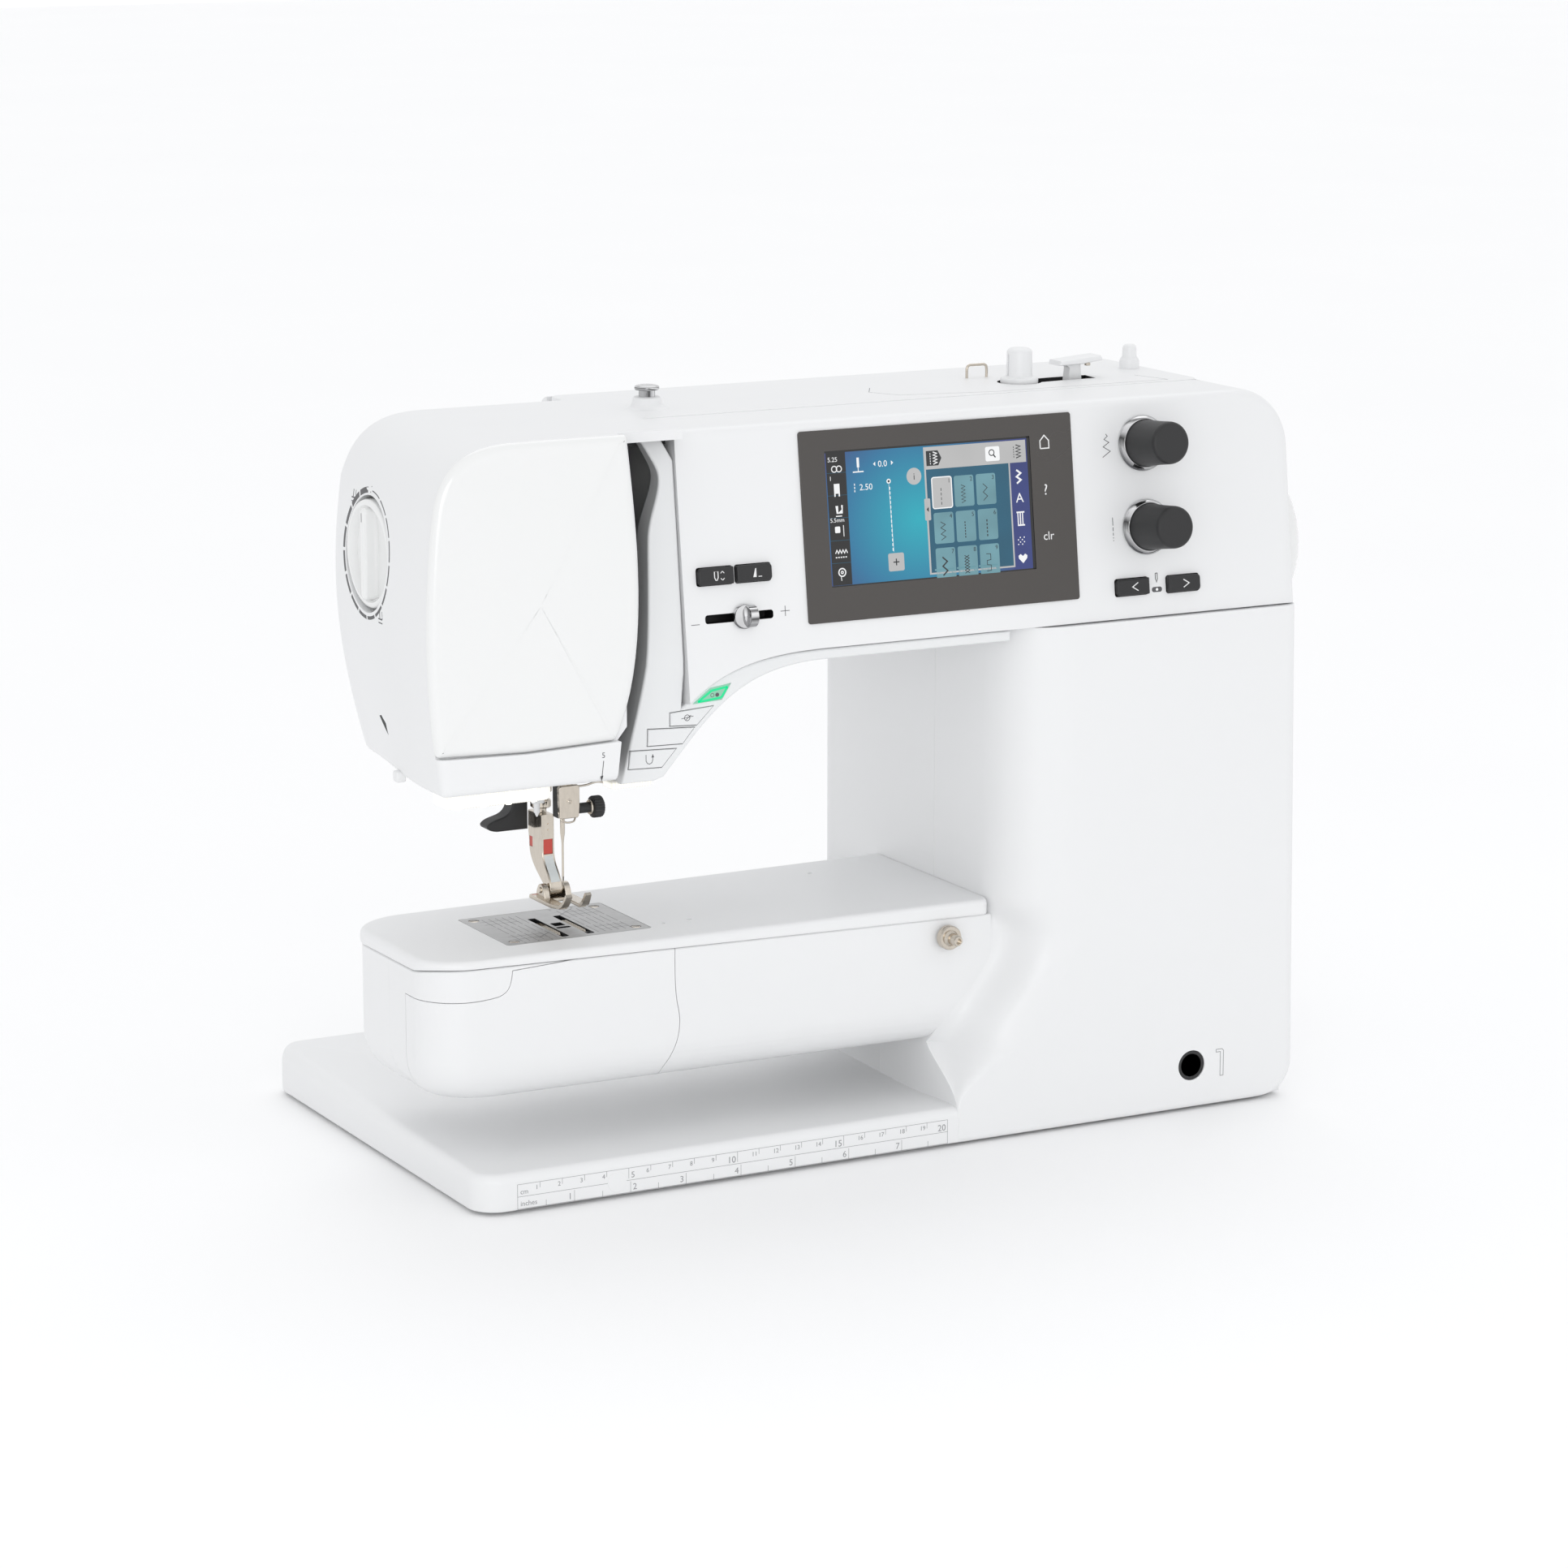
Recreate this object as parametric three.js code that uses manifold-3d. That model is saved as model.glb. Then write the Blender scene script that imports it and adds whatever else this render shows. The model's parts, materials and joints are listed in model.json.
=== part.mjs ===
// A computerised free-arm sewing machine, in millimetres, +Z up, seen from the front along +Y.
// The origin is on the table top, under the stitch plate. X runs along the arm towards the handwheel.
import * as THREE from "three";
import { mergeVertices } from "three/addons/utils/BufferGeometryUtils.js";
import Module from "manifold-3d";

const wasm = await Module();
wasm.setup();

// ---- Driving dimensions -------------------------------------------------------------------

const gap = 0.3; // between pieces that touch
const wall = 3; // of the moulded casings
const runningGap = 0.4; // round a shaft in its bearing

// Base plate
const baseLeft = -70;
const baseRight = 323.5;
const baseFront = -66;
const baseBack = 152.5;
const baseThickness = 15.5;
const baseRise = 5; // extra height at the back edge
const footHeight = 1.5; // of each rubber foot below the base
const footRadius = 9;
const footInset = 30; // from the base's edges
const baseUnder = footHeight;
const footSeat = 2.5; // depth of each foot's pocket
const baseTop = baseUnder + baseThickness;
const trayTop = 9; // of the part of the base under the casings
const trayBridgeFront = -30; // front edge of the tab that joins it to the open base

// Column
const columnLeft = 178;
const columnRight = 323.5;
const columnRightTop = 320;
const columnFront = -66;
const columnBack = 107;
const columnSeamY = 1; // where the front and rear casings meet
const columnCornerRadius = 28;
const columnFootX = 152; // the casing spreads to here at the base
const columnFootTop = 30; // and narrows from here up to the free arm's bed
const columnFlareTop = 91;
const columnFootRadius = 15;
const casingSeamZ = 219.6; // level of the seam between column and arm
const kneeX = 269;
const kneeZ = 20.5;
const kneeRadius = 4.5; // of the free-hand lever's socket

// Arm
const armTop = 312;
const armUnder = 215;
const armBack = 74;
const armFront = -64;
const armEndRadius = 25;
const panelLean = THREE.MathUtils.degToRad(7.3);
const lidHeight = 5;
const lidFront = -15;
const lidBack = 66;
const lidRight = 300;
const slotSeamX = 24; // left edge of the front panel, beside the thread slot's border
const trimFront = armFront + 1.5; // the border and strip lie behind the panel's face

// Head
const headLeft = -87;
const headFront = -70;
const headBack = 55;
const headTop = armTop + 2;
const headUnder = 174;
const headRight = 25.4;
const slotLeft = -3;
const slotBack = -46;
const faceThickness = 3.7;
const faceBottom = 191.6;
const faceRight = 0.6;
const dialY = -5;
const dialZ = 264;
const dialRadius = 22;

// Free arm
const bedTop = 101;
const bedThickness = 7.5;
const bedLeft = -79.5;
const bedFront = -47;
const bedBack = 50;
const bedCorners = [20, 1, 1, 22]; // radii, from the front left round to the back left
const housingBottom = 40;
const doorLeft = -68;
const doorRight = 30;
const doorBottom = 46.5;
const doorTop = 92.4;

// Stitch plate, feed and hook
const plateLeft = -37;
const plateRight = 28.5;
const plateDepth = 50;
const plateThickness = 1.5;
const feedSlotX = 5.8; // each side of the needle
const feedSlotWidth = 3.4;
const feedSlotLength = 34;
const feedMiddleY = -4.5;
const needleHoleWidth = 6.4;
const hookRadius = 17;
const hookY = -20;
const hookZ = 72;

// Shafts
const shaftY = -9;
const shaftZ = 240;
const shaftRadius = 5;
const lowerShaftZ = 62;
const lowerShaftY = 32;
const lowerBearingX = 60;
const frameFront = 26; // the cast frame's web, and how thick it is
const frameThickness = 8;
const bearingXs = [40, 165, 290];
const handwheelRadius = 35;
const handwheelWidth = 19;
const motorRadius = 27;
const motorLength = 62;
const motorY = 64;
const motorZ = 90;
const beltX = 307.5;
const beltWidth = 7;
const beltThickness = 1.4;
const largePulleyRadius = 17;
const smallPulleyRadius = 8;

// Needle and presser
const needleX = -3.5;
const needleY = -7;
const needleTipZ = 117.5;
const needleBarX = needleX + 1.5;
const needleBarRadius = 3.2;
const clampBottom = 148;
const clampHeight = 12.5;
const presserY = 14;
const presserRadius = 3;
const shankWidth = 5.8;
const shankDepth = 13.6;
const shankTop = 146;
const footLift = 10; // of the raised sole above the stitch plate
const soleWidth = 16.6;
const toeGap = 5.4;
const pinY = 2; // of the sole's hinge
const pinRise = 4.6; // above the sole's underside

// Controls on the leaning panel: X, and height up the panel from the casing seam
const screenLeft = 81.8;
const screenWidth = 129;
const screenBottom = 10.6;
const screenHeight = 78.4;
const lcdMargin = { left: 11.5, bottom: 14.2 };
const lcdWidth = 97;
const lcdHeight = 55.5;
const knobRadius = 9;
const knobLength = 24;
const knobRingRadius = 11.75;
const knobX = 245.5;
const knobHeights = { upper: 73.7, lower: 38.4 };
const keyWidth = 16;
const keyHeight = 7;
const keyProud = 2.2;
const spindleX = 225;
const spindleY = 12;
const spindleRadius = 5.6; // of the bobbin winder's spindle
const leverX = 252;
const leverY = 13;
const keys = {
  needle_stop: [40.3, 33.7],
  presser: [57.7, 33.7],
  arrow_left: [236.8, 13.6],
  arrow_right: [262.2, 13.2],
};
const sliderX = 53;
const sliderUp = 16.4;
const sliderSlot = { left: 35, right: 66, height: 3.6 };
const stripKeyProud = 1;
const stripKeys = {
  start_stop: [[29.4, 202.2], [36.8, 207.6], [45.8, 208.8], [42, 203]],
  secure: [[18.6, 199.2], [38, 200.4], [30.6, 193.4], [18.6, 194]],
  free: [[8.6, 193.4], [29.4, 192.4], [24.1, 186.3], [8.4, 186.7]],
  reverse: [[0.6, 185.2], [21.1, 184.4], [14.7, 177.5], [-0.2, 178]],
};

// Colours
const white = { color: 0xf1f2f2, roughness: 0.42, metalness: 0 };
const glossWhite = { color: 0xf6f7f6, roughness: 0.18, metalness: 0 };
const paleGrey = { color: 0xe2e4e5, roughness: 0.4, metalness: 0 };
const black = { color: 0x1b1c1e, roughness: 0.5, metalness: 0 };
const bezelGrey = { color: 0x4a4745, roughness: 0.35, metalness: 0 };
const steel = { color: 0xc9c6c0, roughness: 0.28, metalness: 1 };
const nickel = { color: 0xd2c9b8, roughness: 0.22, metalness: 1 };
const cast = { color: 0x9a9c9e, roughness: 0.6, metalness: 0.8 };
const rubber = { color: 0x2a2a2a, roughness: 0.9, metalness: 0 };
const glass = { color: 0x14708e, roughness: 0.1, metalness: 0 };
const clear = { color: 0xf4f1e4, roughness: 0.15, metalness: 0 };

// ---- Solids: each function gives a closed BufferGeometry that holds positions only ---------------

function bare(geometry) {
  geometry.deleteAttribute("normal");
  geometry.deleteAttribute("uv");
  return mergeVertices(geometry, 1e-4);
}

function toManifold(geometry) {
  const flat = bare(geometry.clone());
  return new wasm.Manifold(
    new wasm.Mesh({
      numProp: 3,
      vertProperties: new Float32Array(flat.attributes.position.array),
      triVerts: new Uint32Array(flat.index.array),
    }),
  );
}

function fromManifold(manifold) {
  const made = manifold.getMesh();
  const geometry = new THREE.BufferGeometry();
  geometry.setAttribute("position", new THREE.BufferAttribute(new Float32Array(made.vertProperties), 3));
  geometry.setIndex(new THREE.BufferAttribute(new Uint32Array(made.triVerts), 1));
  return geometry;
}

function join(first, ...others) {
  return fromManifold(others.reduce((sum, other) => sum.add(toManifold(other)), toManifold(first)));
}

function cut(first, ...tools) {
  return fromManifold(tools.reduce((left, tool) => left.subtract(toManifold(tool)), toManifold(first)));
}

function common(first, second) {
  return fromManifold(toManifold(first).intersect(toManifold(second)));
}

function block(x0, x1, y0, y1, z0, z1) {
  const box = new THREE.BoxGeometry(x1 - x0, y1 - y0, z1 - z0);
  return bare(box.translate((x0 + x1) / 2, (y0 + y1) / 2, (z0 + z1) / 2));
}

// Turns a shape built along Z to lie along the named axis.
function along(axis, geometry) {
  if (axis === "x") geometry.rotateY(Math.PI / 2);
  if (axis === "y") geometry.rotateX(-Math.PI / 2);
  return geometry;
}

// A straight round rod between two values on its axis, centred at (a, b) on the other two.
function rod(axis, a, b, from, to, radius, sides = 20) {
  const upright = new THREE.CylinderGeometry(radius, radius, to - from, sides).rotateX(Math.PI / 2);
  const middle = (from + to) / 2;
  const place = { x: [middle, a, b], y: [a, middle, b], z: [a, b, middle] }[axis];
  return bare(along(axis, upright).translate(...place));
}

// A turned piece: profile points are [radius, height], starting and ending on the axis.
function turned(axis, profile, sides = 28) {
  const points = profile.map(([radius, height]) => new THREE.Vector2(radius, height));
  const lathe = new THREE.LatheGeometry(points, sides).rotateX(Math.PI / 2);
  return bare(along(axis, lathe));
}

// Corner points of a rounded rectangle, anticlockwise from (a0, b0); radii follow the same order.
// No corner is rounder than half the rectangle's shorter side.
function roundRect(a0, a1, b0, b1, radii, steps = 4) {
  const most = Math.min(a1 - a0, b1 - b0) / 2 - 0.01;
  const given = Array.isArray(radii) ? radii : [radii, radii, radii, radii];
  const r = given.map((radius) => Math.min(radius, most));
  const corners = [
    [a0 + r[0], b0 + r[0], r[0], 180],
    [a1 - r[1], b0 + r[1], r[1], 270],
    [a1 - r[2], b1 - r[2], r[2], 0],
    [a0 + r[3], b1 - r[3], r[3], 90],
  ];
  return corners.flatMap(([a, b, radius, start]) =>
    Array.from({ length: steps + 1 }, (_, i) => {
      const angle = THREE.MathUtils.degToRad(start + (90 * i) / steps);
      return new THREE.Vector2(a + radius * Math.cos(angle), b + radius * Math.sin(angle));
    }),
  );
}

// Joins outlines of equal point count, each [level, points], into one closed skin.
// With axis "z" the points are (x, y); with "y" they are (x, z); with "x" they are (y, z).
function loft(axis, sections) {
  const place = {
    z: (p, level) => [p.x, p.y, level],
    y: (p, level) => [p.x, level, p.y],
    x: (p, level) => [level, p.x, p.y],
  }[axis];
  const count = sections[0][1].length;
  const vertices = sections.flatMap(([level, points]) => points.flatMap((p) => place(p, level)));
  const faces = [];
  for (let s = 0; s + 1 < sections.length; s++)
    for (let i = 0; i < count; i++) {
      const j = (i + 1) % count;
      const [a, b] = [s * count + i, s * count + j];
      faces.push([a, b, b + count], [a, b + count, a + count]);
    }
  const lastRing = (sections.length - 1) * count;
  for (const [a, b, c] of THREE.ShapeUtils.triangulateShape(sections[0][1], [])) faces.push([c, b, a]);
  for (const [a, b, c] of THREE.ShapeUtils.triangulateShape(sections.at(-1)[1], []))
    faces.push([a + lastRing, b + lastRing, c + lastRing]);
  const flip = axis === "y";
  const geometry = new THREE.BufferGeometry();
  geometry.setAttribute("position", new THREE.BufferAttribute(new Float32Array(vertices), 3));
  geometry.setIndex(faces.flatMap(([a, b, c]) => (flip ? [a, c, b] : [a, b, c])));
  return mergeVertices(geometry, 1e-4);
}

// A flat outline pulled along one axis.
function plate(axis, points, from, to) {
  const outline = points.map((p) => (p.isVector2 ? p : new THREE.Vector2(...p)));
  if (THREE.ShapeUtils.isClockWise(outline)) outline.reverse();
  return loft(axis, [[from, outline], [to, outline]]);
}

// Points along a cubic curve from a to d, with the first point left out.
function curve(a, b, c, d, steps = 6) {
  const path = new THREE.CubicBezierCurve(...[a, b, c, d].map((p) => new THREE.Vector2(...p)));
  return path.getPoints(steps).slice(1);
}

// A round wire along a smooth path through the points.
function wire(points, radius, steps, sides = 8) {
  const path = new THREE.CatmullRomCurve3(points.map((p) => new THREE.Vector3(...p)));
  const round = new THREE.Shape().absarc(0, 0, radius, 0, 2 * Math.PI);
  return bare(new THREE.ExtrudeGeometry(round, { extrudePath: path, steps, curveSegments: sides / 2 }));
}

// Moves every point of a geometry by a rule.
function reshape(geometry, rule) {
  const place = geometry.attributes.position;
  const point = new THREE.Vector3();
  for (let i = 0; i < place.count; i++) {
    rule(point.fromBufferAttribute(place, i));
    place.setXYZ(i, point.x, point.y, point.z);
  }
  return geometry;
}

// ---- The scene graph ---------------------------------------------------------------------------

const machine = new THREE.Group();
const panel = new THREE.Group(); // the leaning front panel: X along it, Z up it, -Y out of it
panel.position.set(0, armFront, casingSeamZ);
panel.rotation.x = -panelLean;
machine.add(panel);

function add(name, geometry, finish, parent = machine) {
  const mesh = new THREE.Mesh(geometry, new THREE.MeshStandardMaterial(finish));
  mesh.name = name;
  parent.add(mesh);
  return mesh;
}

// A shape given in the panel's frame, moved to where it is on the machine.
function onPanel(geometry) {
  panel.updateMatrix();
  return geometry.clone().applyMatrix4(panel.matrix);
}

// ---- Base ----------------------------------------------------------------------------------------

const footPlaces = {
  front_left: [baseLeft + footInset, baseFront + footInset],
  front_right: [baseRight - footInset, baseFront + footInset],
  back_left: [baseLeft + footInset, baseBack - footInset],
  back_right: [baseRight - footInset, baseBack - footInset],
  middle: [0, 0],
};
function baseSlab() {
  const right = columnFootX - gap;
  const outline = (inset, radius) =>
    roundRect(baseLeft + inset, right, baseFront + inset, baseBack - inset, [radius, 0.5, 0.5, radius]);
  const slab = loft("z", [
    [baseUnder, outline(1.5, 10)],
    [baseUnder + 2, outline(0, 12)],
    [baseTop - 4, outline(0.3, 12)],
    [baseTop - 1, outline(1.5, 11)],
    [baseTop, outline(4.5, 9)],
  ]);
  return reshape(slab, (p) => {
    if (p.z > baseTop - 5) p.z += (baseRise * (p.y - baseFront)) / (baseBack - baseFront);
  });
}

function baseLedge() {
  const outline = (inset) =>
    roundRect(columnFootX - 2, baseRight - inset, columnBack + gap, baseBack - inset, [0.5, 0.5, 12, 0.5]);
  return loft("z", [
    [baseUnder, outline(1)],
    [baseUnder + 2, outline(0)],
    [baseTop + baseRise - 4, outline(0)],
    [baseTop + baseRise - 0.8, outline(3)],
  ]);
}

function basePlate() {
  const inset = wall + gap;
  const corner = [columnCornerRadius - wall, 3, 0.4, 0.4];
  const tray = columnSkin(inset, columnFront + inset, columnSeamY + 4, corner, [baseUnder, 4, trayTop]);
  const bridgeEnds = [columnFootX - 2, columnFootX + 14];
  const bridge = block(...bridgeEnds, trayBridgeFront, columnSeamY + 4, baseUnder, trayTop);
  const rim = block(columnFootX - 2, baseRight, columnSeamY + 3, columnBack + 2, baseUnder, trayTop);
  const pockets = Object.values(footPlaces).map(([x, y]) =>
    rod("z", x, y, 0, baseUnder + footSeat, footRadius + gap),
  );
  return cut(join(baseSlab(), baseLedge(), tray, bridge, rim), ...pockets);
}

function addBase() {
  add("base_plate", basePlate(), white);
  for (const [name, [x, y]] of Object.entries(footPlaces)) {
    const height = baseUnder + footSeat - gap;
    const foot = add("foot_" + name, rod("z", 0, 0, 0, height, footRadius), rubber);
    foot.position.set(x, y, 0);
  }
}

// ---- Column ----------------------------------------------------------------------------------

const ease = (t) => THREE.MathUtils.smootherstep(t, 0, 1);

// Left and right faces of the column at a height.
function columnLeftAt(z) {
  const up = (z - columnFootTop) / (columnFlareTop - columnFootTop);
  return THREE.MathUtils.lerp(columnFootX, columnLeft, ease(up));
}

function columnRightAt(z) {
  const low = Math.max(0, columnFootRadius - (z - baseUnder));
  const rounding = columnFootRadius - Math.sqrt(columnFootRadius ** 2 - Math.min(low, columnFootRadius) ** 2);
  return THREE.MathUtils.lerp(columnRight, columnRightTop, z / casingSeamZ) - rounding;
}

const footLevels = [baseUnder, 4, 9, 16.5];
const flareSteps = 5;
const flareLevels = Array.from({ length: flareSteps + 1 }, (_, i) =>
  THREE.MathUtils.lerp(columnFootTop, columnFlareTop, i / flareSteps),
);

// The column's outer skin, drawn in by an inset and between two depths.
function columnSkin(inset, front, back, radii, levels) {
  const section = (z) => [
    z,
    roundRect(columnLeftAt(z) + inset, columnRightAt(z) - inset, front, back, radii),
  ];
  return loft("z", levels.map(section));
}

function columnFrontCover() {
  const levels = [...footLevels, ...flareLevels, casingSeamZ - gap];
  const outer = columnSkin(0, columnFront, columnSeamY, [columnCornerRadius, 6, 0.4, 0.4], levels);
  const innerLevels = [0, ...footLevels, ...flareLevels, casingSeamZ + 1];
  const innerRadii = [columnCornerRadius - wall, 3, 0.4, 0.4];
  const inner = columnSkin(wall, columnFront + wall, columnSeamY + 1, innerRadii, innerLevels);
  const notchFront = trayBridgeFront - gap;
  const trayNotch = block(columnFootX - 5, columnFootX + 12, notchFront, columnSeamY + 1, 0, trayTop + gap);
  const kneeHole = rod("y", kneeX, kneeZ, columnFront - 2, columnFront + wall + 2, kneeRadius + 2 + gap);
  return cut(outer, inner, trayNotch, kneeHole);
}

function columnRearCover() {
  const levels = [trayTop + gap, ...flareLevels, casingSeamZ - gap];
  const outer = columnSkin(0, columnSeamY + gap, columnBack, [0.4, 0.4, 12, 12], levels);
  const innerLevels = [trayTop - 1, ...flareLevels, casingSeamZ + 1];
  const inner = columnSkin(wall, columnSeamY - 1, columnBack - wall, [0.4, 0.4, 9, 9], innerLevels);
  const windowRight = columnLeft + wall + 2;
  const [low, high] = [housingBottom + 4, bedTop - 10];
  const armWindow = block(columnFootX - 5, windowRight, columnSeamY + 3, bedBack - 8, low, high);
  return cut(outer, inner, armWindow);
}

// ---- Arm ---------------------------------------------------------------------------------------

// The rounded end of the arm over the handwheel, as an outline in X and Z.
function armOutline(left, bottom, inset = 0) {
  const right = columnRightTop - inset;
  const top = armTop - inset;
  const radii = [0.4, 0.4, armEndRadius - inset, 0.4];
  return withColumnPoints(roundRect(left, right, bottom, top, radii, 6), bottom, top);
}

// Adds a point over the column's left face to the bottom and top edges of an arm outline.
function withColumnPoints(points, bottom, top) {
  const side = points.length / 4;
  const [low, high] = [bottom, top].map((z) => new THREE.Vector2(columnLeft, z));
  return [...points.slice(0, side), low, ...points.slice(side, 3 * side), high, ...points.slice(3 * side)];
}

// Slopes the back of the arm out to the back of the column, from nothing beside the head.
function slopeBack(geometry) {
  return reshape(geometry, (p) => {
    const alongArm = THREE.MathUtils.clamp((p.x - headRight) / (columnLeft - headRight), 0, 1);
    const down = THREE.MathUtils.clamp((armTop - p.z) / (armTop - armUnder), 0, 1);
    const back = THREE.MathUtils.clamp((p.y - columnSeamY) / (armBack - columnSeamY), 0, 1);
    p.y += (columnBack - armBack) * alongArm * down * back;
  });
}

// Leans the front skin back above a level, and forward below it unless that is the lowest level.
function lean(geometry, lowest = casingSeamZ) {
  return reshape(geometry, (p) => {
    const share = THREE.MathUtils.clamp((lidFront - p.y) / (lidFront - armFront), 0, 1);
    p.y += share * (Math.max(lowest, p.z) - casingSeamZ) * Math.tan(panelLean);
  });
}

const lidPocket = () =>
  block(headRight - 2, lidRight + gap, lidFront - gap, lidBack + gap, headTop - lidHeight, headTop + 5);

const shaftHole = () => rod("x", shaftY, shaftZ, columnRightTop - 10, columnRightTop + 5, shaftRadius + 3);

function panelOpenings() {
  const screenRight = screenLeft + screenWidth + gap;
  const screenTop = screenBottom + screenHeight + gap;
  const screen = block(screenLeft - gap, screenRight, -2, 2.1, screenBottom - gap, screenTop);
  const knobHoles = Object.values(knobHeights).map((up) => rod("y", knobX, up, -3, 6, 3.4, 16));
  const [aside, above] = [keyWidth / 2 + gap, keyHeight / 2 + gap];
  const keyHoles = Object.values(keys).map(([x, up]) =>
    block(x - aside, x + aside, -3, 8, up - above, up + above),
  );
  const half = sliderSlot.height / 2;
  const slider = block(sliderSlot.left, sliderSlot.right, -3, 8, sliderUp - half, sliderUp + half);
  return [screen, ...knobHoles, ...keyHoles, slider].map(onPanel);
}

// Where the front panel's lower edge meets the trim, from left to right.
function seamPoints() {
  const start = [slotSeamX, 201];
  return [start, ...curve(start, [42, 216], [62, casingSeamZ], [91, casingSeamZ])];
}

function armFrontPanel() {
  const box = (from, to, outline) => lean(loft("y", [[from, outline], [to, outline]]), 0);
  const outer = box(armFront, columnSeamY, armOutline(slotSeamX + 2, 190));
  const inner = box(armFront + wall, columnSeamY + 1, armOutline(slotSeamX - 3, 180, wall));
  const seam = [[-20, 150], [-20, 201], ...seamPoints(), [400, casingSeamZ], [400, 150]];
  const below = plate("y", seam, armFront - 10, columnSeamY + 5);
  return cut(outer, inner, below, lidPocket(), shaftHole(), ...panelOpenings());
}

// The border of the thread slot and the curved strip under the arm, as one trim.
function trimOutline() {
  const slotEdge = [
    ...[[9, armTop], [17, 299], [18.5, 292], [15, 284], [12.5, 271]],
    ...[[11.2, 252], [9.2, 226], [5.6, 206], [1.5, 194], [-3.3, headUnder - 2]],
  ];
  const under = curve([16, headUnder - 0.5], [37, 197], [50, armUnder], [90, armUnder]);
  const right = columnLeft - gap;
  const below = (p) => p.clone().add(new THREE.Vector2(0, -gap));
  const seam = seamPoints().reverse().map((p) => (p.isVector2 ? below(p) : p));
  return [
    ...slotEdge,
    [12, headUnder - 2],
    [16, headUnder - 0.5],
    ...under,
    [right, armUnder],
    [right, casingSeamZ - gap],
    ...seam,
    [slotSeamX + 1.4, 240],
    [slotSeamX + 1.6, 300],
    [slotSeamX - 4, armTop - 2],
  ];
}

function armTrim() {
  const body = lean(plate("y", trimOutline(), trimFront, columnSeamY));
  const behindSlot = block(-60, headRight + gap, slotBack - gap, columnSeamY + 5, headUnder - 10, armTop + 5);
  const holes = Object.values(stripKeys).map((points) =>
    plate("y", grow(points, gap), trimFront - 2, trimFront + 6),
  );
  const hollowFront = trimFront + wall;
  const hollow = block(slotSeamX + 3, columnLeft - wall, hollowFront, columnSeamY + 1, armUnder + 1.6, 230);
  return cut(body, behindSlot, hollow, ...holes);
}

// The outline moved outwards by a distance, for outlines that are roughly round.
function grow(points, distance) {
  const middle = points.reduce((sum, p) => sum.add(new THREE.Vector2(...p)), new THREE.Vector2());
  middle.divideScalar(points.length);
  return points.map((p) => {
    const out = new THREE.Vector2(...p).sub(middle);
    return out.multiplyScalar(1 + (1.6 * distance) / Math.abs(out.y)).add(middle);
  });
}

function armRearCover() {
  const left = headRight + gap;
  const bottom = armUnder;
  const outer = loft("y", [
    [columnSeamY + gap, armOutline(left, bottom)],
    [armBack - 12, armOutline(left, bottom)],
    [armBack - 4, armOutline(left, bottom + 1, 2)],
    [armBack, armOutline(left, bottom + 3, 8)],
  ]);
  const innerOutline = armOutline(left - 2, bottom + wall, wall);
  const inner = loft("y", [[columnSeamY - 1, innerOutline], [armBack - 12, innerOutline]]);
  const columnTop = block(columnLeft - gap, 400, -100, columnBack + 1, 200, casingSeamZ);
  return cut(slopeBack(outer), slopeBack(inner), lidPocket(), columnTop, shaftHole());
}

// The lid over the spool space, with openings for the winder's spindle and lever.
function lid() {
  const outline = (inset) =>
    roundRect(headRight + gap + inset, lidRight - inset, lidFront + inset, lidBack - inset, 6);
  const bottom = headTop - lidHeight + gap;
  const top = loft("z", [
    [bottom, outline(0)],
    [headTop - 1.5, outline(0)],
    [headTop, outline(1.5)],
  ]);
  const through = [bottom - 5, headTop + 5];
  const holes = [
    rod("z", spindleX, spindleY, ...through, spindleRadius + 4, 16),
    block(leverX - 7, leverX + 7, leverY - 4, leverY + 4, ...through),
  ];
  return cut(top, ...holes);
}

// ---- Head --------------------------------------------------------------------------------------

// The head's outline in X and Z: a bowed left side and a round top corner.
function headOutline(shift, drop, inset = 0) {
  const left = headLeft + shift + inset;
  const top = headTop - drop - inset;
  const under = headUnder + inset;
  const foot = [left + 1 + Math.min(shift, 7), under];
  return [
    new THREE.Vector2(headRight, under),
    new THREE.Vector2(headRight, top),
    ...curve([headRight, top], [headRight - 30, top], [left + 70, top], [left + 36, top], 2),
    ...curve([left + 36, top], [left + 16, top], [left + 6, top - 6], [left, top - 24], 5),
    ...curve([left, top - 24], [left - 5, top - 60], [left - 5, under + 50], foot, 5),
  ];
}

function headSideCover() {
  const skin = (inset, front, back) =>
    loft("y", [
      [front, headOutline(0, 0, inset)],
      [back - 75, headOutline(1, 0, inset)],
      [back - 35, headOutline(3, 0, inset)],
      [back - 18, headOutline(6.5, 0, inset)],
      [back - 8, headOutline(12.5, 2, inset)],
      [back - 2.5, headOutline(19, 6, inset)],
      [back, headOutline(26, 11, inset)],
    ]);
  const outer = skin(0, headFront, headBack);
  const inner = skin(wall, headFront + wall, headBack - wall);
  const lowest = headUnder + wall;
  const open = block(headRight - 1, headRight + 5, slotBack + 1, headBack - wall, lowest, headTop - wall);
  const slot = block(slotLeft, headRight + 5, headFront - 10, slotBack, headUnder - 10, headTop + 10);
  const needleOpening = block(-28, 16, -16, 34, headUnder - 5, lowest + 2);
  const dialHole = rod("x", dialY, dialZ, headLeft - 20, headLeft + 40, dialRadius + 1.5, 32);
  const stripTop = faceBottom - gap;
  const stripOutline = [[-86, headUnder], [-87.5, stripTop], [-6, stripTop], [-9, headUnder]];
  const strip = plate("y", stripOutline, headFront - faceThickness, headFront + 1);
  return cut(join(outer, strip), inner, open, slot, needleOpening, dialHole);
}

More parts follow.
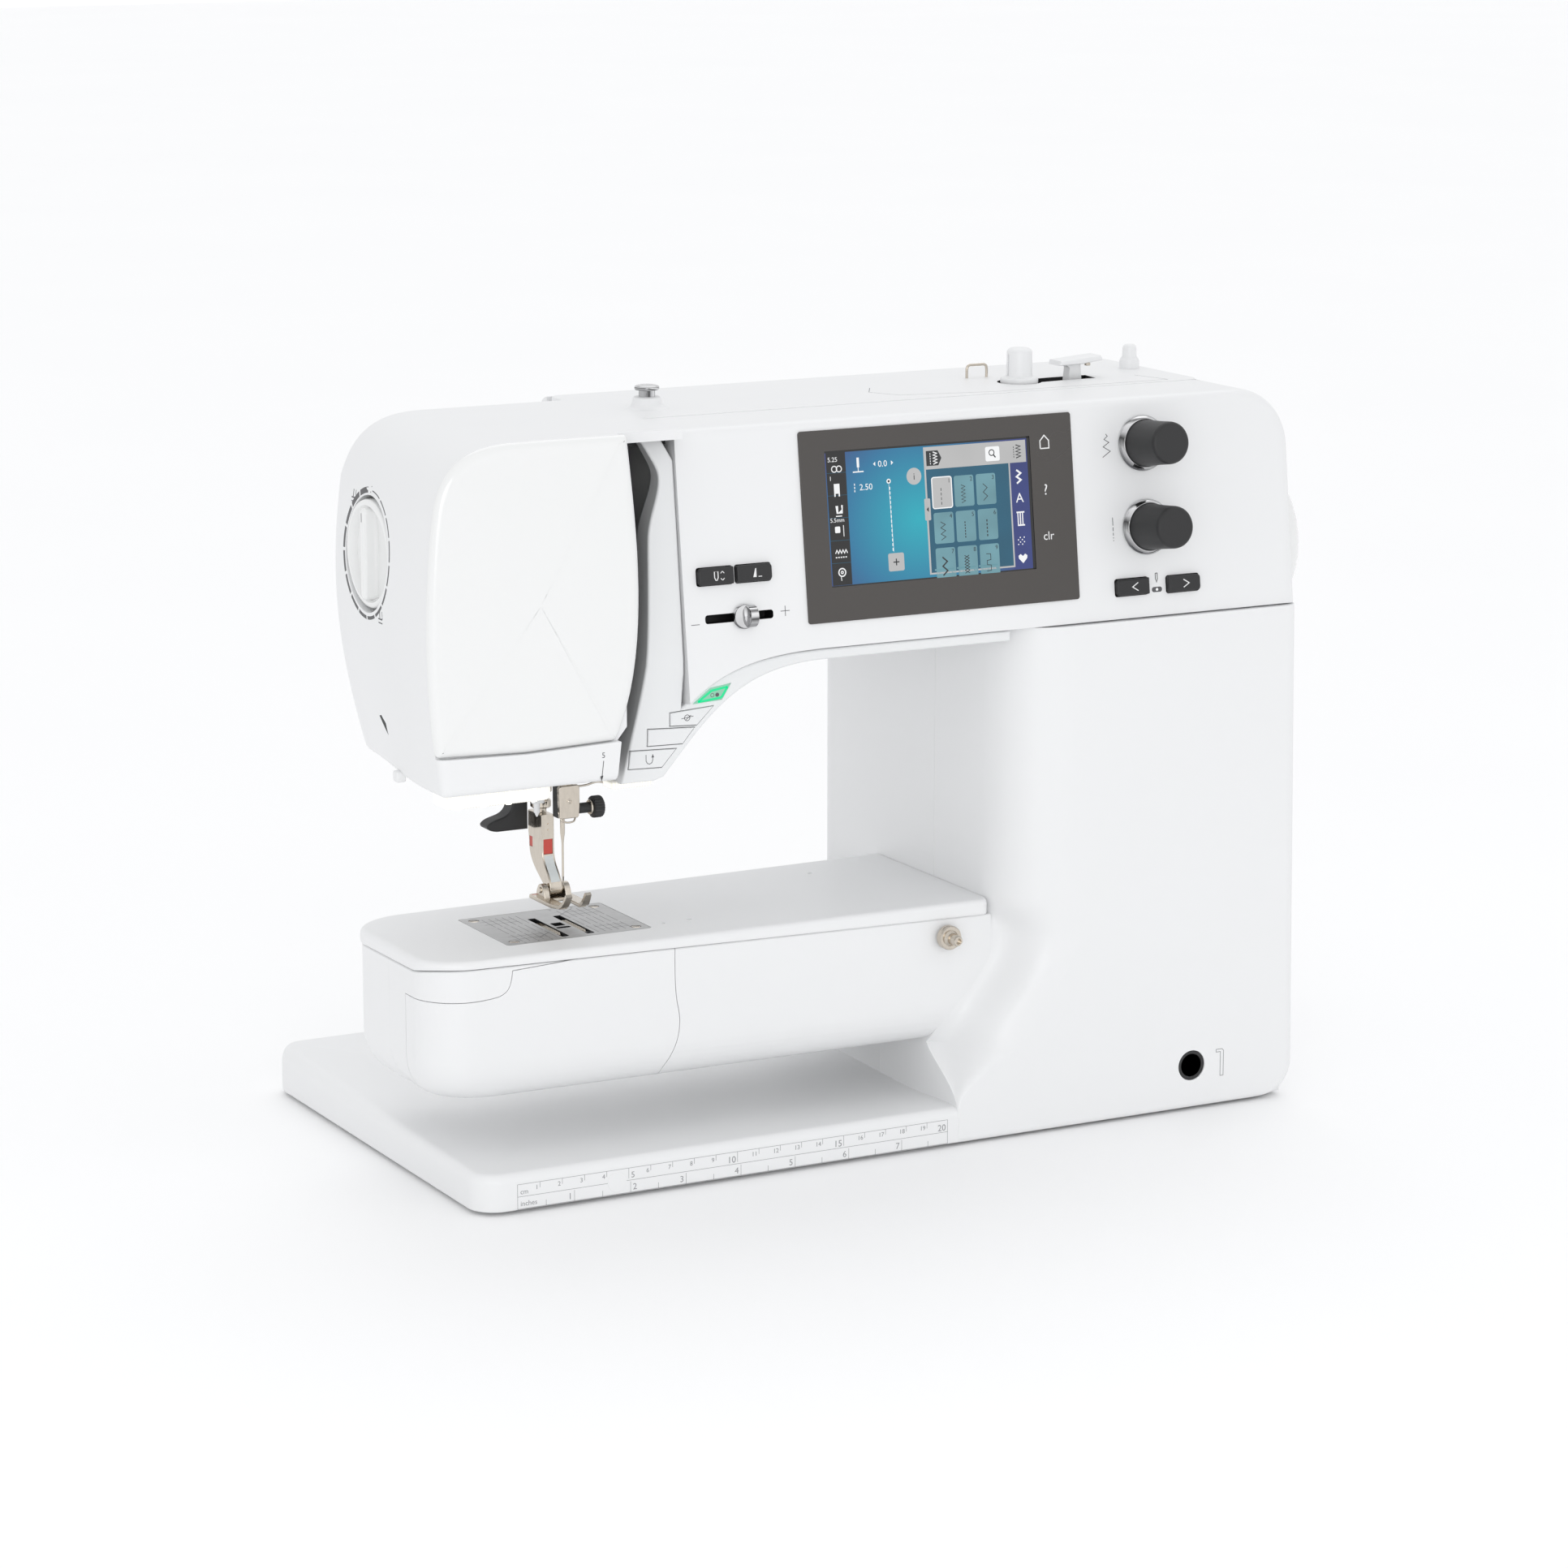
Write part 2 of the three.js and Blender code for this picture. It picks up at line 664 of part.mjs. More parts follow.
function faceCover() {
  const outline = (inset) => {
    const left = headLeft - 1.5 + inset;
    const right = faceRight - inset;
    const top = headTop + 0.8 - inset;
    const shoulder = [left + 1, top - 24];
    const foot = [slotLeft - 6.6 - inset, faceBottom + inset];
    return [
      new THREE.Vector2(left, faceBottom + inset),
      ...curve([left, faceBottom + inset], [left - 3, faceBottom + 25], [left - 3.5, top - 53], shoulder, 4),
      ...curve(shoulder, [left + 4.5, top - 7], [left + 14.5, top - 1], [left + 32.5, top], 5),
      new THREE.Vector2(slotLeft - 1 - inset, top),
      ...curve([slotLeft - 1 - inset, top], [right - 1, top - 35], [right + 6, faceBottom + 35], foot, 6),
    ];
  };
  const back = headFront - gap;
  return loft("y", [
    [headFront - faceThickness, outline(2).reverse()],
    [headFront - faceThickness + 0.8, outline(0.6).reverse()],
    [headFront - faceThickness + 2, outline(0).reverse()],
    [back, outline(0).reverse()],
  ]);
}

// ---- Free arm ----------------------------------------------------------------------------------

function bedPlate() {
  const right = columnLeft - gap;
  const outline = (inset) =>
    roundRect(bedLeft + inset, right, bedFront + inset, bedBack - inset, bedCorners, 5);
  const slab = loft("z", [
    [bedTop - bedThickness, outline(1)],
    [bedTop - 3, outline(0)],
    [bedTop - 1, outline(1)],
    [bedTop, outline(3.5)],
  ]);
  const halfDepth = plateDepth / 2;
  const seat = bedTop - plateThickness - gap;
  const nearAndFar = [-halfDepth - gap, halfDepth + gap];
  const pocket = block(plateLeft - gap, plateRight + gap, ...nearAndFar, seat, bedTop + 2);
  const well = block(plateLeft + 8, plateRight - 8, 4 - halfDepth, halfDepth - 4, bedTop - 20, bedTop + 2);
  return cut(slab, pocket, well);
}

function housingSkin(inset, bottom, top) {
  const right = columnLeft + 20;
  const level = (z, side, front, back) => {
    const [left, near, far] = [bedLeft + side + inset, bedFront + front + inset, bedBack - back - inset];
    return [z, roundRect(left, right, near, far, bedCorners, 5)];
  };
  return loft("z", [
    level(bottom, 15, 13, 12),
    level(housingBottom + 5, 7, 7, 7),
    level(55, 2, 3, 4),
    level(72, 0.6, 0.6, 2),
    level(top, 1, 1, 1.2),
  ]);
}

function housingShell() {
  const top = bedTop - bedThickness - gap;
  const outer = housingSkin(0, housingBottom, top);
  const inner = housingSkin(wall, housingBottom + wall, top + 1);
  const columnSide = columnSkin(-gap, columnFront - 5, columnBack + 5, 0.4, [10, ...flareLevels, bedTop]);
  return cut(outer, inner, columnSide);
}

function doorBlock(clearance) {
  const [low, high] = [doorBottom - clearance, doorTop + clearance];
  return block(doorLeft - clearance, doorRight + clearance, bedFront - 20, -30, low, high);
}

// ---- Shafts and drive ------------------------------------------------------------------------

// The cast frame: a C-shaped web with bearings for the main shaft and guides for the two bars.
function innerFrame() {
  const back = frameFront + frameThickness;
  const web = [
    block(-40, 305, frameFront, back, shaftZ + 14, 300),
    block(232, 305, frameFront, back, 14, 300),
    block(lowerBearingX + 5, 305, frameFront, back, 46, 54),
  ];
  const bearings = bearingXs.map((x) => block(x - 7, x + 7, shaftY - 10, back, shaftZ - 10, shaftZ + 20));
  const guides = [185, 262].map((z) => block(needleX - 4.2, needleX + 8, needleY - 5, back, z, z + 9));
  const hanger = block(needleX - 4.2, needleX + 8, frameFront - 3, back, 185, 280);
  const holes = [
    rod("x", shaftY, shaftZ, -60, 320, shaftRadius + runningGap),
    rod("z", needleBarX, needleY, 170, 310, needleBarRadius + runningGap),
    rod("z", needleX, presserY, 170, 310, presserRadius + runningGap),
  ];
  return cut(join(...web, ...bearings, ...guides, hanger), ...holes);
}

function mainShaft() {
  const rodBody = rod("x", shaftY, shaftZ, 22, columnRight - 4, shaftRadius);
  const crank = rod("x", shaftY, shaftZ, 18, 26, 16, 24);
  const pulley = rod("x", shaftY, shaftZ, beltX - 1, beltX + beltWidth + 1, largePulleyRadius, 28);
  return join(rodBody, crank, pulley);
}

// The outline of a belt round both pulleys, a distance away from them.
function beltLoop(away, steps = 40) {
  const pulleys = [[shaftY, shaftZ, largePulleyRadius], [motorY, motorZ, smallPulleyRadius]];
  return Array.from({ length: steps }, (_, i) => {
    const [dy, dz] = [Math.cos((2 * Math.PI * i) / steps), Math.sin((2 * Math.PI * i) / steps)];
    const reach = ([y, z, r]) => y * dy + z * dz + r;
    const [y, z, r] = reach(pulleys[0]) > reach(pulleys[1]) ? pulleys[0] : pulleys[1];
    return [y + (r + away) * dy, z + (r + away) * dz];
  });
}

function handwheel() {
  const w = handwheelWidth;
  return turned("x", [
    [0, 0],
    [handwheelRadius - 3, 0],
    [handwheelRadius, 3],
    [handwheelRadius, w * 0.45],
    [handwheelRadius - 3, w * 0.8],
    [handwheelRadius - 10, w],
    [shaftRadius + 10, w - 2],
    [0, w - 2],
  ], 40);
}

// ---- Needle, presser foot and feed -------------------------------------------------------------

function presserSole() {
  const bottom = bedTop + footLift;
  const half = soleWidth / 2;
  const slit = toeGap / 2;
  const outline = [
    ...[[-half, 10], [half, 10], [half, -12], [half - 2, -17], [slit, -17], [slit, -2]],
    ...[[-slit, -2], [-slit, -17], [2 - half, -17], [-half, -12]],
  ];
  const sole = plate("z", outline, bottom, bottom + 1.6);
  const tip = [[-16.5, 0.8], [-22, 5.4], [-22.8, 4.8], [-17.6, 0.2]].map(([y, up]) => [y, bottom + up]);
  const toes = [-1, 1].map((side) => {
    const middle = (side * (half - 2 + slit)) / 2;
    return plate("x", tip, middle - 1.7, middle + 1.7);
  });
  const ears = [-1, 1].map((side) => {
    const middle = side * (shankWidth / 2 + 2);
    return block(middle - 1.4, middle + 1.4, pinY - 4, pinY + 4, bottom + 1, bottom + pinRise + 2.6);
  });
  const pin = rod("x", pinY, bottom + pinRise, -7, 7, 1.3, 12);
  return join(sole, ...toes, ...ears, pin).translate(needleX, 0, 0);
}

function footShank() {
  const pinZ = bedTop + footLift + pinRise;
  const front = presserY - shankDepth / 2;
  const back = presserY + shankDepth / 2;
  const side = [
    [front, shankTop],
    [front, 131],
    ...curve([front, 131], [front, 124], [pinY - 2.6, 122], [pinY - 2.6, pinZ], 6),
    [pinY + 2.6, pinZ],
    ...curve([pinY + 2.6, pinZ], [pinY + 8, 120], [back, 124], [back - 1, 133], 6),
    [back, 138],
    [back, shankTop],
  ];
  const body = plate("x", side, -shankWidth / 2, shankWidth / 2);
  const eye = rod("x", pinY, pinZ, -shankWidth / 2, shankWidth / 2, 2.9, 14);
  const bore = rod("x", pinY, pinZ, -6, 6, 1.3 + runningGap, 14);
  return cut(join(body, eye), bore).translate(needleX, 0, 0);
}

function feedDog() {
  const bars = [-feedSlotX, feedSlotX].map((x) => {
    const half = feedSlotWidth / 2 - 0.6;
    return block(x - half, x + half, -10, 10, bedTop - 9, bedTop - 0.2);
  });
  const bridges = [-8, 8].map((y) => block(-9, 9, y - 2, y + 2, bedTop - 11, bedTop - 8));
  return join(...bars, ...bridges).translate(needleX, feedMiddleY, 0);
}

function stitchPlate() {
  const [front, back] = [-plateDepth / 2, plateDepth / 2];
  const outline = roundRect(plateLeft, plateRight, front, back, 1.5, 2);
  const body = plate("z", outline, bedTop - plateThickness, bedTop);
  const slots = [-feedSlotX, feedSlotX].map((x) => {
    const [left, right] = [needleX + x - feedSlotWidth / 2, needleX + x + feedSlotWidth / 2];
    const [near, far] = [feedMiddleY - feedSlotLength / 2, feedMiddleY + feedSlotLength / 2];
    return block(left, right, near, far, bedTop - 5, bedTop + 1);
  });
  const half = needleHoleWidth / 2;
  const holeOutline = roundRect(needleX - half, needleX + half, needleY - 1.2, needleY + 1.2, 1, 2);
  return cut(body, ...slots, plate("z", holeOutline, bedTop - 5, bedTop + 1));
}

// ---- Assembly ----------------------------------------------------------------------------------

function addCasings() {
  add("column_front_cover", columnFrontCover(), white);
  add("column_rear_cover", columnRearCover(), white);
  add("arm_front_panel", armFrontPanel(), white);
  add("arm_trim", armTrim(), paleGrey);
  add("arm_rear_cover", armRearCover(), white);
  add("top_lid", lid(), white);
  add("head_side_cover", headSideCover(), white);
  add("face_cover", faceCover(), glossWhite);
}

function addFreeArm() {
  add("free_arm_bed", bedPlate(), white);
  const shell = housingShell();
  const hub = [lowerBearingX - 3, lowerBearingX + 3];
  const support = block(hub[0], hub[1], lowerShaftY - 7, lowerShaftY + 7, housingBottom + 1, lowerShaftZ + 7);
  const bore = rod("x", lowerShaftY, lowerShaftZ, -60, 300, shaftRadius + runningGap, 16);
  add("free_arm_housing", cut(join(cut(shell, doorBlock(gap)), support), bore), white);
  add("bobbin_door", common(shell, doorBlock(0)), white);
  add("stitch_plate", stitchPlate(), steel);
  add("feed_dog", feedDog(), steel);
}

function addDrive() {
  add("inner_frame", innerFrame(), cast);
  add("main_shaft", mainShaft(), steel);
  const wheel = add("handwheel", handwheel(), glossWhite);
  wheel.position.set(columnRightAt(shaftZ - handwheelRadius) + 2 * gap, shaftY, shaftZ);
  add("lower_shaft", rod("x", lowerShaftY, lowerShaftZ, 10, 215, shaftRadius, 16), steel);
  const cup = cut(
    rod("y", 0, hookZ, hookY - 8, hookY + 8, hookRadius, 24),
    rod("y", 0, hookZ, hookY - 12, hookY + 5, hookRadius - 3, 24),
  );
  add("hook", join(cup, rod("y", 0, hookZ, hookY + 7, hookY + 26, 4, 16)), steel);
  add("bobbin", join(
    rod("y", 0, hookZ, hookY - 7, hookY - 5.6, hookRadius - 4.5, 24),
    rod("y", 0, hookZ, hookY - 6, hookY + 4, 4, 16),
    rod("y", 0, hookZ, hookY + 2.8, hookY + 4.2, hookRadius - 4.5, 24),
  ), steel);
  const motorX = beltX - 3 - motorLength;
  add("motor", join(
    rod("x", motorY, motorZ, motorX, motorX + motorLength, motorRadius, 28),
    block(motorX + 8, motorX + 20, frameFront + frameThickness + gap, motorY, motorZ - 12, motorZ + 12),
  ), cast);
  const pulleyEnds = [beltX - 3 + gap, beltX + beltWidth + 1];
  add("motor_pulley", rod("x", motorY, motorZ, ...pulleyEnds, smallPulleyRadius, 20), steel);
  const beltInside = beltLoop(gap);
  const beltOutside = beltLoop(gap + beltThickness);
  add("drive_belt", cut(
    plate("x", beltOutside, beltX, beltX + beltWidth),
    plate("x", beltInside, beltX - 1, beltX + beltWidth + 1),
  ), rubber);
}

function addNeedleSide() {
  const clampTop = clampBottom + clampHeight;
  const screwZ = clampBottom + 3;
  const clampLeft = needleX - 3.7;
  const clampRight = needleX + 5.7;
  const bar = rod("z", needleBarX, needleY, clampTop + gap, 296, needleBarRadius);
  add("needle_bar", bar, nickel);
  add("needle_clamp", join(
    block(clampLeft, clampRight, needleY - 5, needleY + 2.6, clampBottom, clampTop),
    rod("x", needleY - 1, screwZ, clampRight - 1, needleX + 13, 2.2, 14),
    rod("x", needleY - 1, screwZ, needleX + 12.5, needleX + 17.5, 4.6, 18),
  ), nickel);
  const needleLength = clampBottom - needleTipZ - gap;
  const profile = [[0, 0], [0.3, 2], [0.45, 6], [0.45, 20], [1, 24], [1, needleLength], [0, needleLength]];
  add("needle", turned("z", profile, 10), steel).position.set(needleX, needleY, needleTipZ);
  const rise = 34; // of the take-up lever's eye above its pivot
  const lever = plate("x", [
    [0, -5],
    [5, 0],
    [3, 6],
    [-22, rise + 1],
    [-31, rise + 4],
    [-33, rise],
    [-25, rise - 4],
    [-5, 0],
  ], -1.2, 1.2);
  const eye = rod("x", -28.5, rise, -5, 5, 1.2, 10);
  add("take_up_lever", cut(lever, eye), nickel).position.set(4, -18, 262);
  add("presser_bar", rod("z", needleX, presserY, shankTop + gap, 300, presserRadius), nickel);
  add("foot_shank", footShank(), nickel);
  add("foot_sole", presserSole(), nickel);
  const blade = [[-8, 138.5], [-16, 138.5], [-25, 139.5], [-27, 141.5], [-22, 145], [-16, 148], [-8, 150]];
  add("presser_lifter", join(block(-16, -8.8, 20, 24, 147, 200), plate("y", blade, 17, 25)), black);
  const threader = join(block(-14.5, -11, -4, 0, 156, 200), block(-13.6, -11.9, -3, -1.4, 148, 157));
  add("needle_threader", threader, white);
  const led = add("led_strip", loft("z", [
    [0, roundRect(-80, -36, -64, -50, 3, 3)],
    [4.2, roundRect(-81, -35, -65, -49, 3, 3)],
  ]), clear);
  led.position.z = headUnder - gap - 4.2;
}

function addPanelControls() {
  const screenTop = screenBottom + screenHeight;
  const bezelBody = block(screenLeft, screenLeft + screenWidth, -1.2, 1.8, screenBottom, screenTop);
  const lcdLeft = screenLeft + lcdMargin.left;
  const lcdBottom = screenBottom + lcdMargin.bottom;
  const [lcdRight, lcdTop] = [lcdLeft + lcdWidth, lcdBottom + lcdHeight];
  const seat = block(lcdLeft - gap, lcdRight + gap, -2, 0, lcdBottom - gap, lcdTop + gap);
  add("screen_bezel", cut(bezelBody, seat), bezelGrey, panel);
  add("lcd_glass", block(lcdLeft, lcdRight, -1.1, -gap, lcdBottom, lcdTop), glass, panel);
  for (const [name, up] of Object.entries(knobHeights)) {
    const knob = turned("y", [
      [0, -6],
      [3, -6],
      [3, 0.4],
      [knobRingRadius - 0.6, 0.4],
      [knobRingRadius, 1.2],
      [knobRingRadius, 3.4],
      [knobRadius + 0.4, 5],
      [knobRadius, knobLength - 1.5],
      [knobRadius - 1.5, knobLength],
      [0, knobLength],
    ], 28);
    const mesh = add("knob_" + name, knob.rotateZ(Math.PI), black, panel);
    mesh.position.set(knobX, 0, up);
  }
  for (const [name, [x, up]] of Object.entries(keys)) {
    const outline = (inset) => {
      const [halfWidth, halfHeight] = [keyWidth / 2 - inset, keyHeight / 2 - inset];
      return roundRect(-halfWidth, halfWidth, -halfHeight, halfHeight, 1.2 - inset, 2);
    };
    const key = loft("y", [
      [-keyProud, outline(0.7)],
      [-keyProud + 0.7, outline(0)],
      [3, outline(0)],
    ]);
    add("key_" + name, key, black, panel).position.set(x, 0, up);
  }
  const half = sliderSlot.height / 2 - gap;
  const slider = join(
    block(-2.5, 2.5, -2, 6, -half, half),
    rod("x", -3.5, 0, -5.6, 5.6, 3, 16),
    block(-5.6, 5.6, -3.5, -0.5, -3, 3),
  );
  add("speed_slider", slider, steel, panel).position.set(sliderX, 0, sliderUp);
}

function addStripKeys() {
  for (const [name, points] of Object.entries(stripKeys)) {
    const key = plate("y", points, trimFront - stripKeyProud, trimFront + 3);
    add("strip_key_" + name, key, paleGrey);
  }
}

function addSideAndTop() {
  const dial = turned("x", [
    [0, 0],
    [4, 0],
    [4, 8],
    [dialRadius, 10],
    [dialRadius, 17],
    [dialRadius - 2, 18.5],
    [0, 18.5],
  ], 36).rotateZ(Math.PI);
  const grip = join(dial, block(-20, -17, -2.6, 2.6, -17, 17));
  add("pressure_dial", grip, glossWhite).position.set(headLeft + 14.5, dialY, dialZ);
  add("spool_pin", join(
    rod("z", 0, 0, headTop + gap, headTop + 3.5, 4.4, 16),
    rod("z", 0, 0, headTop + 3, headTop + 9, 3.1, 16),
  ), white).position.set(292, 30, 0);
  const spindle = rod("z", 0, 0, headTop - lidHeight + 1, headTop + 13, spindleRadius, 24);
  add("winder_spindle", spindle, white).position.set(spindleX, spindleY, 0);
  const leverBlade = [[-9, 4.4], [-9, 6.4], [12, 8], [13, 6], [4, 4.4]];
  add("winder_lever", join(
    block(-3, 3, -2.5, 2.5, headTop - lidHeight + 1, headTop + 7),
    plate("y", leverBlade.map(([x, up]) => [x, headTop + up]), -5, 5),
  ), white).position.set(leverX, leverY, 0);
  add("pretension_stud", join(
    rod("z", 0, 0, headTop + gap, headTop + 2.5, 9, 20),
    rod("z", 0, 0, headTop + 2, headTop + 6, 3.4, 16),
    rod("z", 0, 0, headTop + 5, headTop + 6.4, 5.2, 20),
  ), steel).position.set(46, 12, 0);
  const staple = [[-4.8, 0, 0], [-4.8, 0, 2.4], [-4, 0, 3.2], [4, 0, 3.2], [4.8, 0, 2.4], [4.8, 0, 0]];
  add("loop_guide", wire(staple, 0.7, 16, 8), steel).position.set(216, 33, headTop + gap);
  const socketY = bedFront - 4;
  add("accessory_socket", join(
    rod("y", 157, 87, socketY, socketY + 3.5, 5.2, 20),
    rod("y", 157, 87, socketY - 6, socketY + 1, 2.4, 14),
  ), steel);
  add("knee_lift_socket", cut(
    rod("y", kneeX, kneeZ, columnFront + 0.2, columnFront + 14, kneeRadius + 2, 20),
    rod("y", kneeX, kneeZ, columnFront - 1, columnFront + 12, kneeRadius, 20),
  ), black);
  add("power_inlet", cut(
    block(0, 4, -16, 16, 0, 26),
    block(1.2, 6, -12, 12, 4, 22),
  ), black).position.set(columnRight - 0.4, 60, 40);
}

addBase();
addCasings();
addFreeArm();
addDrive();
addNeedleSide();
addPanelControls();
addStripKeys();
addSideAndTop();

export default machine;
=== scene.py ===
import json
import math

import bmesh
import bpy
from bpy.props import FloatProperty, FloatVectorProperty, PointerProperty
from bpy.types import Operator, Panel, PropertyGroup
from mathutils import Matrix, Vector
from mathutils.bvhtree import BVHTree


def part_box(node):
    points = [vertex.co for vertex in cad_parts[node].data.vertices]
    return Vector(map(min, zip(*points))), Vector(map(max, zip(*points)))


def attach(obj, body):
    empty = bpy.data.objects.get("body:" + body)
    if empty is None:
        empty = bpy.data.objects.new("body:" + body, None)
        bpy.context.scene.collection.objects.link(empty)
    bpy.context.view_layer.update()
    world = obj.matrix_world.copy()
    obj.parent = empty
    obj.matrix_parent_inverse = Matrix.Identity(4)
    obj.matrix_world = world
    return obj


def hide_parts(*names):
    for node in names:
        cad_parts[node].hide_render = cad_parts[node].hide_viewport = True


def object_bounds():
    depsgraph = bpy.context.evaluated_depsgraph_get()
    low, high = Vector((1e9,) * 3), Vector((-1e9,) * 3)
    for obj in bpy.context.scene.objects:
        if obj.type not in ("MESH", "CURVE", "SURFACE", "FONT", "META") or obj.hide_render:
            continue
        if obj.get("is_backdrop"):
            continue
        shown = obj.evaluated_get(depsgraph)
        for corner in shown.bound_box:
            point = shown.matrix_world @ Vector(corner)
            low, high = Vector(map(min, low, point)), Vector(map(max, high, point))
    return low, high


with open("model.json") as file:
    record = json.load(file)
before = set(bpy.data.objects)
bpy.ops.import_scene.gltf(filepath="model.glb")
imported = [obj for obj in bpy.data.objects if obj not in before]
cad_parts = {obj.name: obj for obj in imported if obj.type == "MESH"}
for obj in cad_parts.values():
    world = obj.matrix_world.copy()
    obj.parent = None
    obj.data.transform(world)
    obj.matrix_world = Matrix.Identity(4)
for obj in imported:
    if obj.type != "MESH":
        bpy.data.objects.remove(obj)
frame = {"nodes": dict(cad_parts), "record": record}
CAD_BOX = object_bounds()

bl_info = {
    "name": "Free-arm sewing machine",
    "version": (1, 0, 0),
    "blender": (4, 5, 0),
    "location": "3D View > Sidebar > Sewing machine",
    "description": "Builds a free-arm sewing machine, piece by piece, around its packed CAD frame",
    "category": "Add Mesh",
}

MM = 0.001
LEAN = math.tan(math.radians(7.3))  # of the arm's control panel


def span(node):
    """A node's lowest and highest corners, in millimetres."""
    low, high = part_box(node)
    return Vector(low) / MM, Vector(high) / MM


def centre(low, high, axes):
    """The middle between two corners, along the axes that are named."""
    return [(getattr(low, axis) + getattr(high, axis)) / 2 for axis in axes]


BASE, COLUMN, REAR = span("base_plate"), span("column_front_cover"), span("column_rear_cover")
ARM, TRIM, HEAD, FACE = (span(n) for n in ("arm_front_panel", "arm_trim", "head_side_cover", "face_cover"))
BED, PLATE, LCD = (span(n) for n in ("free_arm_bed", "stitch_plate", "lcd_glass"))
SEAM_Z = COLUMN[1].z + 0.3
ARM_FRONT = -64.0
ARM_TOP = ARM[1].z
NEEDLE = (span("needle")[0] + span("needle")[1]) / 2
BED_TOP = BED[1].z
LID_TOP = ARM_TOP + 0.3


# ---- Sizes and colours that a user would change --------------------------------------------------

def length(name, text, value, least=0.0):
    return FloatProperty(name=name, description=text, default=value * MM, min=least, unit="LENGTH",
        precision=4)


def colour(name, text, value):
    return FloatVectorProperty(name=name, description=text, default=value, size=3, min=0, max=1,
        subtype="COLOR")


class CasingSizes(PropertyGroup):
    edge: length("Front edges", "Rounding of the arm's and head's front edges", 3.2)
    base_edge: length("Base edge", "Rounding along the top edge of the base", 3.6)
    base_dish: length("Base dish", "How far the middle of the base's top lies below its edges", 2.4)
    cover_crown: length("Face cover crown", "How far the face cover bulges at its middle", 1.3)
    bed_edge: length("Bed edge", "Rounding along the top edge of the free arm's bed", 2.4)
    print_lift: length("Print thickness", "Height of printed marks above the surface", 0.05)


class FinishColours(PropertyGroup):
    casing: colour("Casing", "Moulded white of the casings", (0.825, 0.83, 0.835))
    cover: colour("Face cover", "Polished white of the face cover", (0.83, 0.835, 0.83))
    trim: colour("Trim", "Pale grey of the strip under the arm", (0.79, 0.80, 0.805))
    black: colour("Controls", "Black of knobs and keys", (0.018, 0.018, 0.019))
    bezel: colour("Screen frame", "Warm dark grey round the display", (0.062, 0.056, 0.052))
    nickel: colour("Nickel", "Plated metal of the foot and clamp", (0.66, 0.60, 0.52))
    steel: colour("Steel", "Brushed metal of the stitch plate", (0.50, 0.50, 0.50))
    # Brightest band of the chrome's painted reflection
    chrome: colour("Chrome", "Bright rings, slider and thread stud", (0.82, 0.83, 0.84))
    start_glow: colour("Start light", "Lit outline of the start key", (0.0, 0.85, 0.33))
    ink: colour("Ink", "Printed marks on the casing", (0.10, 0.10, 0.105))


class StudioSizes(PropertyGroup):
    lens: FloatProperty(name="Lens", description="Focal length on a 36 mm sensor", default=109.61,
        unit="CAMERA")
    surround: FloatProperty(name="Surround", description="Strength of the even studio light",
        default=0.92, min=0)
    key_light: FloatProperty(name="Key light", description="Power of the large front light", default=1.5,
        unit="POWER")
    fill_light: FloatProperty(name="Fill light",
        description="Power of the low light in front of the free arm", default=0.6, unit="POWER")
    top_light: FloatProperty(name="Top light", description="Strength of the light from above and behind",
        default=0.35, min=0)


def casing():
    return bpy.context.scene.sewing_casing


def hues():
    return bpy.context.scene.sewing_finish


# ---- Shader effects that several finishes share --------------------------------------------------

def effect(name, inputs, outputs, wire):
    """A node group built once: inputs and outputs are (label, kind[, value]); wire fills it in."""
    tree = bpy.data.node_groups.get(name)
    if tree:
        return tree
    tree = bpy.data.node_groups.new(name, "ShaderNodeTree")
    for label, kind, value in inputs:
        made = tree.interface.new_socket(label, in_out="INPUT", socket_type="NodeSocket" + kind)
        made.default_value = value
    for label, kind in outputs:
        tree.interface.new_socket(label, in_out="OUTPUT", socket_type="NodeSocket" + kind)
    wire(tree, tree.nodes.new("NodeGroupInput").outputs, tree.nodes.new("NodeGroupOutput").inputs)
    return tree


def node(tree, kind, values=(), **settings):
    made = tree.nodes.new("ShaderNode" + kind)
    for key, value in settings.items():
        setattr(made, key, value)
    for socket, value in dict(values).items():
        if isinstance(value, bpy.types.NodeSocket):
            tree.links.new(value, made.inputs[socket])
        else:
            made.inputs[socket].default_value = value
    return made


def math_node(tree, operation, a, b=0.5, clamp=False):
    made = node(tree, "Math", operation=operation, use_clamp=clamp)
    for socket, value in zip(made.inputs, (a, b)):
        if isinstance(value, bpy.types.NodeSocket):
            tree.links.new(value, socket)
        else:
            socket.default_value = value
    return made.outputs[0]


def blend_colours(tree, share, a, b):
    made = node(tree, "Mix", data_type="RGBA")
    for socket, value in zip((made.inputs[0], made.inputs[6], made.inputs[7]), (share, a, b)):
        if isinstance(value, bpy.types.NodeSocket):
            tree.links.new(value, socket)
        else:
            socket.default_value = value
    return made.outputs[2]


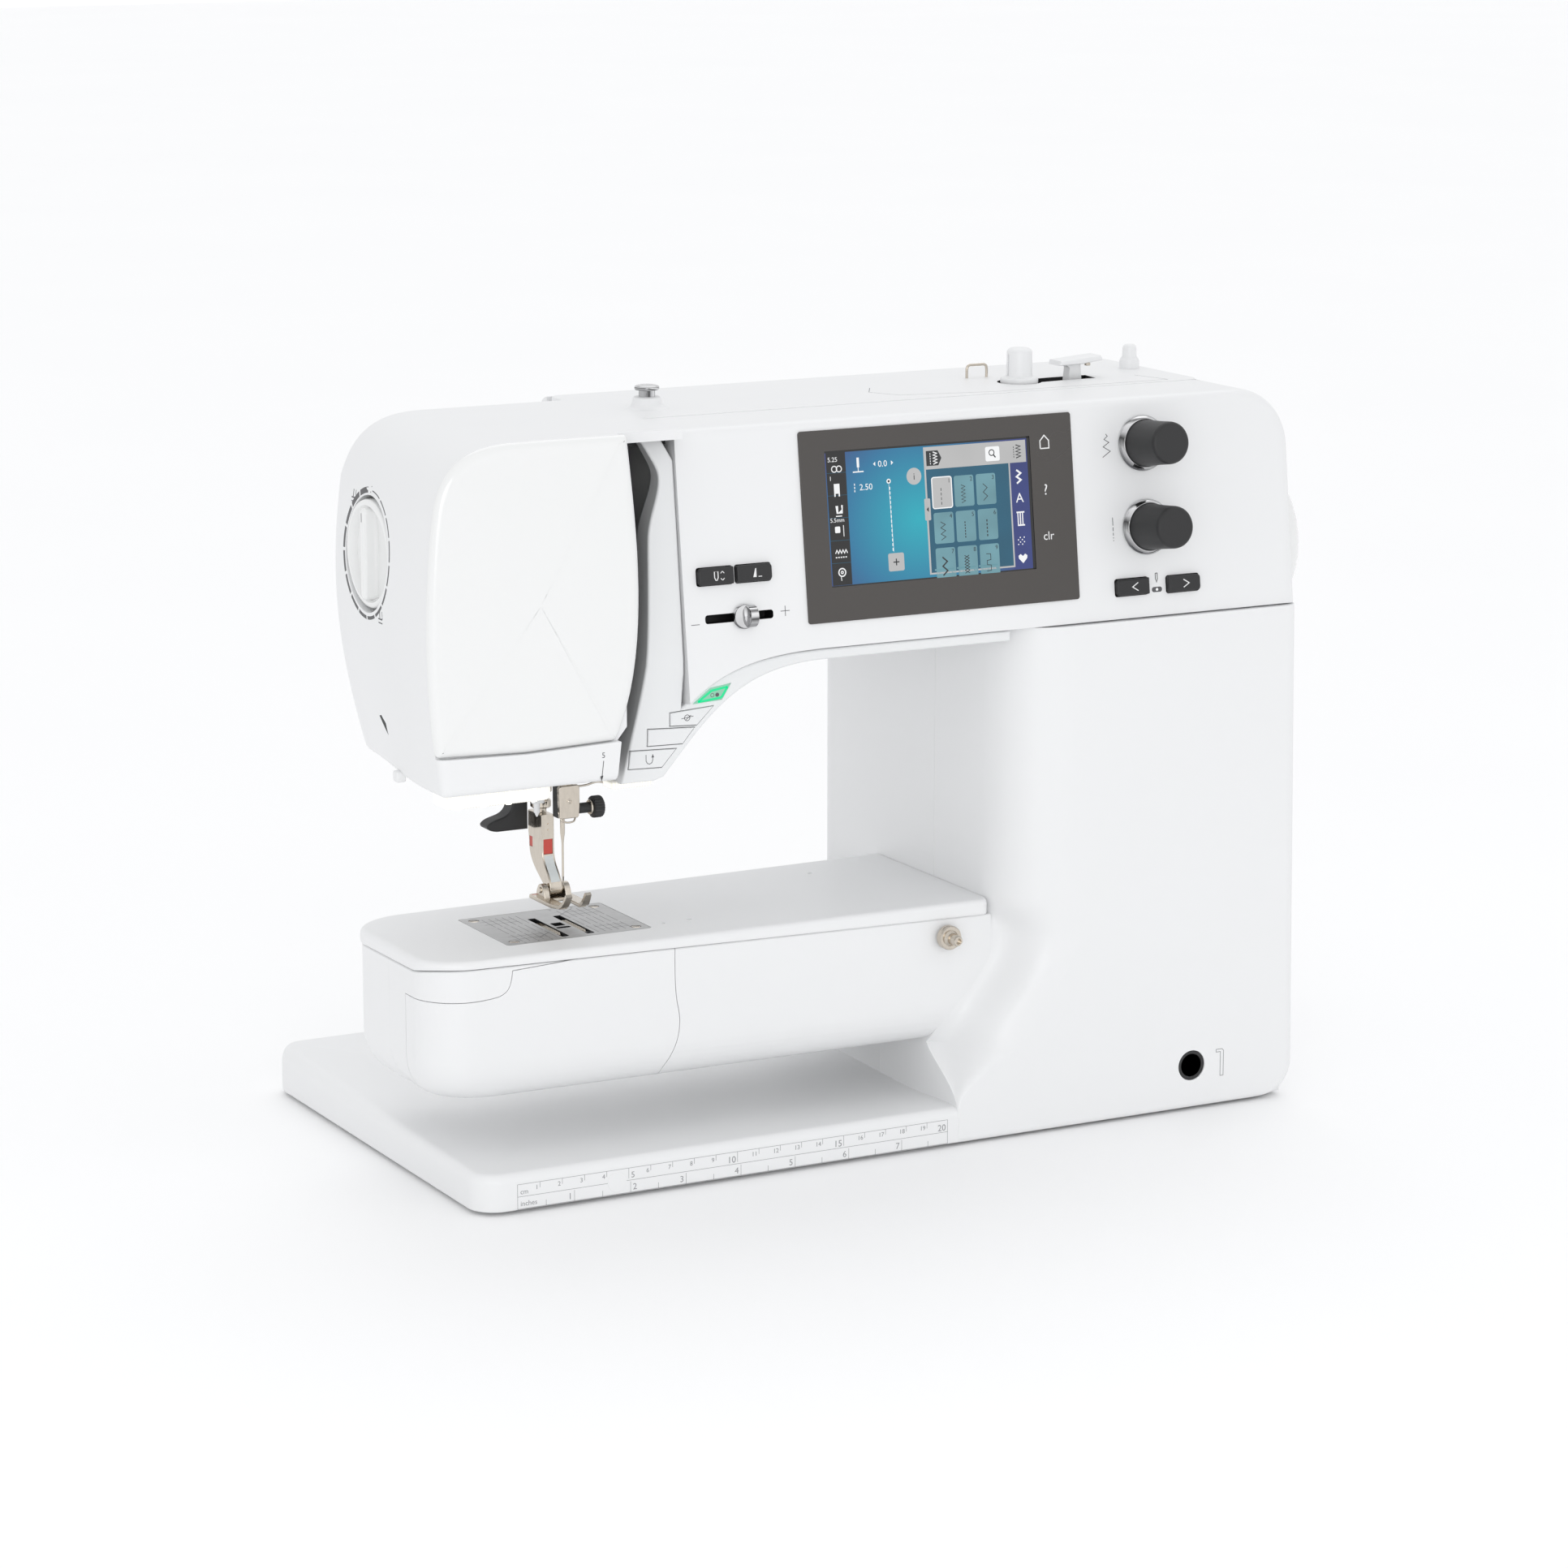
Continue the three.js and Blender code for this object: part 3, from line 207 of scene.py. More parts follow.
def moulded_skin():
    """Fine texture of a moulded face: slow tone drift, dust on what faces up, and a tight grain."""
    def wire(tree, given, put):
        place = node(tree, "TexCoord").outputs["Object"]
        drift = node(tree, "TexNoise", {"Vector": place, "Scale": 14.0, "Detail": 3.0}).outputs["Fac"]
        grain = node(tree, "TexNoise", {"Vector": place, "Scale": given["Grain Scale"],
                "Detail": 2.0}).outputs["Fac"]
        facing = node(tree, "SeparateXYZ",
            {"Vector": node(tree, "NewGeometry").outputs["Normal"]}).outputs["Z"]
        specks = node(tree, "TexNoise", {"Vector": place, "Scale": 900.0, "Detail": 4.0}).outputs["Fac"]
        lying = math_node(tree, "MULTIPLY",
            math_node(tree, "POWER", math_node(tree, "MAXIMUM", facing, 0.0), 3.0), specks)
        dust = math_node(tree, "MULTIPLY", lying, given["Dust"], True)
        drifted = math_node(tree, "MULTIPLY", drift, given["Drift"], True)
        toned = blend_colours(tree, drifted, given["Color"], given["Shade"])
        tree.links.new(blend_colours(tree, dust, toned, given["Shade"]), put["Color"])
        swing = math_node(tree, "MULTIPLY", math_node(tree, "SUBTRACT", drift, 0.5), 0.22)
        rough = math_node(tree, "ADD", math_node(tree, "ADD", given["Roughness"], swing), dust, True)
        tree.links.new(rough, put["Roughness"])
        tree.links.new(grain, put["Height"])
    return effect("moulded_skin", [("Color", "Color", (0.8, 0.8, 0.8, 1)),
            ("Shade", "Color", (0.6, 0.6, 0.6, 1)), ("Roughness", "Float", 0.4),
            ("Grain Scale", "Float", 2500.0), ("Drift", "Float", 0.2), ("Dust", "Float", 0.05)],
        [("Color", "Color"), ("Roughness", "Float"), ("Height", "Float")], wire)


def brushed_lines():
    """Long fine scratches in one direction, as left by a sanding belt."""
    def wire(tree, given, put):
        place = node(tree, "TexCoord").outputs["Object"]
        drawn = node(tree, "Mapping", {"Vector": place, "Scale": given["Stretch"]}).outputs[0]
        lines = node(tree, "TexNoise", {"Vector": drawn, "Scale": 1.0, "Detail": 3.0}).outputs["Fac"]
        marks = node(tree, "TexNoise", {"Vector": place, "Scale": 160.0, "Detail": 3.0}).outputs["Fac"]
        both = math_node(tree, "ADD", math_node(tree, "MULTIPLY", lines, 0.7),
            math_node(tree, "MULTIPLY", marks, 0.3))
        tree.links.new(blend_colours(tree, both, given["Color"], given["Shade"]), put["Color"])
        swing = math_node(tree, "MULTIPLY", math_node(tree, "SUBTRACT", both, 0.5), 0.5)
        tree.links.new(math_node(tree, "ADD", given["Roughness"], swing, True), put["Roughness"])
        tree.links.new(lines, put["Height"])
    return effect(
        "brushed_lines",
        [("Color", "Color", (0.6, 0.6, 0.6, 1)), ("Shade", "Color", (0.4, 0.4, 0.4, 1)),
         ("Roughness", "Float", 0.3), ("Stretch", "Vector", (200.0, 6000.0, 200.0))],
        [("Color", "Color"), ("Roughness", "Float"), ("Height", "Float")], wire)


def finger_marks():
    """Soft smears that dull a polished face here and there."""
    def wire(tree, given, put):
        place = node(tree, "TexCoord").outputs["Object"]
        smear = node(tree, "TexNoise", {"Vector": place, "Scale": 45.0, "Detail": 5.0,
                "Distortion": 1.2}).outputs["Fac"]
        mask = math_node(tree, "MULTIPLY", math_node(tree, "SUBTRACT", smear, 0.52, True),
            given["Amount"], True)
        tree.links.new(math_node(tree, "ADD", given["Roughness"], mask, True), put["Roughness"])
    return effect("finger_marks", [("Roughness", "Float", 0.1), ("Amount", "Float", 0.8)],
        [("Roughness", "Float")], wire)


def glow_drift():
    """Slow drift of a lit element's tone over its surface."""
    def wire(tree, given, put):
        place = node(tree, "TexCoord").outputs["Object"]
        drift = node(tree, "TexNoise", {"Vector": place, "Scale": given["Scale"],
                "Detail": 1.0}).outputs["Fac"]
        tree.links.new(blend_colours(tree, drift, given["Color"], given["Shade"]), put["Color"])
    return effect("glow_drift", [("Color", "Color", (0.8, 0.8, 0.8, 1)),
            ("Shade", "Color", (0.6, 0.6, 0.6, 1)), ("Scale", "Float", 60.0)], [("Color", "Color")], wire)


# ---- Finishes ------------------------------------------------------------------------------------

MADE = {}


def start_material(name):
    made = bpy.data.materials.new(name)
    made.use_nodes = True
    shader = made.node_tree.nodes["Principled BSDF"]
    return made, made.node_tree, shader


def use_effect(tree, group, **values):
    made = tree.nodes.new("ShaderNodeGroup")
    made.node_tree = group
    for label, value in values.items():
        made.inputs[label.replace("_", " ")].default_value = value
    return made.outputs


def bump(tree, shader, height, strength, distance):
    made = node(tree, "Bump", {"Height": height, "Strength": strength, "Distance": distance})
    tree.links.new(made.outputs[0], shader.inputs["Normal"])


def opaque(rgb, factor=1.0):
    return (*[min(1.0, c * factor) for c in rgb], 1.0)


def moulded(name, rgb, roughness, grain=2600.0, drift=0.25, dust=0.05, depth=0.00003, coat=0.0,
        strength=0.35):
    made, tree, shader = start_material(name)
    out = use_effect(tree, moulded_skin(), Color=opaque(rgb), Shade=opaque(rgb, 0.93), Roughness=roughness,
                     Grain_Scale=grain, Drift=drift, Dust=dust)
    tree.links.new(out["Color"], shader.inputs["Base Color"])
    tree.links.new(out["Roughness"], shader.inputs["Roughness"])
    bump(tree, shader, out["Height"], strength, depth)
    shader.inputs["Coat Weight"].default_value = coat
    shader.inputs["Coat Roughness"].default_value = 0.08
    return made


def metal(name, rgb, roughness, stretch, strength=0.2, shade=0.82):
    made, tree, shader = start_material(name)
    out = use_effect(tree, brushed_lines(), Color=opaque(rgb), Shade=opaque(rgb, shade), Roughness=roughness,
                     Stretch=stretch)
    tree.links.new(out["Color"], shader.inputs["Base Color"])
    tree.links.new(out["Roughness"], shader.inputs["Roughness"])
    bump(tree, shader, out["Height"], strength, 0.00002)
    shader.inputs["Metallic"].default_value = 1.0
    return made


def lit(name, rgb, strength, shade=0.8, scale=60.0):
    """A lit picture element: its colour drifts a little over the surface."""
    made, tree, shader = start_material(name)
    out = use_effect(tree, glow_drift(), Color=opaque(rgb), Shade=opaque(rgb, shade), Scale=scale)
    tree.links.new(out["Color"], shader.inputs["Emission Color"])
    shader.inputs["Base Color"].default_value = (0.01, 0.01, 0.01, 1)
    shader.inputs["Roughness"].default_value = 0.12
    shader.inputs["Emission Strength"].default_value = strength
    return made


def screen_picture():
    """The display's background: bright teal near its middle, deep blue towards its edges."""
    made, tree, shader = start_material("screen_picture")
    place = node(tree, "TexCoord").outputs["Object"]
    low, high = LCD[0] * MM, LCD[1] * MM
    middle = (low.x * 0.56 + high.x * 0.44, (low.y + high.y) / 2, low.z * 0.55 + high.z * 0.45)
    shifted = node(tree, "Mapping",
        {"Vector": place, "Location": [-m * s for m, s in zip(middle, (19, 19, 21))],
            "Scale": (19, 19, 21)}).outputs[0]
    ball = node(tree, "TexGradient", {"Vector": shifted}, gradient_type="SPHERICAL").outputs["Fac"]
    ramp = node(tree, "ValToRGB", {"Fac": ball})
    stops = ramp.color_ramp.elements
    stops[0].color = (0.030, 0.045, 0.20, 1)
    stops[1].color = (0.0, 0.40, 0.50, 1)
    middle_stop = stops.new(0.35)
    middle_stop.color = (0.008, 0.17, 0.34, 1)
    tree.links.new(ramp.outputs[0], shader.inputs["Emission Color"])
    shader.inputs["Base Color"].default_value = (0.01, 0.01, 0.01, 1)
    shader.inputs["Roughness"].default_value = 0.12
    shader.inputs["Emission Strength"].default_value = 0.95
    return made


def polished(name, rgb, roughness, coat):
    made, tree, shader = start_material(name)
    out = use_effect(tree, moulded_skin(), Color=opaque(rgb), Shade=opaque(rgb, 0.96), Roughness=roughness,
                     Grain_Scale=70.0, Drift=0.3, Dust=0.03)
    smears = use_effect(tree, finger_marks(), Roughness=roughness, Amount=0.5)
    tree.links.new(out["Color"], shader.inputs["Base Color"])
    tree.links.new(smears["Roughness"], shader.inputs["Roughness"])
    bump(tree, shader, out["Height"], 0.06, 0.00008)
    shader.inputs["Coat Weight"].default_value = coat
    shader.inputs["Coat Roughness"].default_value = 0.05
    return made


def bright_chrome():
    """Mirror chrome with painted reflections: the light and dark bands that a studio leaves round it are
    painted into its colour by the way each face turns.
    """
    made, tree, shader = start_material("bright_chrome")
    # Painted reflection: the bands follow how each face turns against one fixed direction, not the lights
    facing = node(tree, "VectorMath", {0: node(tree, "NewGeometry").outputs["Normal"],
            1: (0.55, 0.25, 0.80)}, operation="DOT_PRODUCT")
    along = math_node(tree, "MULTIPLY_ADD", facing.outputs["Value"], 0.5)
    ramp = node(tree, "ValToRGB", {"Fac": along})
    stops = ramp.color_ramp.elements
    stops[0].color, stops[1].color = (0.10, 0.10, 0.11, 1), opaque(hues().chrome)
    # Painted reflection bands, dark and light, between near-black and the chrome colour
    for spot, tone in ((0.2, 0.5), (0.33, 0.07), (0.42, 0.62), (0.55, 0.80), (0.64, 0.16), (0.74, 0.78),
            (0.86, 0.45)):
        stops.new(spot).color = (tone, tone, tone * 1.01, 1)
    smears = use_effect(tree, finger_marks(), Roughness=0.07, Amount=0.4)
    tree.links.new(ramp.outputs[0], shader.inputs["Base Color"])
    tree.links.new(smears["Roughness"], shader.inputs["Roughness"])
    shader.inputs["Metallic"].default_value = 1.0
    return made


def clear_cover():
    """Clear moulded lens of the lamps, with fine ribs."""
    made, tree, shader = start_material("lamp_lens")
    place = node(tree, "TexCoord").outputs["Object"]
    ribs = node(tree, "TexWave", {"Vector": place, "Scale": 260.0, "Distortion": 0.4}).outputs["Fac"]
    bump(tree, shader, ribs, 0.5, 0.0002)
    tone = blend_colours(tree, ribs, (0.95, 0.93, 0.86, 1), (0.80, 0.78, 0.70, 1))
    tree.links.new(tone, shader.inputs["Base Color"])
    tree.links.new(tone, shader.inputs["Emission Color"])
    shader.inputs["Roughness"].default_value = 0.12
    shader.inputs["Emission Strength"].default_value = 0.35
    shader.inputs["Coat Weight"].default_value = 0.6
    return made


def rubbed(name, rgb, roughness):
    return moulded(name, rgb, roughness, grain=5200.0, drift=0.5, dust=0.12, depth=0.00006, strength=0.6)


FINISHES = {
    "white_casing": ("white_casing", lambda: moulded("white_moulding", hues().casing, 0.36, dust=0.04)),
    "gloss_white": ("gloss_white", lambda: polished("polished_white", hues().cover, 0.16, 0.55)),
    "pale_trim": ("pale_trim", lambda: moulded("pale_satin", hues().trim, 0.33)),
    "black_plastic": ("black_plastic", lambda: rubbed("soft_black", hues().black, 0.46)),
    # Painted shade: near-black on the cut walls of recesses, slots and holes, and on a box under the lid's
    # opening
    "painted_shade_black": ("black_plastic", lambda: moulded("painted_shade_black", (0.006, 0.006, 0.007), 0.5)),
    "screen_frame": ("screen_frame", lambda: moulded("warm_grey_frame", hues().bezel, 0.3, grain=3200.0)),
    "screen_glass": ("screen_glass", screen_picture),
    "screen_black": ("screen_glass", lambda: lit("screen_black", (0.004, 0.004, 0.005), 0.5)),
    "screen_blue": ("screen_glass", lambda: lit("screen_blue", (0.025, 0.045, 0.23), 1.0, 0.55)),
    "screen_deep": ("screen_glass", lambda: lit("screen_deep", (0.0, 0.10, 0.18), 1.0, 0.7)),
    "screen_tile": ("screen_glass", lambda: lit("screen_tile", (0.16, 0.36, 0.42), 1.0, 0.62, 90.0)),
    "screen_grey": ("screen_glass", lambda: lit("screen_grey", (0.50, 0.50, 0.50), 1.0, 0.85)),
    "screen_white": ("screen_glass", lambda: lit("screen_white", (0.92, 0.93, 0.94), 1.0, 0.9)),
    "screen_ink": ("screen_glass", lambda: lit("screen_ink", (0.02, 0.025, 0.03), 0.6)),
    "lamp_cover": ("lamp_cover", clear_cover),
    "lamp_light": ("lamp_cover", lambda: lit("lamp_light", (1.0, 0.95, 0.78), 5.0, 0.9)),
    "start_light": ("lamp_cover", lambda: lit("start_light", hues().start_glow, 0.95, 0.9)),
    "start_face": ("lamp_cover", lambda: lit("start_face", (0.34, 0.72, 0.52), 0.85, 0.9)),
    "rubber": ("rubber", lambda: rubbed("grey_rubber", (0.03, 0.03, 0.03), 0.8)),
    "satin_steel": ("satin_steel",
        lambda: metal("brushed_steel", hues().steel, 0.42, (150.0, 5200.0, 5200.0), 0.35)),
    "nickel_plate": ("nickel_plate",
        lambda: metal("nickel_plate", hues().nickel, 0.2, (900.0, 900.0, 260.0))),
    # Chrome with painted reflection bands in its colour
    "chrome_trim": ("chrome_trim", bright_chrome),
    "cast_metal": ("cast_metal",
        lambda: metal("cast_metal", (0.32, 0.32, 0.33), 0.55, (1400.0, 1400.0, 1400.0), 0.6)),
    "ink": ("black_plastic", lambda: moulded("printed_ink", hues().ink, 0.5)),
    "grey_ink": ("black_plastic", lambda: moulded("printed_grey", (0.30, 0.30, 0.31), 0.5)),
    "light_ink": ("white_casing", lambda: moulded("printed_white", (0.80, 0.80, 0.80), 0.5)),
    "red_paint": ("nickel_plate", lambda: moulded("red_paint", (0.62, 0.07, 0.05), 0.35)),
    "white_paint": ("nickel_plate", lambda: moulded("white_paint", (0.70, 0.74, 0.74), 0.35)),
}


def finish(name):
    if name not in MADE:
        MADE[name] = FINISHES[name][1]()
    return MADE[name]


# ---- Shapes: points in millimetres and faces -----------------------------------------------------

def arc_share(count):
    return [math.radians(90 * i / count) for i in range(count + 1)]


def round_rect(a0, a1, b0, b1, radii, steps=7):
    """Corner points of a rounded rectangle, anticlockwise from (a0, b0)."""
    most = min(a1 - a0, b1 - b0) / 2 - 0.01
    r = [min(v, most) for v in (radii if hasattr(radii, "__len__") else [radii] * 4)]
    corners = [(a0 + r[0], b0 + r[0], r[0], 180), (a1 - r[1], b0 + r[1], r[1], 270),
               (a1 - r[2], b1 - r[2], r[2], 0), (a0 + r[3], b1 - r[3], r[3], 90)]
    points = []
    for a, b, radius, start in corners:
        for i in range(steps + 1):
            angle = math.radians(start + 90 * i / steps)
            points.append((a + radius * math.cos(angle), b + radius * math.sin(angle)))
    return points


def bezier(a, b, c, d, steps=10):
    """Points along a cubic curve from a to d, with the first left out."""
    points = []
    for i in range(1, steps + 1):
        t, u = i / steps, 1 - i / steps
        w = (u ** 3, 3 * u * u * t, 3 * u * t * t, t ** 3)
        points.append(tuple(sum(k * p[axis] for k, p in zip(w, (a, b, c, d))) for axis in (0, 1)))
    return points


def rings_skin(rings, first=True, last=True):
    """Joins rings of equal point count into one closed skin."""
    count = len(rings[0])
    points = [p for ring in rings for p in ring]
    faces = []
    for s in range(len(rings) - 1):
        for i in range(count):
            a, b = s * count + i, s * count + (i + 1) % count
            faces.append((a, b, b + count, a + count))
    if first:
        faces.append(tuple(reversed(range(count))))
    if last:
        faces.append(tuple(range(len(points) - count, len(points))))
    return points, faces


def at(axis, level, outline):
    """An outline placed across an axis: (x, y) for z, (x, z) for y, (y, z) for x."""
    order = {"z": lambda p: (p[0], p[1], level), "y": lambda p: (p[0], level, p[1]),
        "x": lambda p: (level, p[0], p[1])}
    return [order[axis](p) for p in outline]


def prism(axis, outline, start, end):
    return rings_skin([at(axis, start, outline), at(axis, end, outline)])


def soft_prism(axis, outline_at, start, end, radius, steps=5, both=False):
    """A prism whose end (or both ends) turns over in a quarter round; outline_at takes an inset."""
    way = 1 if end > start else -1
    rings = []
    if both:
        rings += [(start + way * radius * (1 - math.sin(t)), radius * (1 - math.cos(t)))
            for t in reversed(arc_share(steps))]
    else:
        rings.append((start, 0))
    rings += [(end - way * radius * (1 - math.sin(t)), radius * (1 - math.cos(t))) for t in arc_share(steps)]
    rings.append((end, radius + 0.6))
    return rings_skin([at(axis, level, outline_at(inset)) for level, inset in rings])


def rounded(axis, outline, start, end, radius, steps=5, both=False):
    """A soft prism whose outline draws in evenly all round."""
    return soft_prism(axis, lambda inset: inward(outline, inset), start, end, radius, steps, both)


def box_shape(x0, x1, y0, y1, z0, z1):
    return prism("z", [(x0, y0), (x1, y0), (x1, y1), (x0, y1)], z0, z1)


def soft_box(x0, x1, y0, y1, z0, z1, radius, corner=None, axis="z"):
    spans = {"x": (y0, y1, z0, z1, x0, x1), "y": (x0, x1, z0, z1, y0, y1), "z": (x0, x1, y0, y1, z0, z1)}
    a0, a1, b0, b1, start, end = spans[axis]
    corner = radius if corner is None else corner
    outline = lambda inset: round_rect(a0 + inset, a1 - inset, b0 + inset, b1 - inset,
        max(corner - inset, 0.05), 5)
    return soft_prism(axis, outline, start, end, radius, 4, both=True)


def turned(axis, centre, profile, sides=48):
    """A turned piece; profile is (radius, level) from one end to the other, centre on the other two axes."""
    rings = []
    for radius, level in profile:
        circle = [(centre[0] + max(radius, 0.01) * math.cos(2 * math.pi * i / sides),
                   centre[1] + max(radius, 0.01) * math.sin(2 * math.pi * i / sides)) for i in range(sides)]
        rings.append(at(axis, level, circle))
    return rings_skin(rings)


def wire_shape(points, radius, sides=12, steps=8):
    """A round wire along a smooth path through the points, with domed ends."""
    path = []
    spots = [Vector(p) for p in points]
    padded = [2 * spots[0] - spots[1], *spots, 2 * spots[-1] - spots[-2]]
    for i in range(len(spots) - 1):
        a, b, c, d = padded[i:i + 4]
        for s in range(steps):
            t = s / steps
            path.append(0.5 * ((2 * b) + (c - a) * t + (2 * a - 5 * b + 4 * c - d) * t * t
                    + (3 * b - a - 3 * c + d) * t ** 3))
    path.append(spots[-1])
    rings = []
    side = Vector((0.13, 0.94, 0.31))
    for i, p in enumerate(path):
        way = (path[min(i + 1, len(path) - 1)] - path[max(i - 1, 0)]).normalized()
        side = (side - way * side.dot(way)).normalized()
        across = way.cross(side)
        ring = lambda r, shift: [tuple(p + way * shift + (side * math.cos(2 * math.pi * k / sides)
                    + across * math.sin(2 * math.pi * k / sides)) * r) for k in range(sides)]
        if i == 0:
            rings.append(ring(radius * 0.5, -radius * 0.5))
        rings.append(ring(radius, 0))
        if i == len(path) - 1:
            rings.append(ring(radius * 0.5, radius * 0.5))
    return rings_skin(rings)


def together(*shapes):
    """Shapes that stay separate shells of one piece."""
    points, faces = [], []
    for more_points, more_faces in shapes:
        shift = len(points)
        points += list(more_points)
        faces += [tuple(i + shift for i in face) for face in more_faces]
    return points, faces


def moved(shape, rule):
    return [rule(*p) for p in shape[0]], shape[1]


def on_panel(x, out, up):
    """A point in the leaning panel's frame: along it, out of it and up it from the casing seam."""
    turn = math.atan(LEAN)
    level = SEAM_Z + up * math.cos(turn) + out * math.sin(turn)
    return x, ARM_FRONT + up * math.sin(turn) - out * math.cos(turn), level


def panel_shape(shape):
    """A shape built with -Y out of the panel and Z up it, moved on to the panel."""
    return moved(shape, lambda x, y, z: on_panel(x, -y, z))


# ---- Pieces --------------------------------------------------------------------------------------

def mesh_of(name, shape, materials):
    mesh = bpy.data.meshes.new(name)
    mesh.from_pydata([tuple(c * MM for c in p) for p in shape[0]], [], shape[1])
    work = bmesh.new()
    work.from_mesh(mesh)
    bmesh.ops.remove_doubles(work, verts=work.verts, dist=2e-6)
    bmesh.ops.recalc_face_normals(work, faces=work.faces)
    work.to_mesh(mesh)
    work.free()
    for made in materials:
        mesh.materials.append(made)
    return mesh


def scratch(name, shape, material):
    made = bpy.data.objects.new(name, mesh_of(name, shape, [material]))
    bpy.context.scene.collection.objects.link(made)
    return made


def combine(piece, shape, operation, material=None):
    """Cuts a shape from a piece, adds it, or keeps what both share; cut faces take the material."""
    tool = scratch("tool", shape, material or piece.data.materials[0])
    step = piece.modifiers.new("combine", "BOOLEAN")
    step.object, step.operation, step.solver = tool, operation, "EXACT"
    step.material_mode = "TRANSFER"
    bpy.context.view_layer.update()
    result = bpy.data.meshes.new_from_object(piece.evaluated_get(bpy.context.evaluated_depsgraph_get()))
    piece.modifiers.clear()
    old, piece.data = piece.data, result
    result.name = piece.name
    bpy.data.meshes.remove(old)
    bpy.data.objects.remove(tool)
    return piece


def cut(piece, *shapes, material=None):
    return combine(piece, together(*shapes), "DIFFERENCE", material)


def shaded(piece, sharp=32.0):
    mesh = piece.data
    mesh.shade_smooth()
    mesh.set_sharp_from_angle(angle=math.radians(sharp))
    weigh = piece.modifiers.new("weighted_normals", "WEIGHTED_NORMAL")
    weigh.keep_sharp = True
    return piece


def softened(piece, width, angle=40.0, segments=2):
    step = piece.modifiers.new("edges", "BEVEL")
    step.width, step.segments, step.limit_method = width * MM, segments, "ANGLE"
    step.angle_limit = math.radians(angle)
    step.use_clamp_overlap = True
    return piece


def rides(piece, body, finish_name, *stands_for):
    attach(piece, body)
    if stands_for:
        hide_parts(*stands_for)
    return piece


def piece(name, shape, finish_name, body="machine", stands_for=(), sharp=32.0, edge=0.0):
    made = scratch(name, shape, finish(finish_name))
    if edge:
        softened(made, edge)
    shaded(made, sharp)
    return rides(made, body, finish_name, *stands_for)


# ---- Flat marks: polygons in a plane, laid on a surface ------------------------------------------

def stroke(points, width):
    """A line of even width through points, mitred at its bends."""
    left, right = [], []
    for i, p in enumerate(points):
        before = Vector(p) - Vector(points[i - 1]) if i else None
        after = Vector(points[i + 1]) - Vector(p) if i + 1 < len(points) else None
        ways = [v.normalized() for v in (before, after) if v is not None and v.length > 1e-9]
        way = sum(ways, Vector((0, 0)))
        way = way.normalized() if way.length > 1e-6 else ways[0]
        across = Vector((-way.y, way.x))
        bend = abs(across.dot(Vector((-ways[0].y, ways[0].x))))
        reach = width / 2 / max(bend, 0.5)
        left.append(Vector(p) + across * reach)
        right.append(Vector(p) - across * reach)
    points = [tuple(v) for v in left + right]
    n = len(left)
    return points, [(i, i + 1, n + i + 1, n + i) for i in range(n - 1)]


def disc(x, y, radius, sides=24):
    return [(x + radius * math.cos(2 * math.pi * i / sides), y + radius * math.sin(2 * math.pi * i / sides))
            for i in range(sides)], [tuple(range(sides))]


def arc(x, y, radius, width, start, end, steps=10):
    angles = [math.radians(start + (end - start) * i / steps) for i in range(steps + 1)]
    return stroke([(x + radius * math.cos(a), y + radius * math.sin(a)) for a in angles], width)


def circle(x, y, radius, width):
    angles = [2 * math.pi * i / 28 for i in range(28)]
    points = [(x + r * math.cos(a), y + r * math.sin(a))
        for r in (radius + width / 2, radius - width / 2) for a in angles]
    return points, [(i, (i + 1) % 28, 28 + (i + 1) % 28, 28 + i) for i in range(28)]


def patch(*points):
    return list(points), [tuple(range(len(points)))]


def bar(x0, x1, y0, y1):
    return patch((x0, y0), (x1, y0), (x1, y1), (x0, y1))


def tile(x0, x1, y0, y1, radius):
    return patch(*round_rect(x0, x1, y0, y1, radius, 4))


def zigzag(x, y, height, width, teeth, line, taper=0.0):
    points = []
    for i in range(2 * teeth + 1):
        share = i / (2 * teeth)
        reach = width / 2 * (1 - taper * share)
        points.append((x + reach * (1 if i % 2 else -1), y - height / 2 + height * share))
    return stroke(points, line)


def dashes(x, y, height, line, count=5):
    step = height / count
    return together(*[bar(x - line / 2, x + line / 2, y - height / 2 + i * step,
                y - height / 2 + (i + 0.62) * step) for i in range(count)])


def shifted(shape, x, y, scale=1.0, turn=0.0):
    c, s = math.cos(turn) * scale, math.sin(turn) * scale
    return [(x + c * u - s * v, y + s * u + c * v) for u, v in shape[0]], shape[1]


def words(text, x, y, size, align="LEFT"):
    """Plain lettering as flat polygons, its baseline starting at (x, y)."""
    data = bpy.data.curves.new("words", "FONT")
    data.body, data.size, data.align_x = text, size, align
    data.resolution_u = 3
    made = bpy.data.objects.new("words", data)
    bpy.context.scene.collection.objects.link(made)
    bpy.context.view_layer.update()
    mesh = bpy.data.meshes.new_from_object(made.evaluated_get(bpy.context.evaluated_depsgraph_get()))
    shape = [(x + v.co.x, y + v.co.y) for v in mesh.vertices], [tuple(p.vertices) for p in mesh.polygons]
    bpy.data.objects.remove(made)
    bpy.data.curves.remove(data)
    bpy.data.meshes.remove(mesh)
    return shape


def mark(name, shapes, place, finish_name, body="machine", lift=None):
    """Flat marks with a little thickness; place turns (u, v, height) into a point in millimetres."""
    lift = casing().print_lift / MM if lift is None else lift
    flat = together(*shapes)
    count = len(flat[0])
    top = [place(u, v, lift) for u, v in flat[0]]
    under = [place(u, v, -0.02) for u, v in flat[0]]
    edges = {}
    for face in flat[1]:
        for a, b in zip(face, face[1:] + face[:1]):
            edges[frozenset((a, b))] = edges.get(frozenset((a, b)), []) + [(a, b)]
    walls = [(a, b, b + count, a + count) for pair in edges.values() if len(pair) == 1 for a, b in pair]
    faces = list(flat[1]) + [tuple(reversed([i + count for i in face])) for face in flat[1]] + walls
    made = scratch(name, (top + under, faces), finish(finish_name))
    return rides(made, body, finish_name)


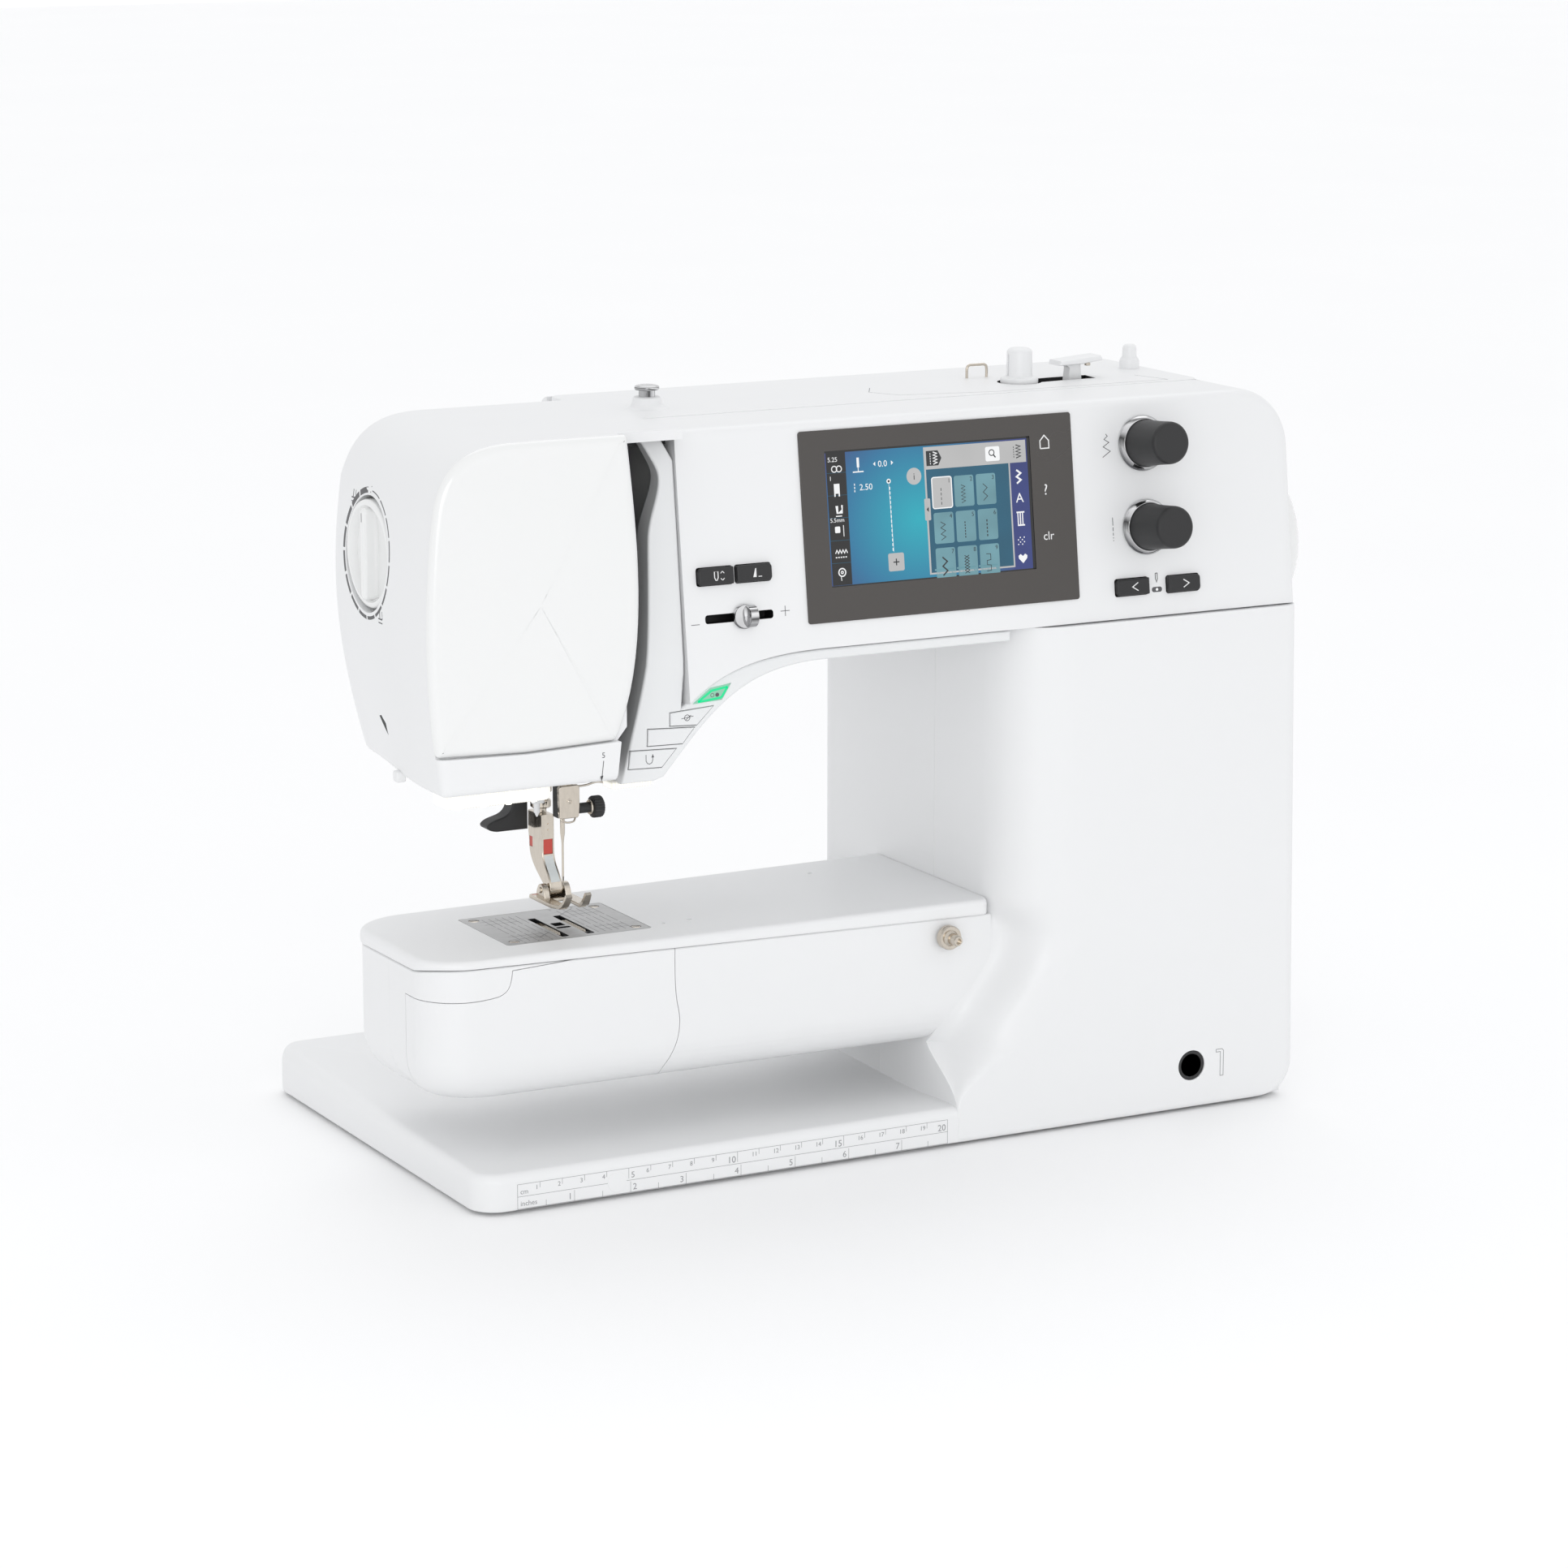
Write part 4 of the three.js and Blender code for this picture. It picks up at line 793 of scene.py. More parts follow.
def laid_on(target, origin, along_u, along_v, direction):
    """A place rule that drops marks on to a piece's surface, along a direction."""
    graph = bpy.context.evaluated_depsgraph_get()
    tree = BVHTree.FromObject(target, graph)
    way = Vector(direction).normalized()
    def place(u, v, height):
        start = Vector(origin) + Vector(along_u) * u + Vector(along_v) * v
        hit = tree.ray_cast((start - way * 60) * MM, way)[0]
        if hit is None:
            return tuple(start - way * height)
        return tuple(hit / MM - way * height)
    return place


# ---- Outlines of this machine's casings ----------------------------------------------------------

def ease(t):
    t = min(max(t, 0.0), 1.0)
    return t * t * t * (t * (t * 6 - 15) + 10)


def smooth(t):
    t = min(max(t, 0.0), 1.0)
    return t * t * (3 - 2 * t)


FOOT_X, COLUMN_X = COLUMN[0].x, 178.0
FOOT_TOP, FLARE_TOP = 30.0, 91.0
COLUMN_RIGHT, COLUMN_RIGHT_TOP = 323.5, 320.0
COLUMN_SEAM = 1.0


def column_left(z):
    return FOOT_X + (COLUMN_X - FOOT_X) * ease((z - FOOT_TOP) / (FLARE_TOP - FOOT_TOP))


def column_right(z):
    low = min(max(15 - (z - BASE[0].z), 0), 15)
    return COLUMN_RIGHT + (COLUMN_RIGHT_TOP - COLUMN_RIGHT) * z / SEAM_Z - (15 - math.sqrt(225 - low * low))


def column_corner(z):
    """The column's front left corner: sharp at the foot, flowing from the free arm, then round."""
    left, front = column_left(z), COLUMN[0].y
    sharp = [(left, front + 1.2), (left, front + 0.4), (left + 0.4, front), (left + 1.2, front)]
    start = BED_FRONT + 1.4 + housing_roll(z) * 0.92
    flow = [(left, start), (left + 15, start - 0.4), (left + 9, front), (left + 32, front)]
    full = [(left, front + 28), (left, front + 12.5), (left + 12.5, front), (left + 28, front)]
    rise, turn = smooth((z - 17) / 30), smooth((z - 86) / 16)
    spots = [tuple(s + (f - s) * rise + (r - f) * turn * rise for s, f, r in zip(*trio))
        for trio in zip(sharp, flow, full)]
    return [spots[0], *bezier(*spots, 14)]


def column_levels(low, high):
    fixed = [low, low + 0.5, low + 1.5, 4, 6, 8, 10, 12.5, 15, 17, 19, 22, 25, 28]
    return [z for z in fixed if z >= low] + [30 + 3.05 * i for i in range(25)] + [106 + 11 * i
        for i in range(10)] + [high]


def column_front_ring(z):
    edge = 1.3 * (1 - min(1, (z - BASE[0].z) / 1.6)) ** 2
    right = column_right(z) - edge
    front = COLUMN[0].y
    corner = [(x, max(y, front + edge)) for x, y in column_corner(z)]
    turn = [(right - 6 + 6 * math.sin(t), front + edge + 6 - 6 * math.cos(t)) for t in arc_share(7)]
    return at("z", z, corner + turn + [(right, COLUMN_SEAM), (column_left(z), COLUMN_SEAM)])


def column_rear_ring(z, top):
    shrink = 0.6 * (z > top - 0.2)
    left, right = column_left(z), column_right(z)
    return at("z", z, round_rect(left + shrink, right - shrink, REAR[0].y, REAR[1].y, [0.3, 0.3, 12, 12], 8))


def seam_path():
    """The lower edge of the control panel, from beside the thread slot to over the column."""
    start = (24, 201)
    return [p for p in bezier(start, (42, 216), (62, SEAM_Z), (91, SEAM_Z), 26) if p[0] > 26]


def panel_outline(side, top, low):
    left = 26.0
    curve = [(x, z + low) for x, z in [(left, 202.4), *seam_path()]]
    right, high = COLUMN_RIGHT_TOP - side, ARM_TOP - top
    radius = 25 - (side + top) / 2
    round_end = [(right - radius + radius * math.cos(t), high - radius + radius * math.sin(t))
        for t in arc_share(14)]
    middle = [(120, SEAM_Z + low), (COLUMN_X, SEAM_Z + low), (250, SEAM_Z + low)]
    return curve + middle + [(right, SEAM_Z + low), *round_end, (COLUMN_X, high), (100, high), (left, high)]


def lean_back(level, lowest=-1e3):
    """Leans what lies in front of the lid back above a level, and forward below it."""
    def rule(x, y, z):
        share = min(max((-15 - y) / (-15 - ARM_FRONT), 0), 1)
        return x, y + share * (max(lowest, z) - level) * LEAN, z
    return rule


def head_outline(shift, drop, inset=0.0, tuck=0.0):
    left, top, under = HEAD_LEFT + shift + inset, HEAD_TOP - drop - inset, HEAD_UNDER + inset
    right = HEAD[1].x
    foot = (left + 1 + tuck, under)
    foot_corner = (foot[0] + 2.4, under)
    foot_side = (foot[0] - 0.55, under + 2.4)
    points = [(right, under), (right, top - 1.2), (right - 1.2, top)]
    points += bezier((right - 1.2, top), (right - 30, top), (left + 70, top), (left + 36, top), 5)
    points += bezier((left + 36, top), (left + 16, top), (left + 6, top - 6), (left, top - 24), 16)
    points += bezier((left, top - 24), (left - 5, top - 60), (left - 5, under + 50), foot_side, 18)
    return points + bezier(foot_side, (foot[0] - 0.1, under + 0.6), (foot[0] + 0.6, under), foot_corner, 4)


BED_LEFT, BED_FRONT, BED_BACK = -79.5, BED[0].y, 52.6
HOUSING_LOW = 40.0
HEAD_LEFT, HEAD_TOP, HEAD_UNDER = -87.0, HEAD[1].z, 176.4
COVER_LOW = 191.6
HEAD_FRONT, STRIP_FRONT = -70.0, HEAD[0].y


def head_shape():
    """The side runs nearly straight, then turns in a wide sweep to the back; its foot tucks in."""
    back, turn = HEAD[1].y, 34.0
    radius = casing().edge / MM

    def ring(y, inset=0.0):
        share = min(max((y - back + turn) / turn, 0), 1)
        over = min(max((y - back + 18) / 18, 0), 1)
        along = min((y - STRIP_FRONT) / (back - turn - STRIP_FRONT), 1)
        shift = 3 * along * along + 27 * (1 - math.sqrt(1 - share * share))
        drop = 14 * (1 - math.sqrt(1 - over * over))
        return at("y", y, head_outline(shift, drop, inset, 8 * smooth((y + 60) / 90)))
    rings = [ring(STRIP_FRONT, radius + 0.6)]
    rings += [ring(STRIP_FRONT + radius * (1 - math.cos(t)), radius * (1 - math.sin(t)))
        for t in arc_share(5)]
    rings += [ring(y) for y in (-66, -60, -50, -40, -30, -20, -10, 0, 8, 15)]
    rings += [ring(back - turn + turn * math.sin(t)) for t in arc_share(18)]
    return rings_skin(rings)


def tapered(x, y):
    """The free arm narrows a little towards its free end."""
    share = min(max((COLUMN_X - x) / (COLUMN_X - BED_LEFT), 0), 1.05)
    return x, y * (1 - 0.115 * share)


def bed_under(x, y):
    """Level of the bed's underside: it rises along the front towards the free end."""
    share = min(max((COLUMN_X - x) / (COLUMN_X - BED_LEFT), 0), 1)
    return BED_TOP - 6.7 + share * (0.8 + 2.4 * smooth((-18 - y) / 22))


def housing_roll(z):
    """How far the housing has drawn in at a level, on its way round to the underside."""
    t = min(max((58 - z) / (58 - HOUSING_LOW), 0), 1)
    return 15 * (1 - math.sqrt(max(1 - t * t, 0)))


def face_outline():
    left, right, top = HEAD_LEFT - 1.5, 0.6, HEAD_TOP + 0.8
    low = COVER_LOW
    shoulder, foot = (left + 1, top - 24), (-9.6, low + 2.2)
    points = [(left + 1.4, low + 1.0), (left + 0.3, low + 2.2)]
    points += bezier(points[-1], (left - 3.6, low + 23), (left - 3.8, top - 53), shoulder, 14)
    points += bezier(shoulder, (left + 4.5, top - 7), (left + 14.5, top - 1), (left + 32.5, top), 14)
    points += [(-40, top + 0.1), (-5.4, top), (-4.2, top - 1.2)]
    points += bezier((-4.2, top - 1.2), (right - 1, top - 35), (right + 6, low + 35), foot, 18)
    return points + bezier(foot, (-9.9, low + 1.3), (-10.6, low + 1.0), (-12, low + 0.9),
        3) + [(-50, low - 0.3)]


def inward(outline, distance):
    """An anticlockwise or clockwise outline drawn in by a distance along its own normals."""
    count = len(outline)
    area = sum(a[0] * b[1] - b[0] * a[1] for a, b in zip(outline, outline[1:] + outline[:1]))
    sign = 1 if area > 0 else -1
    points = []
    for i, p in enumerate(outline):
        a, b = Vector(outline[i - 1]), Vector(outline[(i + 1) % count])
        one, two = (Vector(p) - a).normalized(), (b - Vector(p)).normalized()
        across = Vector((-one.y - two.y, one.x + two.x)).normalized() * sign
        bend = max(abs(across.dot(Vector((-one.y, one.x)))), 0.45)
        points.append(tuple(Vector(p) + across * (distance / bend)))
    return points


def face_shape():
    outline = face_outline()
    back, front = FACE[1].y, FACE[0].y
    depth, round_by = back - front, 4.6
    rings = [(back, outline), (back - 0.3, outline)]
    for t in arc_share(7)[1:]:
        rings.append((back - 0.3 - (depth - 0.3) * math.sin(t),
                inward(outline, round_by * (1 - math.cos(t)))))
    crown = casing().cover_crown / MM
    inner = rings[-1][1]
    middle = Vector((-44, 250))
    for share in (0.97, 0.9, 0.78, 0.62, 0.44, 0.24, 0.08, 0.001):
        ring = [tuple(middle + (Vector(p) - middle) * share) for p in inner]
        rings.append((front - crown * (1 - share ** 2), ring))
    return rings_skin([at("y", y, ring) for y, ring in rings])


def trim_outline():
    slot_edge = [(9, ARM_TOP), (13.4, 305.4)]
    for a, b, c, d in (((13.4, 305.4), (17, 299), (18.8, 297), (18.6, 292.5)),
            ((18.6, 292.5), (18.2, 286), (13.6, 279), (12.5, 271)),
            ((12.5, 271), (11.6, 262), (11.2, 245), (9.2, 226)), ((9.2, 226), (6.8, 208), (2.4, 196),
                (-3.3, TRIM[0].z))):
        slot_edge += bezier(a, b, c, d, 8)
    under = bezier((16, TRIM[0].z + 1.5), (37, 197), (50, 215), (90, 215), 26)
    seam = [(x, z - 0.3) for x, z in reversed([(24.0, 201.0), *seam_path()])]
    right = TRIM[1].x
    return [*slot_edge, (11.6, TRIM[0].z), (16, TRIM[0].z + 1.5), *under, (134, 215), (right, 215),
        (right, SEAM_Z - 0.3), (134, SEAM_Z - 0.3), *seam, (25.2, 215), (25.4, 240), (25.6, 270),
        (25.6, 300), (20, ARM_TOP - 2), (19, ARM_TOP - 0.6)]


# ---- Operators: one for each piece or group of like pieces ---------------------------------------

class BuildStudio(Operator):
    """Floor, even light, two large soft lights and the camera"""
    bl_idname = "sewing.studio"
    bl_label = "Studio"

    def execute(self, context):
        studio = context.scene.sewing_studio
        context.scene.view_settings.view_transform = "Standard"
        floor = bpy.data.objects.new("studio_floor", bpy.data.meshes.new("studio_floor"))
        work = bmesh.new()
        bmesh.ops.create_grid(work, x_segments=12, y_segments=12, size=9)
        work.to_mesh(floor.data)
        work.free()
        made, tree, shader = start_material("studio_floor")
        place = node(tree, "TexCoord").outputs["Object"]
        drift = node(tree, "TexNoise", {"Vector": place, "Scale": 3.0}).outputs["Fac"]
        tone = blend_colours(tree, drift, (0.985, 0.985, 0.985, 1), (0.965, 0.965, 0.97, 1))
        tree.links.new(tone, shader.inputs["Base Color"])
        shader.inputs["Roughness"].default_value = 0.55
        shader.inputs["Specular IOR Level"].default_value = 0.2
        floor.data.materials.append(made)
        context.scene.collection.objects.link(floor)
        floor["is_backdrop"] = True
        world = context.scene.world or bpy.data.worlds.new("studio")
        context.scene.world = world
        world.use_nodes = True
        tree = world.node_tree
        tree.nodes.clear()
        seen = node(tree, "Background", {"Color": (1, 1, 1, 1), "Strength": 1.05})
        light = node(tree, "Background", {"Color": (0.985, 0.99, 1.0, 1), "Strength": studio.surround})
        choose = node(tree, "MixShader", {"Fac": node(tree, "LightPath").outputs["Is Camera Ray"]})
        tree.links.new(light.outputs[0], choose.inputs[1])
        tree.links.new(seen.outputs[0], choose.inputs[2])
        tree.links.new(choose.outputs[0], tree.nodes.new("ShaderNodeOutputWorld").inputs[0])
        front = bpy.data.lights.new("key_light", "AREA")
        front.shape, front.size, front.energy = "DISK", 1.6, studio.key_light
        above = bpy.data.lights.new("top_light", "SUN")
        above.angle, above.energy = math.radians(50), studio.top_light
        low = bpy.data.lights.new("fill_light", "AREA")
        low.shape, low.size, low.energy, low.spread = "DISK", 0.9, studio.fill_light, math.radians(60)
        middle, foot = Vector((0.1, 0, 0.15)), Vector((0.12, 0.05, 0.0))
        for data, spot, aim in ((front, (0.9, -2.2, 0.9), middle), (above, (0.9, 1.1, 2.4), middle),
                (low, (-0.7, -1.5, 0.45), foot)):
            lamp = bpy.data.objects.new(data.name, data)
            lamp.location = spot
            lamp.rotation_euler = (aim - Vector(spot)).to_track_quat("-Z", "Y").to_euler()
            context.scene.collection.objects.link(lamp)
        view = bpy.data.cameras.new("camera")
        view.lens, view.sensor_width, view.clip_start, view.clip_end = studio.lens, 36, 0.05, 30
        camera = bpy.data.objects.new("camera", view)
        yaw, pitch = math.radians(28.0), math.radians(-12.18)
        ahead = Vector((math.sin(yaw) * math.cos(pitch), math.cos(yaw) * math.cos(pitch), math.sin(pitch)))
        camera.location = (-0.8257, -1.7482, 0.5769)
        camera.rotation_euler = ahead.to_track_quat("-Z", "Y").to_euler()
        context.scene.collection.objects.link(camera)
        context.scene.camera = camera
        return {"FINISHED"}


class BuildBase(Operator):
    """Extended base plate with its dished top, and its rubber feet"""
    bl_idname = "sewing.base"
    bl_label = "Base plate"

    def execute(self, context):
        low, high = BASE
        edge, dish = casing().base_edge / MM, casing().base_dish / MM
        top, rise = low.z + 15.5, high.z - low.z - 15.5
        right = FOOT_X + 0.4
        steps = [(1.4, low.z), (0.4, low.z + 0.4), (0, low.z + 1.2), (0, top - edge)]
        steps += [(edge * (1 - math.cos(t)), top - edge + edge * math.sin(t)) for t in arc_share(6)[1:]]
        steps += [(edge + more, top) for more in (1.5, 4, 8, 13, 20, 28, 38, 50, 66, 84, 98)]

        def ring(inset, z):
            radius = max(12 - inset, 0.8)
            outline = round_rect(low.x + inset, right, low.y + inset, high.y - inset,
                [radius, 0.3, 0.3, radius], 9)
            sink = dish * smooth((inset - edge) / 42)
            lift = rise * min(max((z - top + 5) / 5, 0), 1)
            return [(x, y, z - sink + lift * (y - low.y) / (high.y - low.y)) for x, y in outline]
        plate = scratch("base_plate_shell", rings_skin([ring(i, z) for i, z in steps]),
            finish("white_casing"))
        ledge = lambda inset: round_rect(right - 1.7, COLUMN_RIGHT - inset, REAR[1].y + 0.3, high.y - inset,
                                         [0.3, 0.3, max(12 - inset, 1), 0.3], 9)
        combine(plate, soft_prism("z", ledge, low.z, high.z - 0.8, edge, 6), "UNION")
        combine(plate, box_shape(right - 2, 318, -61, REAR[1].y + 1, low.z, 9), "UNION")
        shaded(plate)
        rides(plate, "machine", "white_casing", "base_plate")
        for name in ("front_left", "front_right", "back_left", "back_right", "middle"):
            a, b = span("foot_" + name)
            (x, y), r = centre(a, b, "xy"), (b.x - a.x) / 2
            profile = [(0, 0.5), (r - 3.4, 0.5), (r - 3, 0), (r - 1, 0), (r - 0.4, 0.2), (r, 0.8),
                (r, b.z), (0, b.z)]
            piece("rubber_foot_" + name, turned("z", (x, y), profile), "rubber", stands_for=("foot_" + name,))
        return {"FINISHED"}


class BuildColumn(Operator):
    """Front and rear casings of the column, flowing out to the base and the free arm"""
    bl_idname = "sewing.column"
    bl_label = "Column"

    def execute(self, context):
        low, high = COLUMN
        front = scratch("column_front_shell",
            rings_skin([column_front_ring(z) for z in column_levels(low.z, high.z)]),
            finish("white_casing"))
        knee = span("knee_lift_socket")
        kx, kz = (knee[0].x + knee[1].x) / 2, (knee[0].z + knee[1].z) / 2
        radius = (knee[1].x - knee[0].x) / 2 + 0.2
        cut(front, turned("y", (kx, kz), [(radius, low.y - 2), (radius, low.y + 16)]))
        shaded(front)
        rides(front, "machine", "white_casing", "column_front_cover")
        sleeve = [(radius - 0.2, low.y + 0.4), (radius - 0.2, low.y + 15), (0.5, low.y + 15),
            (0.5, low.y + 13.6), (radius - 2.2, low.y + 13.6), (radius - 2.2, low.y + 0.8),
            (radius - 1.6, low.y + 0.4)]
        piece("knee_socket", turned("y", (kx, kz), sleeve), "black_plastic", stands_for=("knee_lift_socket",))
        top = REAR[1].z
        levels = [z for z in column_levels(REAR[0].z, top)]
        rear = scratch("column_rear_shell", rings_skin([column_rear_ring(z, top) for z in levels]),
            finish("white_casing"))
        inlet = span("power_inlet")
        shaded(rear)
        rides(rear, "machine", "white_casing", "column_rear_cover")
        y0, y1, z0, z1 = inlet[0].y, inlet[1].y, inlet[0].z, inlet[1].z
        shell = scratch("inlet_shell", soft_box(inlet[0].x, inlet[1].x, y0, y1, z0, z1, 0.8, 3, "x"),
            finish("black_plastic"))
        cut(shell, soft_box(inlet[0].x + 1.2, inlet[1].x + 2, y0 + 4, y1 - 4, z0 + 4, z1 - 4, 0.2, 3, "x"))
        shaded(shell)
        rides(shell, "machine", "black_plastic", "power_inlet")
        pins = [box_shape(inlet[0].x + 1, inlet[1].x - 0.2, y - 1, y + 1, z - 2.4, z + 2.4)
                for y, z in ((y0 + 10, z0 + 12), (y0 + 16, z0 + 15), (y0 + 22, z0 + 12))]
        piece("inlet_pins", together(*pins), "nickel_plate", edge=0.2)
        return {"FINISHED"}


class BuildArm(Operator):
    """Leaning control panel, rear casing and top lid of the arm"""
    bl_idname = "sewing.arm"
    bl_label = "Arm"

    def execute(self, context):
        edge = casing().edge / MM
        rings = [(ARM_FRONT, edge + 0.8, 6.8, 0.8)]
        rings += [(ARM_FRONT + 4.2 * (1 - math.cos(t)), edge * (1 - math.sin(t)), 6 * (1 - math.sin(t)),
                0.5 * (1 - math.sin(t))) for t in arc_share(6)]
        rings += [(y, 0, 0, 0) for y in (-54, -40, -28, -16, COLUMN_SEAM)]
        shape = rings_skin([at("y", y, panel_outline(side, top, low)) for y, top, side, low in rings])
        front = scratch("arm_panel_shell", moved(shape, lean_back(SEAM_Z)), finish("white_casing"))
        pockets = []
        for name in ("needle_stop", "presser", "arrow_left", "arrow_right"):
            x, up, half_w, half_h = key_place(name)
            pockets.append(panel_shape(soft_box(x - half_w - 0.35, x + half_w + 0.35, -3, 7,
                        up - half_h - 0.35, up + half_h + 0.35, 0.1, 1.2, "y")))
        for up in KNOB_UPS:
            pockets.append(panel_shape(turned("y", (KNOB_X, up), [(3.4, -3), (3.4, 8)])))
        pockets.append(panel_shape(soft_box(35, 66, -3, 8, SLIDER_UP - 1.8, SLIDER_UP + 1.8, 0.1, 1.2, "y")))
        # The pockets' cut walls take painted shade
        cut(front, *pockets, material=finish("painted_shade_black"))
        cut(front, box_shape(20, 301, -15.3, 10, 308.7, 330))
        shaded(front)
        rides(front, "machine", "white_casing", "arm_front_panel")

        low = span("arm_rear_cover")[0]
        arm_back = 74.0
        left = HEAD[1].x + 0.3

        def outline(inset):
            right, top, bottom = COLUMN_RIGHT_TOP - inset, ARM_TOP - inset, 215 + inset * 0.4
            radius = 25 - inset
            turn = [(right - radius + radius * math.cos(t), top - radius + radius * math.sin(t))
                for t in arc_share(14)]
            return [(left, bottom), (60, bottom), (100, bottom), (140, bottom), (COLUMN_X, bottom),
                (right, bottom), *turn, (COLUMN_X, top), (140, top), (100, top), (60, top), (left, top)]

        def slope(x, y, z):
            along = min(max((x - HEAD[1].x) / (COLUMN_X - HEAD[1].x), 0), 1)
            down = min(max((ARM_TOP - z) / (ARM_TOP - 215), 0), 1)
            deep = min(max((y - COLUMN_SEAM) / (arm_back - COLUMN_SEAM), 0), 1)
            return x, y + (REAR[1].y - arm_back) * along * down * deep, z
        rings = [(low.y, 0), (20, 0), (40, 0), (arm_back - 9, 0)]
        rings += [(arm_back - 9 + 9 * math.sin(t), 9 * (1 - math.cos(t))) for t in arc_share(7)[1:]]
        shape = moved(rings_skin([at("y", y, outline(inset)) for y, inset in rings]), slope)
        rear = scratch("arm_rear_shell", shape, finish("white_casing"))
        cut(rear, box_shape(COLUMN_X - 0.3, 330, -5, REAR[1].y + 2, 205, SEAM_Z),
            box_shape(20, 300.3, -5, 66.3, 308.7, 330))
        shaded(rear)
        rides(rear, "machine", "white_casing", "arm_rear_cover")

        a, b = span("top_lid")
        top = LID_TOP
        lid_outline = lambda inset: round_rect(a.x + inset, b.x - inset, a.y + inset, b.y - inset, 6, 7)
        lid = scratch("top_lid_shell", soft_prism("z", lid_outline, a.z, top, 0.35, 3),
            finish("white_casing"))
        spindle = span("winder_spindle")
        sx, sy = (spindle[0].x + spindle[1].x) / 2, (spindle[0].y + spindle[1].y) / 2
        lx, ly = 252, 13
        slot = [(sx + 9.6 * math.cos(t), sy + 9.6 * math.sin(t)) for t in [math.radians(35 + 10 * i)
                for i in range(30)]]
        slot += [(lx - 8, ly - 5.4), (lx + 9, ly - 5.2), (lx + 10, ly + 5.2), (lx - 8, ly + 5.4)]
        # The slot's cut walls take painted shade
        cut(lid, prism("z", slot, a.z - 1, top + 3), material=finish("painted_shade_black"))
        shaded(lid)
        rides(lid, "machine", "white_casing", "top_lid")
        deck = [(158, 24), (151, 12), (158, -2), (200, -11), (286, -11), (281, 8)]
        groove = mark("deck_seam", [stroke(deck, 0.35)], lambda u, v, h: (u, v, top + h * 0.4), "grey_ink")
        groove.name = "deck_seam"
        # A near-black box under the lid's opening: painted shade inside it
        shade_box = box_shape(sx - 12, lx + 12, sy - 12, ly + 8, a.z - 0.9, a.z - 0.2)
        piece("winder_well_shade", shade_box, "painted_shade_black")
        return {"FINISHED"}


class BuildTrim(Operator):
    """Border of the thread slot and curved strip under the arm"""
    bl_idname = "sewing.trim"
    bl_label = "Slot border and strip"

    def execute(self, context):
        front = TRIM[0].y
        outline = trim_outline()
        rings = [at("y", COLUMN_SEAM, outline), at("y", front + 1.1, outline)]
        rings += [at("y", front + 1.1 * (1 - math.sin(t)), inward(outline, 1.1 * (1 - math.cos(t))))
            for t in arc_share(4)[1:]]
        body = scratch("arm_trim_shell", rings_skin(rings), finish("pale_trim"))
        work = bmesh.new()
        work.from_mesh(body.data)
        for level in (SEAM_Z, 235, 262, 290):
            bmesh.ops.bisect_plane(work, geom=work.verts[:] + work.edges[:] + work.faces[:],
                                   plane_co=(0, 0, level * MM), plane_no=(0, 0, 1))
        rule = lean_back(SEAM_Z, SEAM_Z)
        for v in work.verts:
            v.co = Vector(rule(*(v.co / MM))) * MM
        work.to_mesh(body.data)
        work.free()
        # The cut behind the thread slot takes painted shade
        cut(body, box_shape(-60, 25.7, -46.3, 6, 160, 330), material=finish("painted_shade_black"))
        keys = [prism("y", inward(corners, -0.35), front - 3, front + 6) for corners in STRIP_KEYS.values()]
        cut(body, *keys)
        shaded(body, 28)
        rides(body, "machine", "pale_trim", "arm_trim")
        return {"FINISHED"}


STRIP_KEYS = {
    "start_stop": [(29.4, 202.2), (36.8, 207.6), (45.8, 208.8), (42, 203)],
    "secure": [(18.6, 199.2), (38, 200.4), (30.6, 193.4), (18.6, 194)],
    "free": [(8.6, 193.4), (29.4, 192.4), (24.1, 186.3), (8.4, 186.7)],
    "reverse": [(0.6, 185.2), (21.1, 184.4), (14.7, 177.5), (-0.2, 178)],
}


class BuildHead(Operator):
    """Head casing with its thread slot and needle opening, and the polished face cover"""
    bl_idname = "sewing.head"
    bl_label = "Head"

    def execute(self, context):
        head = scratch("head_shell", head_shape(), finish("white_casing"))
        right = HEAD[1].x
        seam = COVER_LOW - 0.3
        cut(head, prism("y", [(-110, seam + 1.6), (-86, seam + 0.7), (-50, seam - 0.3), (-12, seam + 0.9),
                    (40, seam + 0.9), (40, 330), (-110, 330)], STRIP_FRONT - 8, HEAD_FRONT))
        cut(head, box_shape(-4.4, 40, HEAD_FRONT - 1, -61.5, seam, 330))
        # The thread slot, needle opening and the hollows behind them take painted shade on their cut walls
        cut(head, prism("y", [(-10.5, 160), (-10.5, HEAD_UNDER), (-8.6, seam + 0.9), (-4.4, seam + 6),
                    (-4.4, 309.8), (40, 309.8), (40, 160)], STRIP_FRONT - 9, -46),
            material=finish("painted_shade_black"))
        cut(head, box_shape(-4.4, right + 4, -47, -11, HEAD_UNDER + 4, 306), material=finish("painted_shade_black"))
        cut(head, box_shape(-28, 16, -16, 34, HEAD_UNDER - 6, 304), material=finish("painted_shade_black"))
        dial = span("pressure_dial")
        dy, dz = (dial[0].y + dial[1].y) / 2, (dial[0].z + dial[1].z) / 2
        cut(head, turned("x", (dy, dz), [(23.6, -110), (23.6, -72)]))
        notch = [(-14, 189), (-13, 195), (-8, 197.6), (-2.6, 196), (-1, 188), (-4, 187), (-8, 186.6)]
        # The cutter notch's walls take painted shade
        cut(head, prism("x", [(y, z + 1) for y, z in notch], -100, -83.5), material=finish("painted_shade_black"))
        shaded(head)
        rides(head, "machine", "white_casing", "head_side_cover")
        piece("face_cover_shell", face_shape(), "gloss_white", stands_for=("face_cover",), sharp=50)
        piece("thread_cutter_guard", soft_box(-84.4, -80.4, -24, -19, 173.4, 178, 0.8, 1.2, "x"),
            "white_casing")
        return {"FINISHED"}


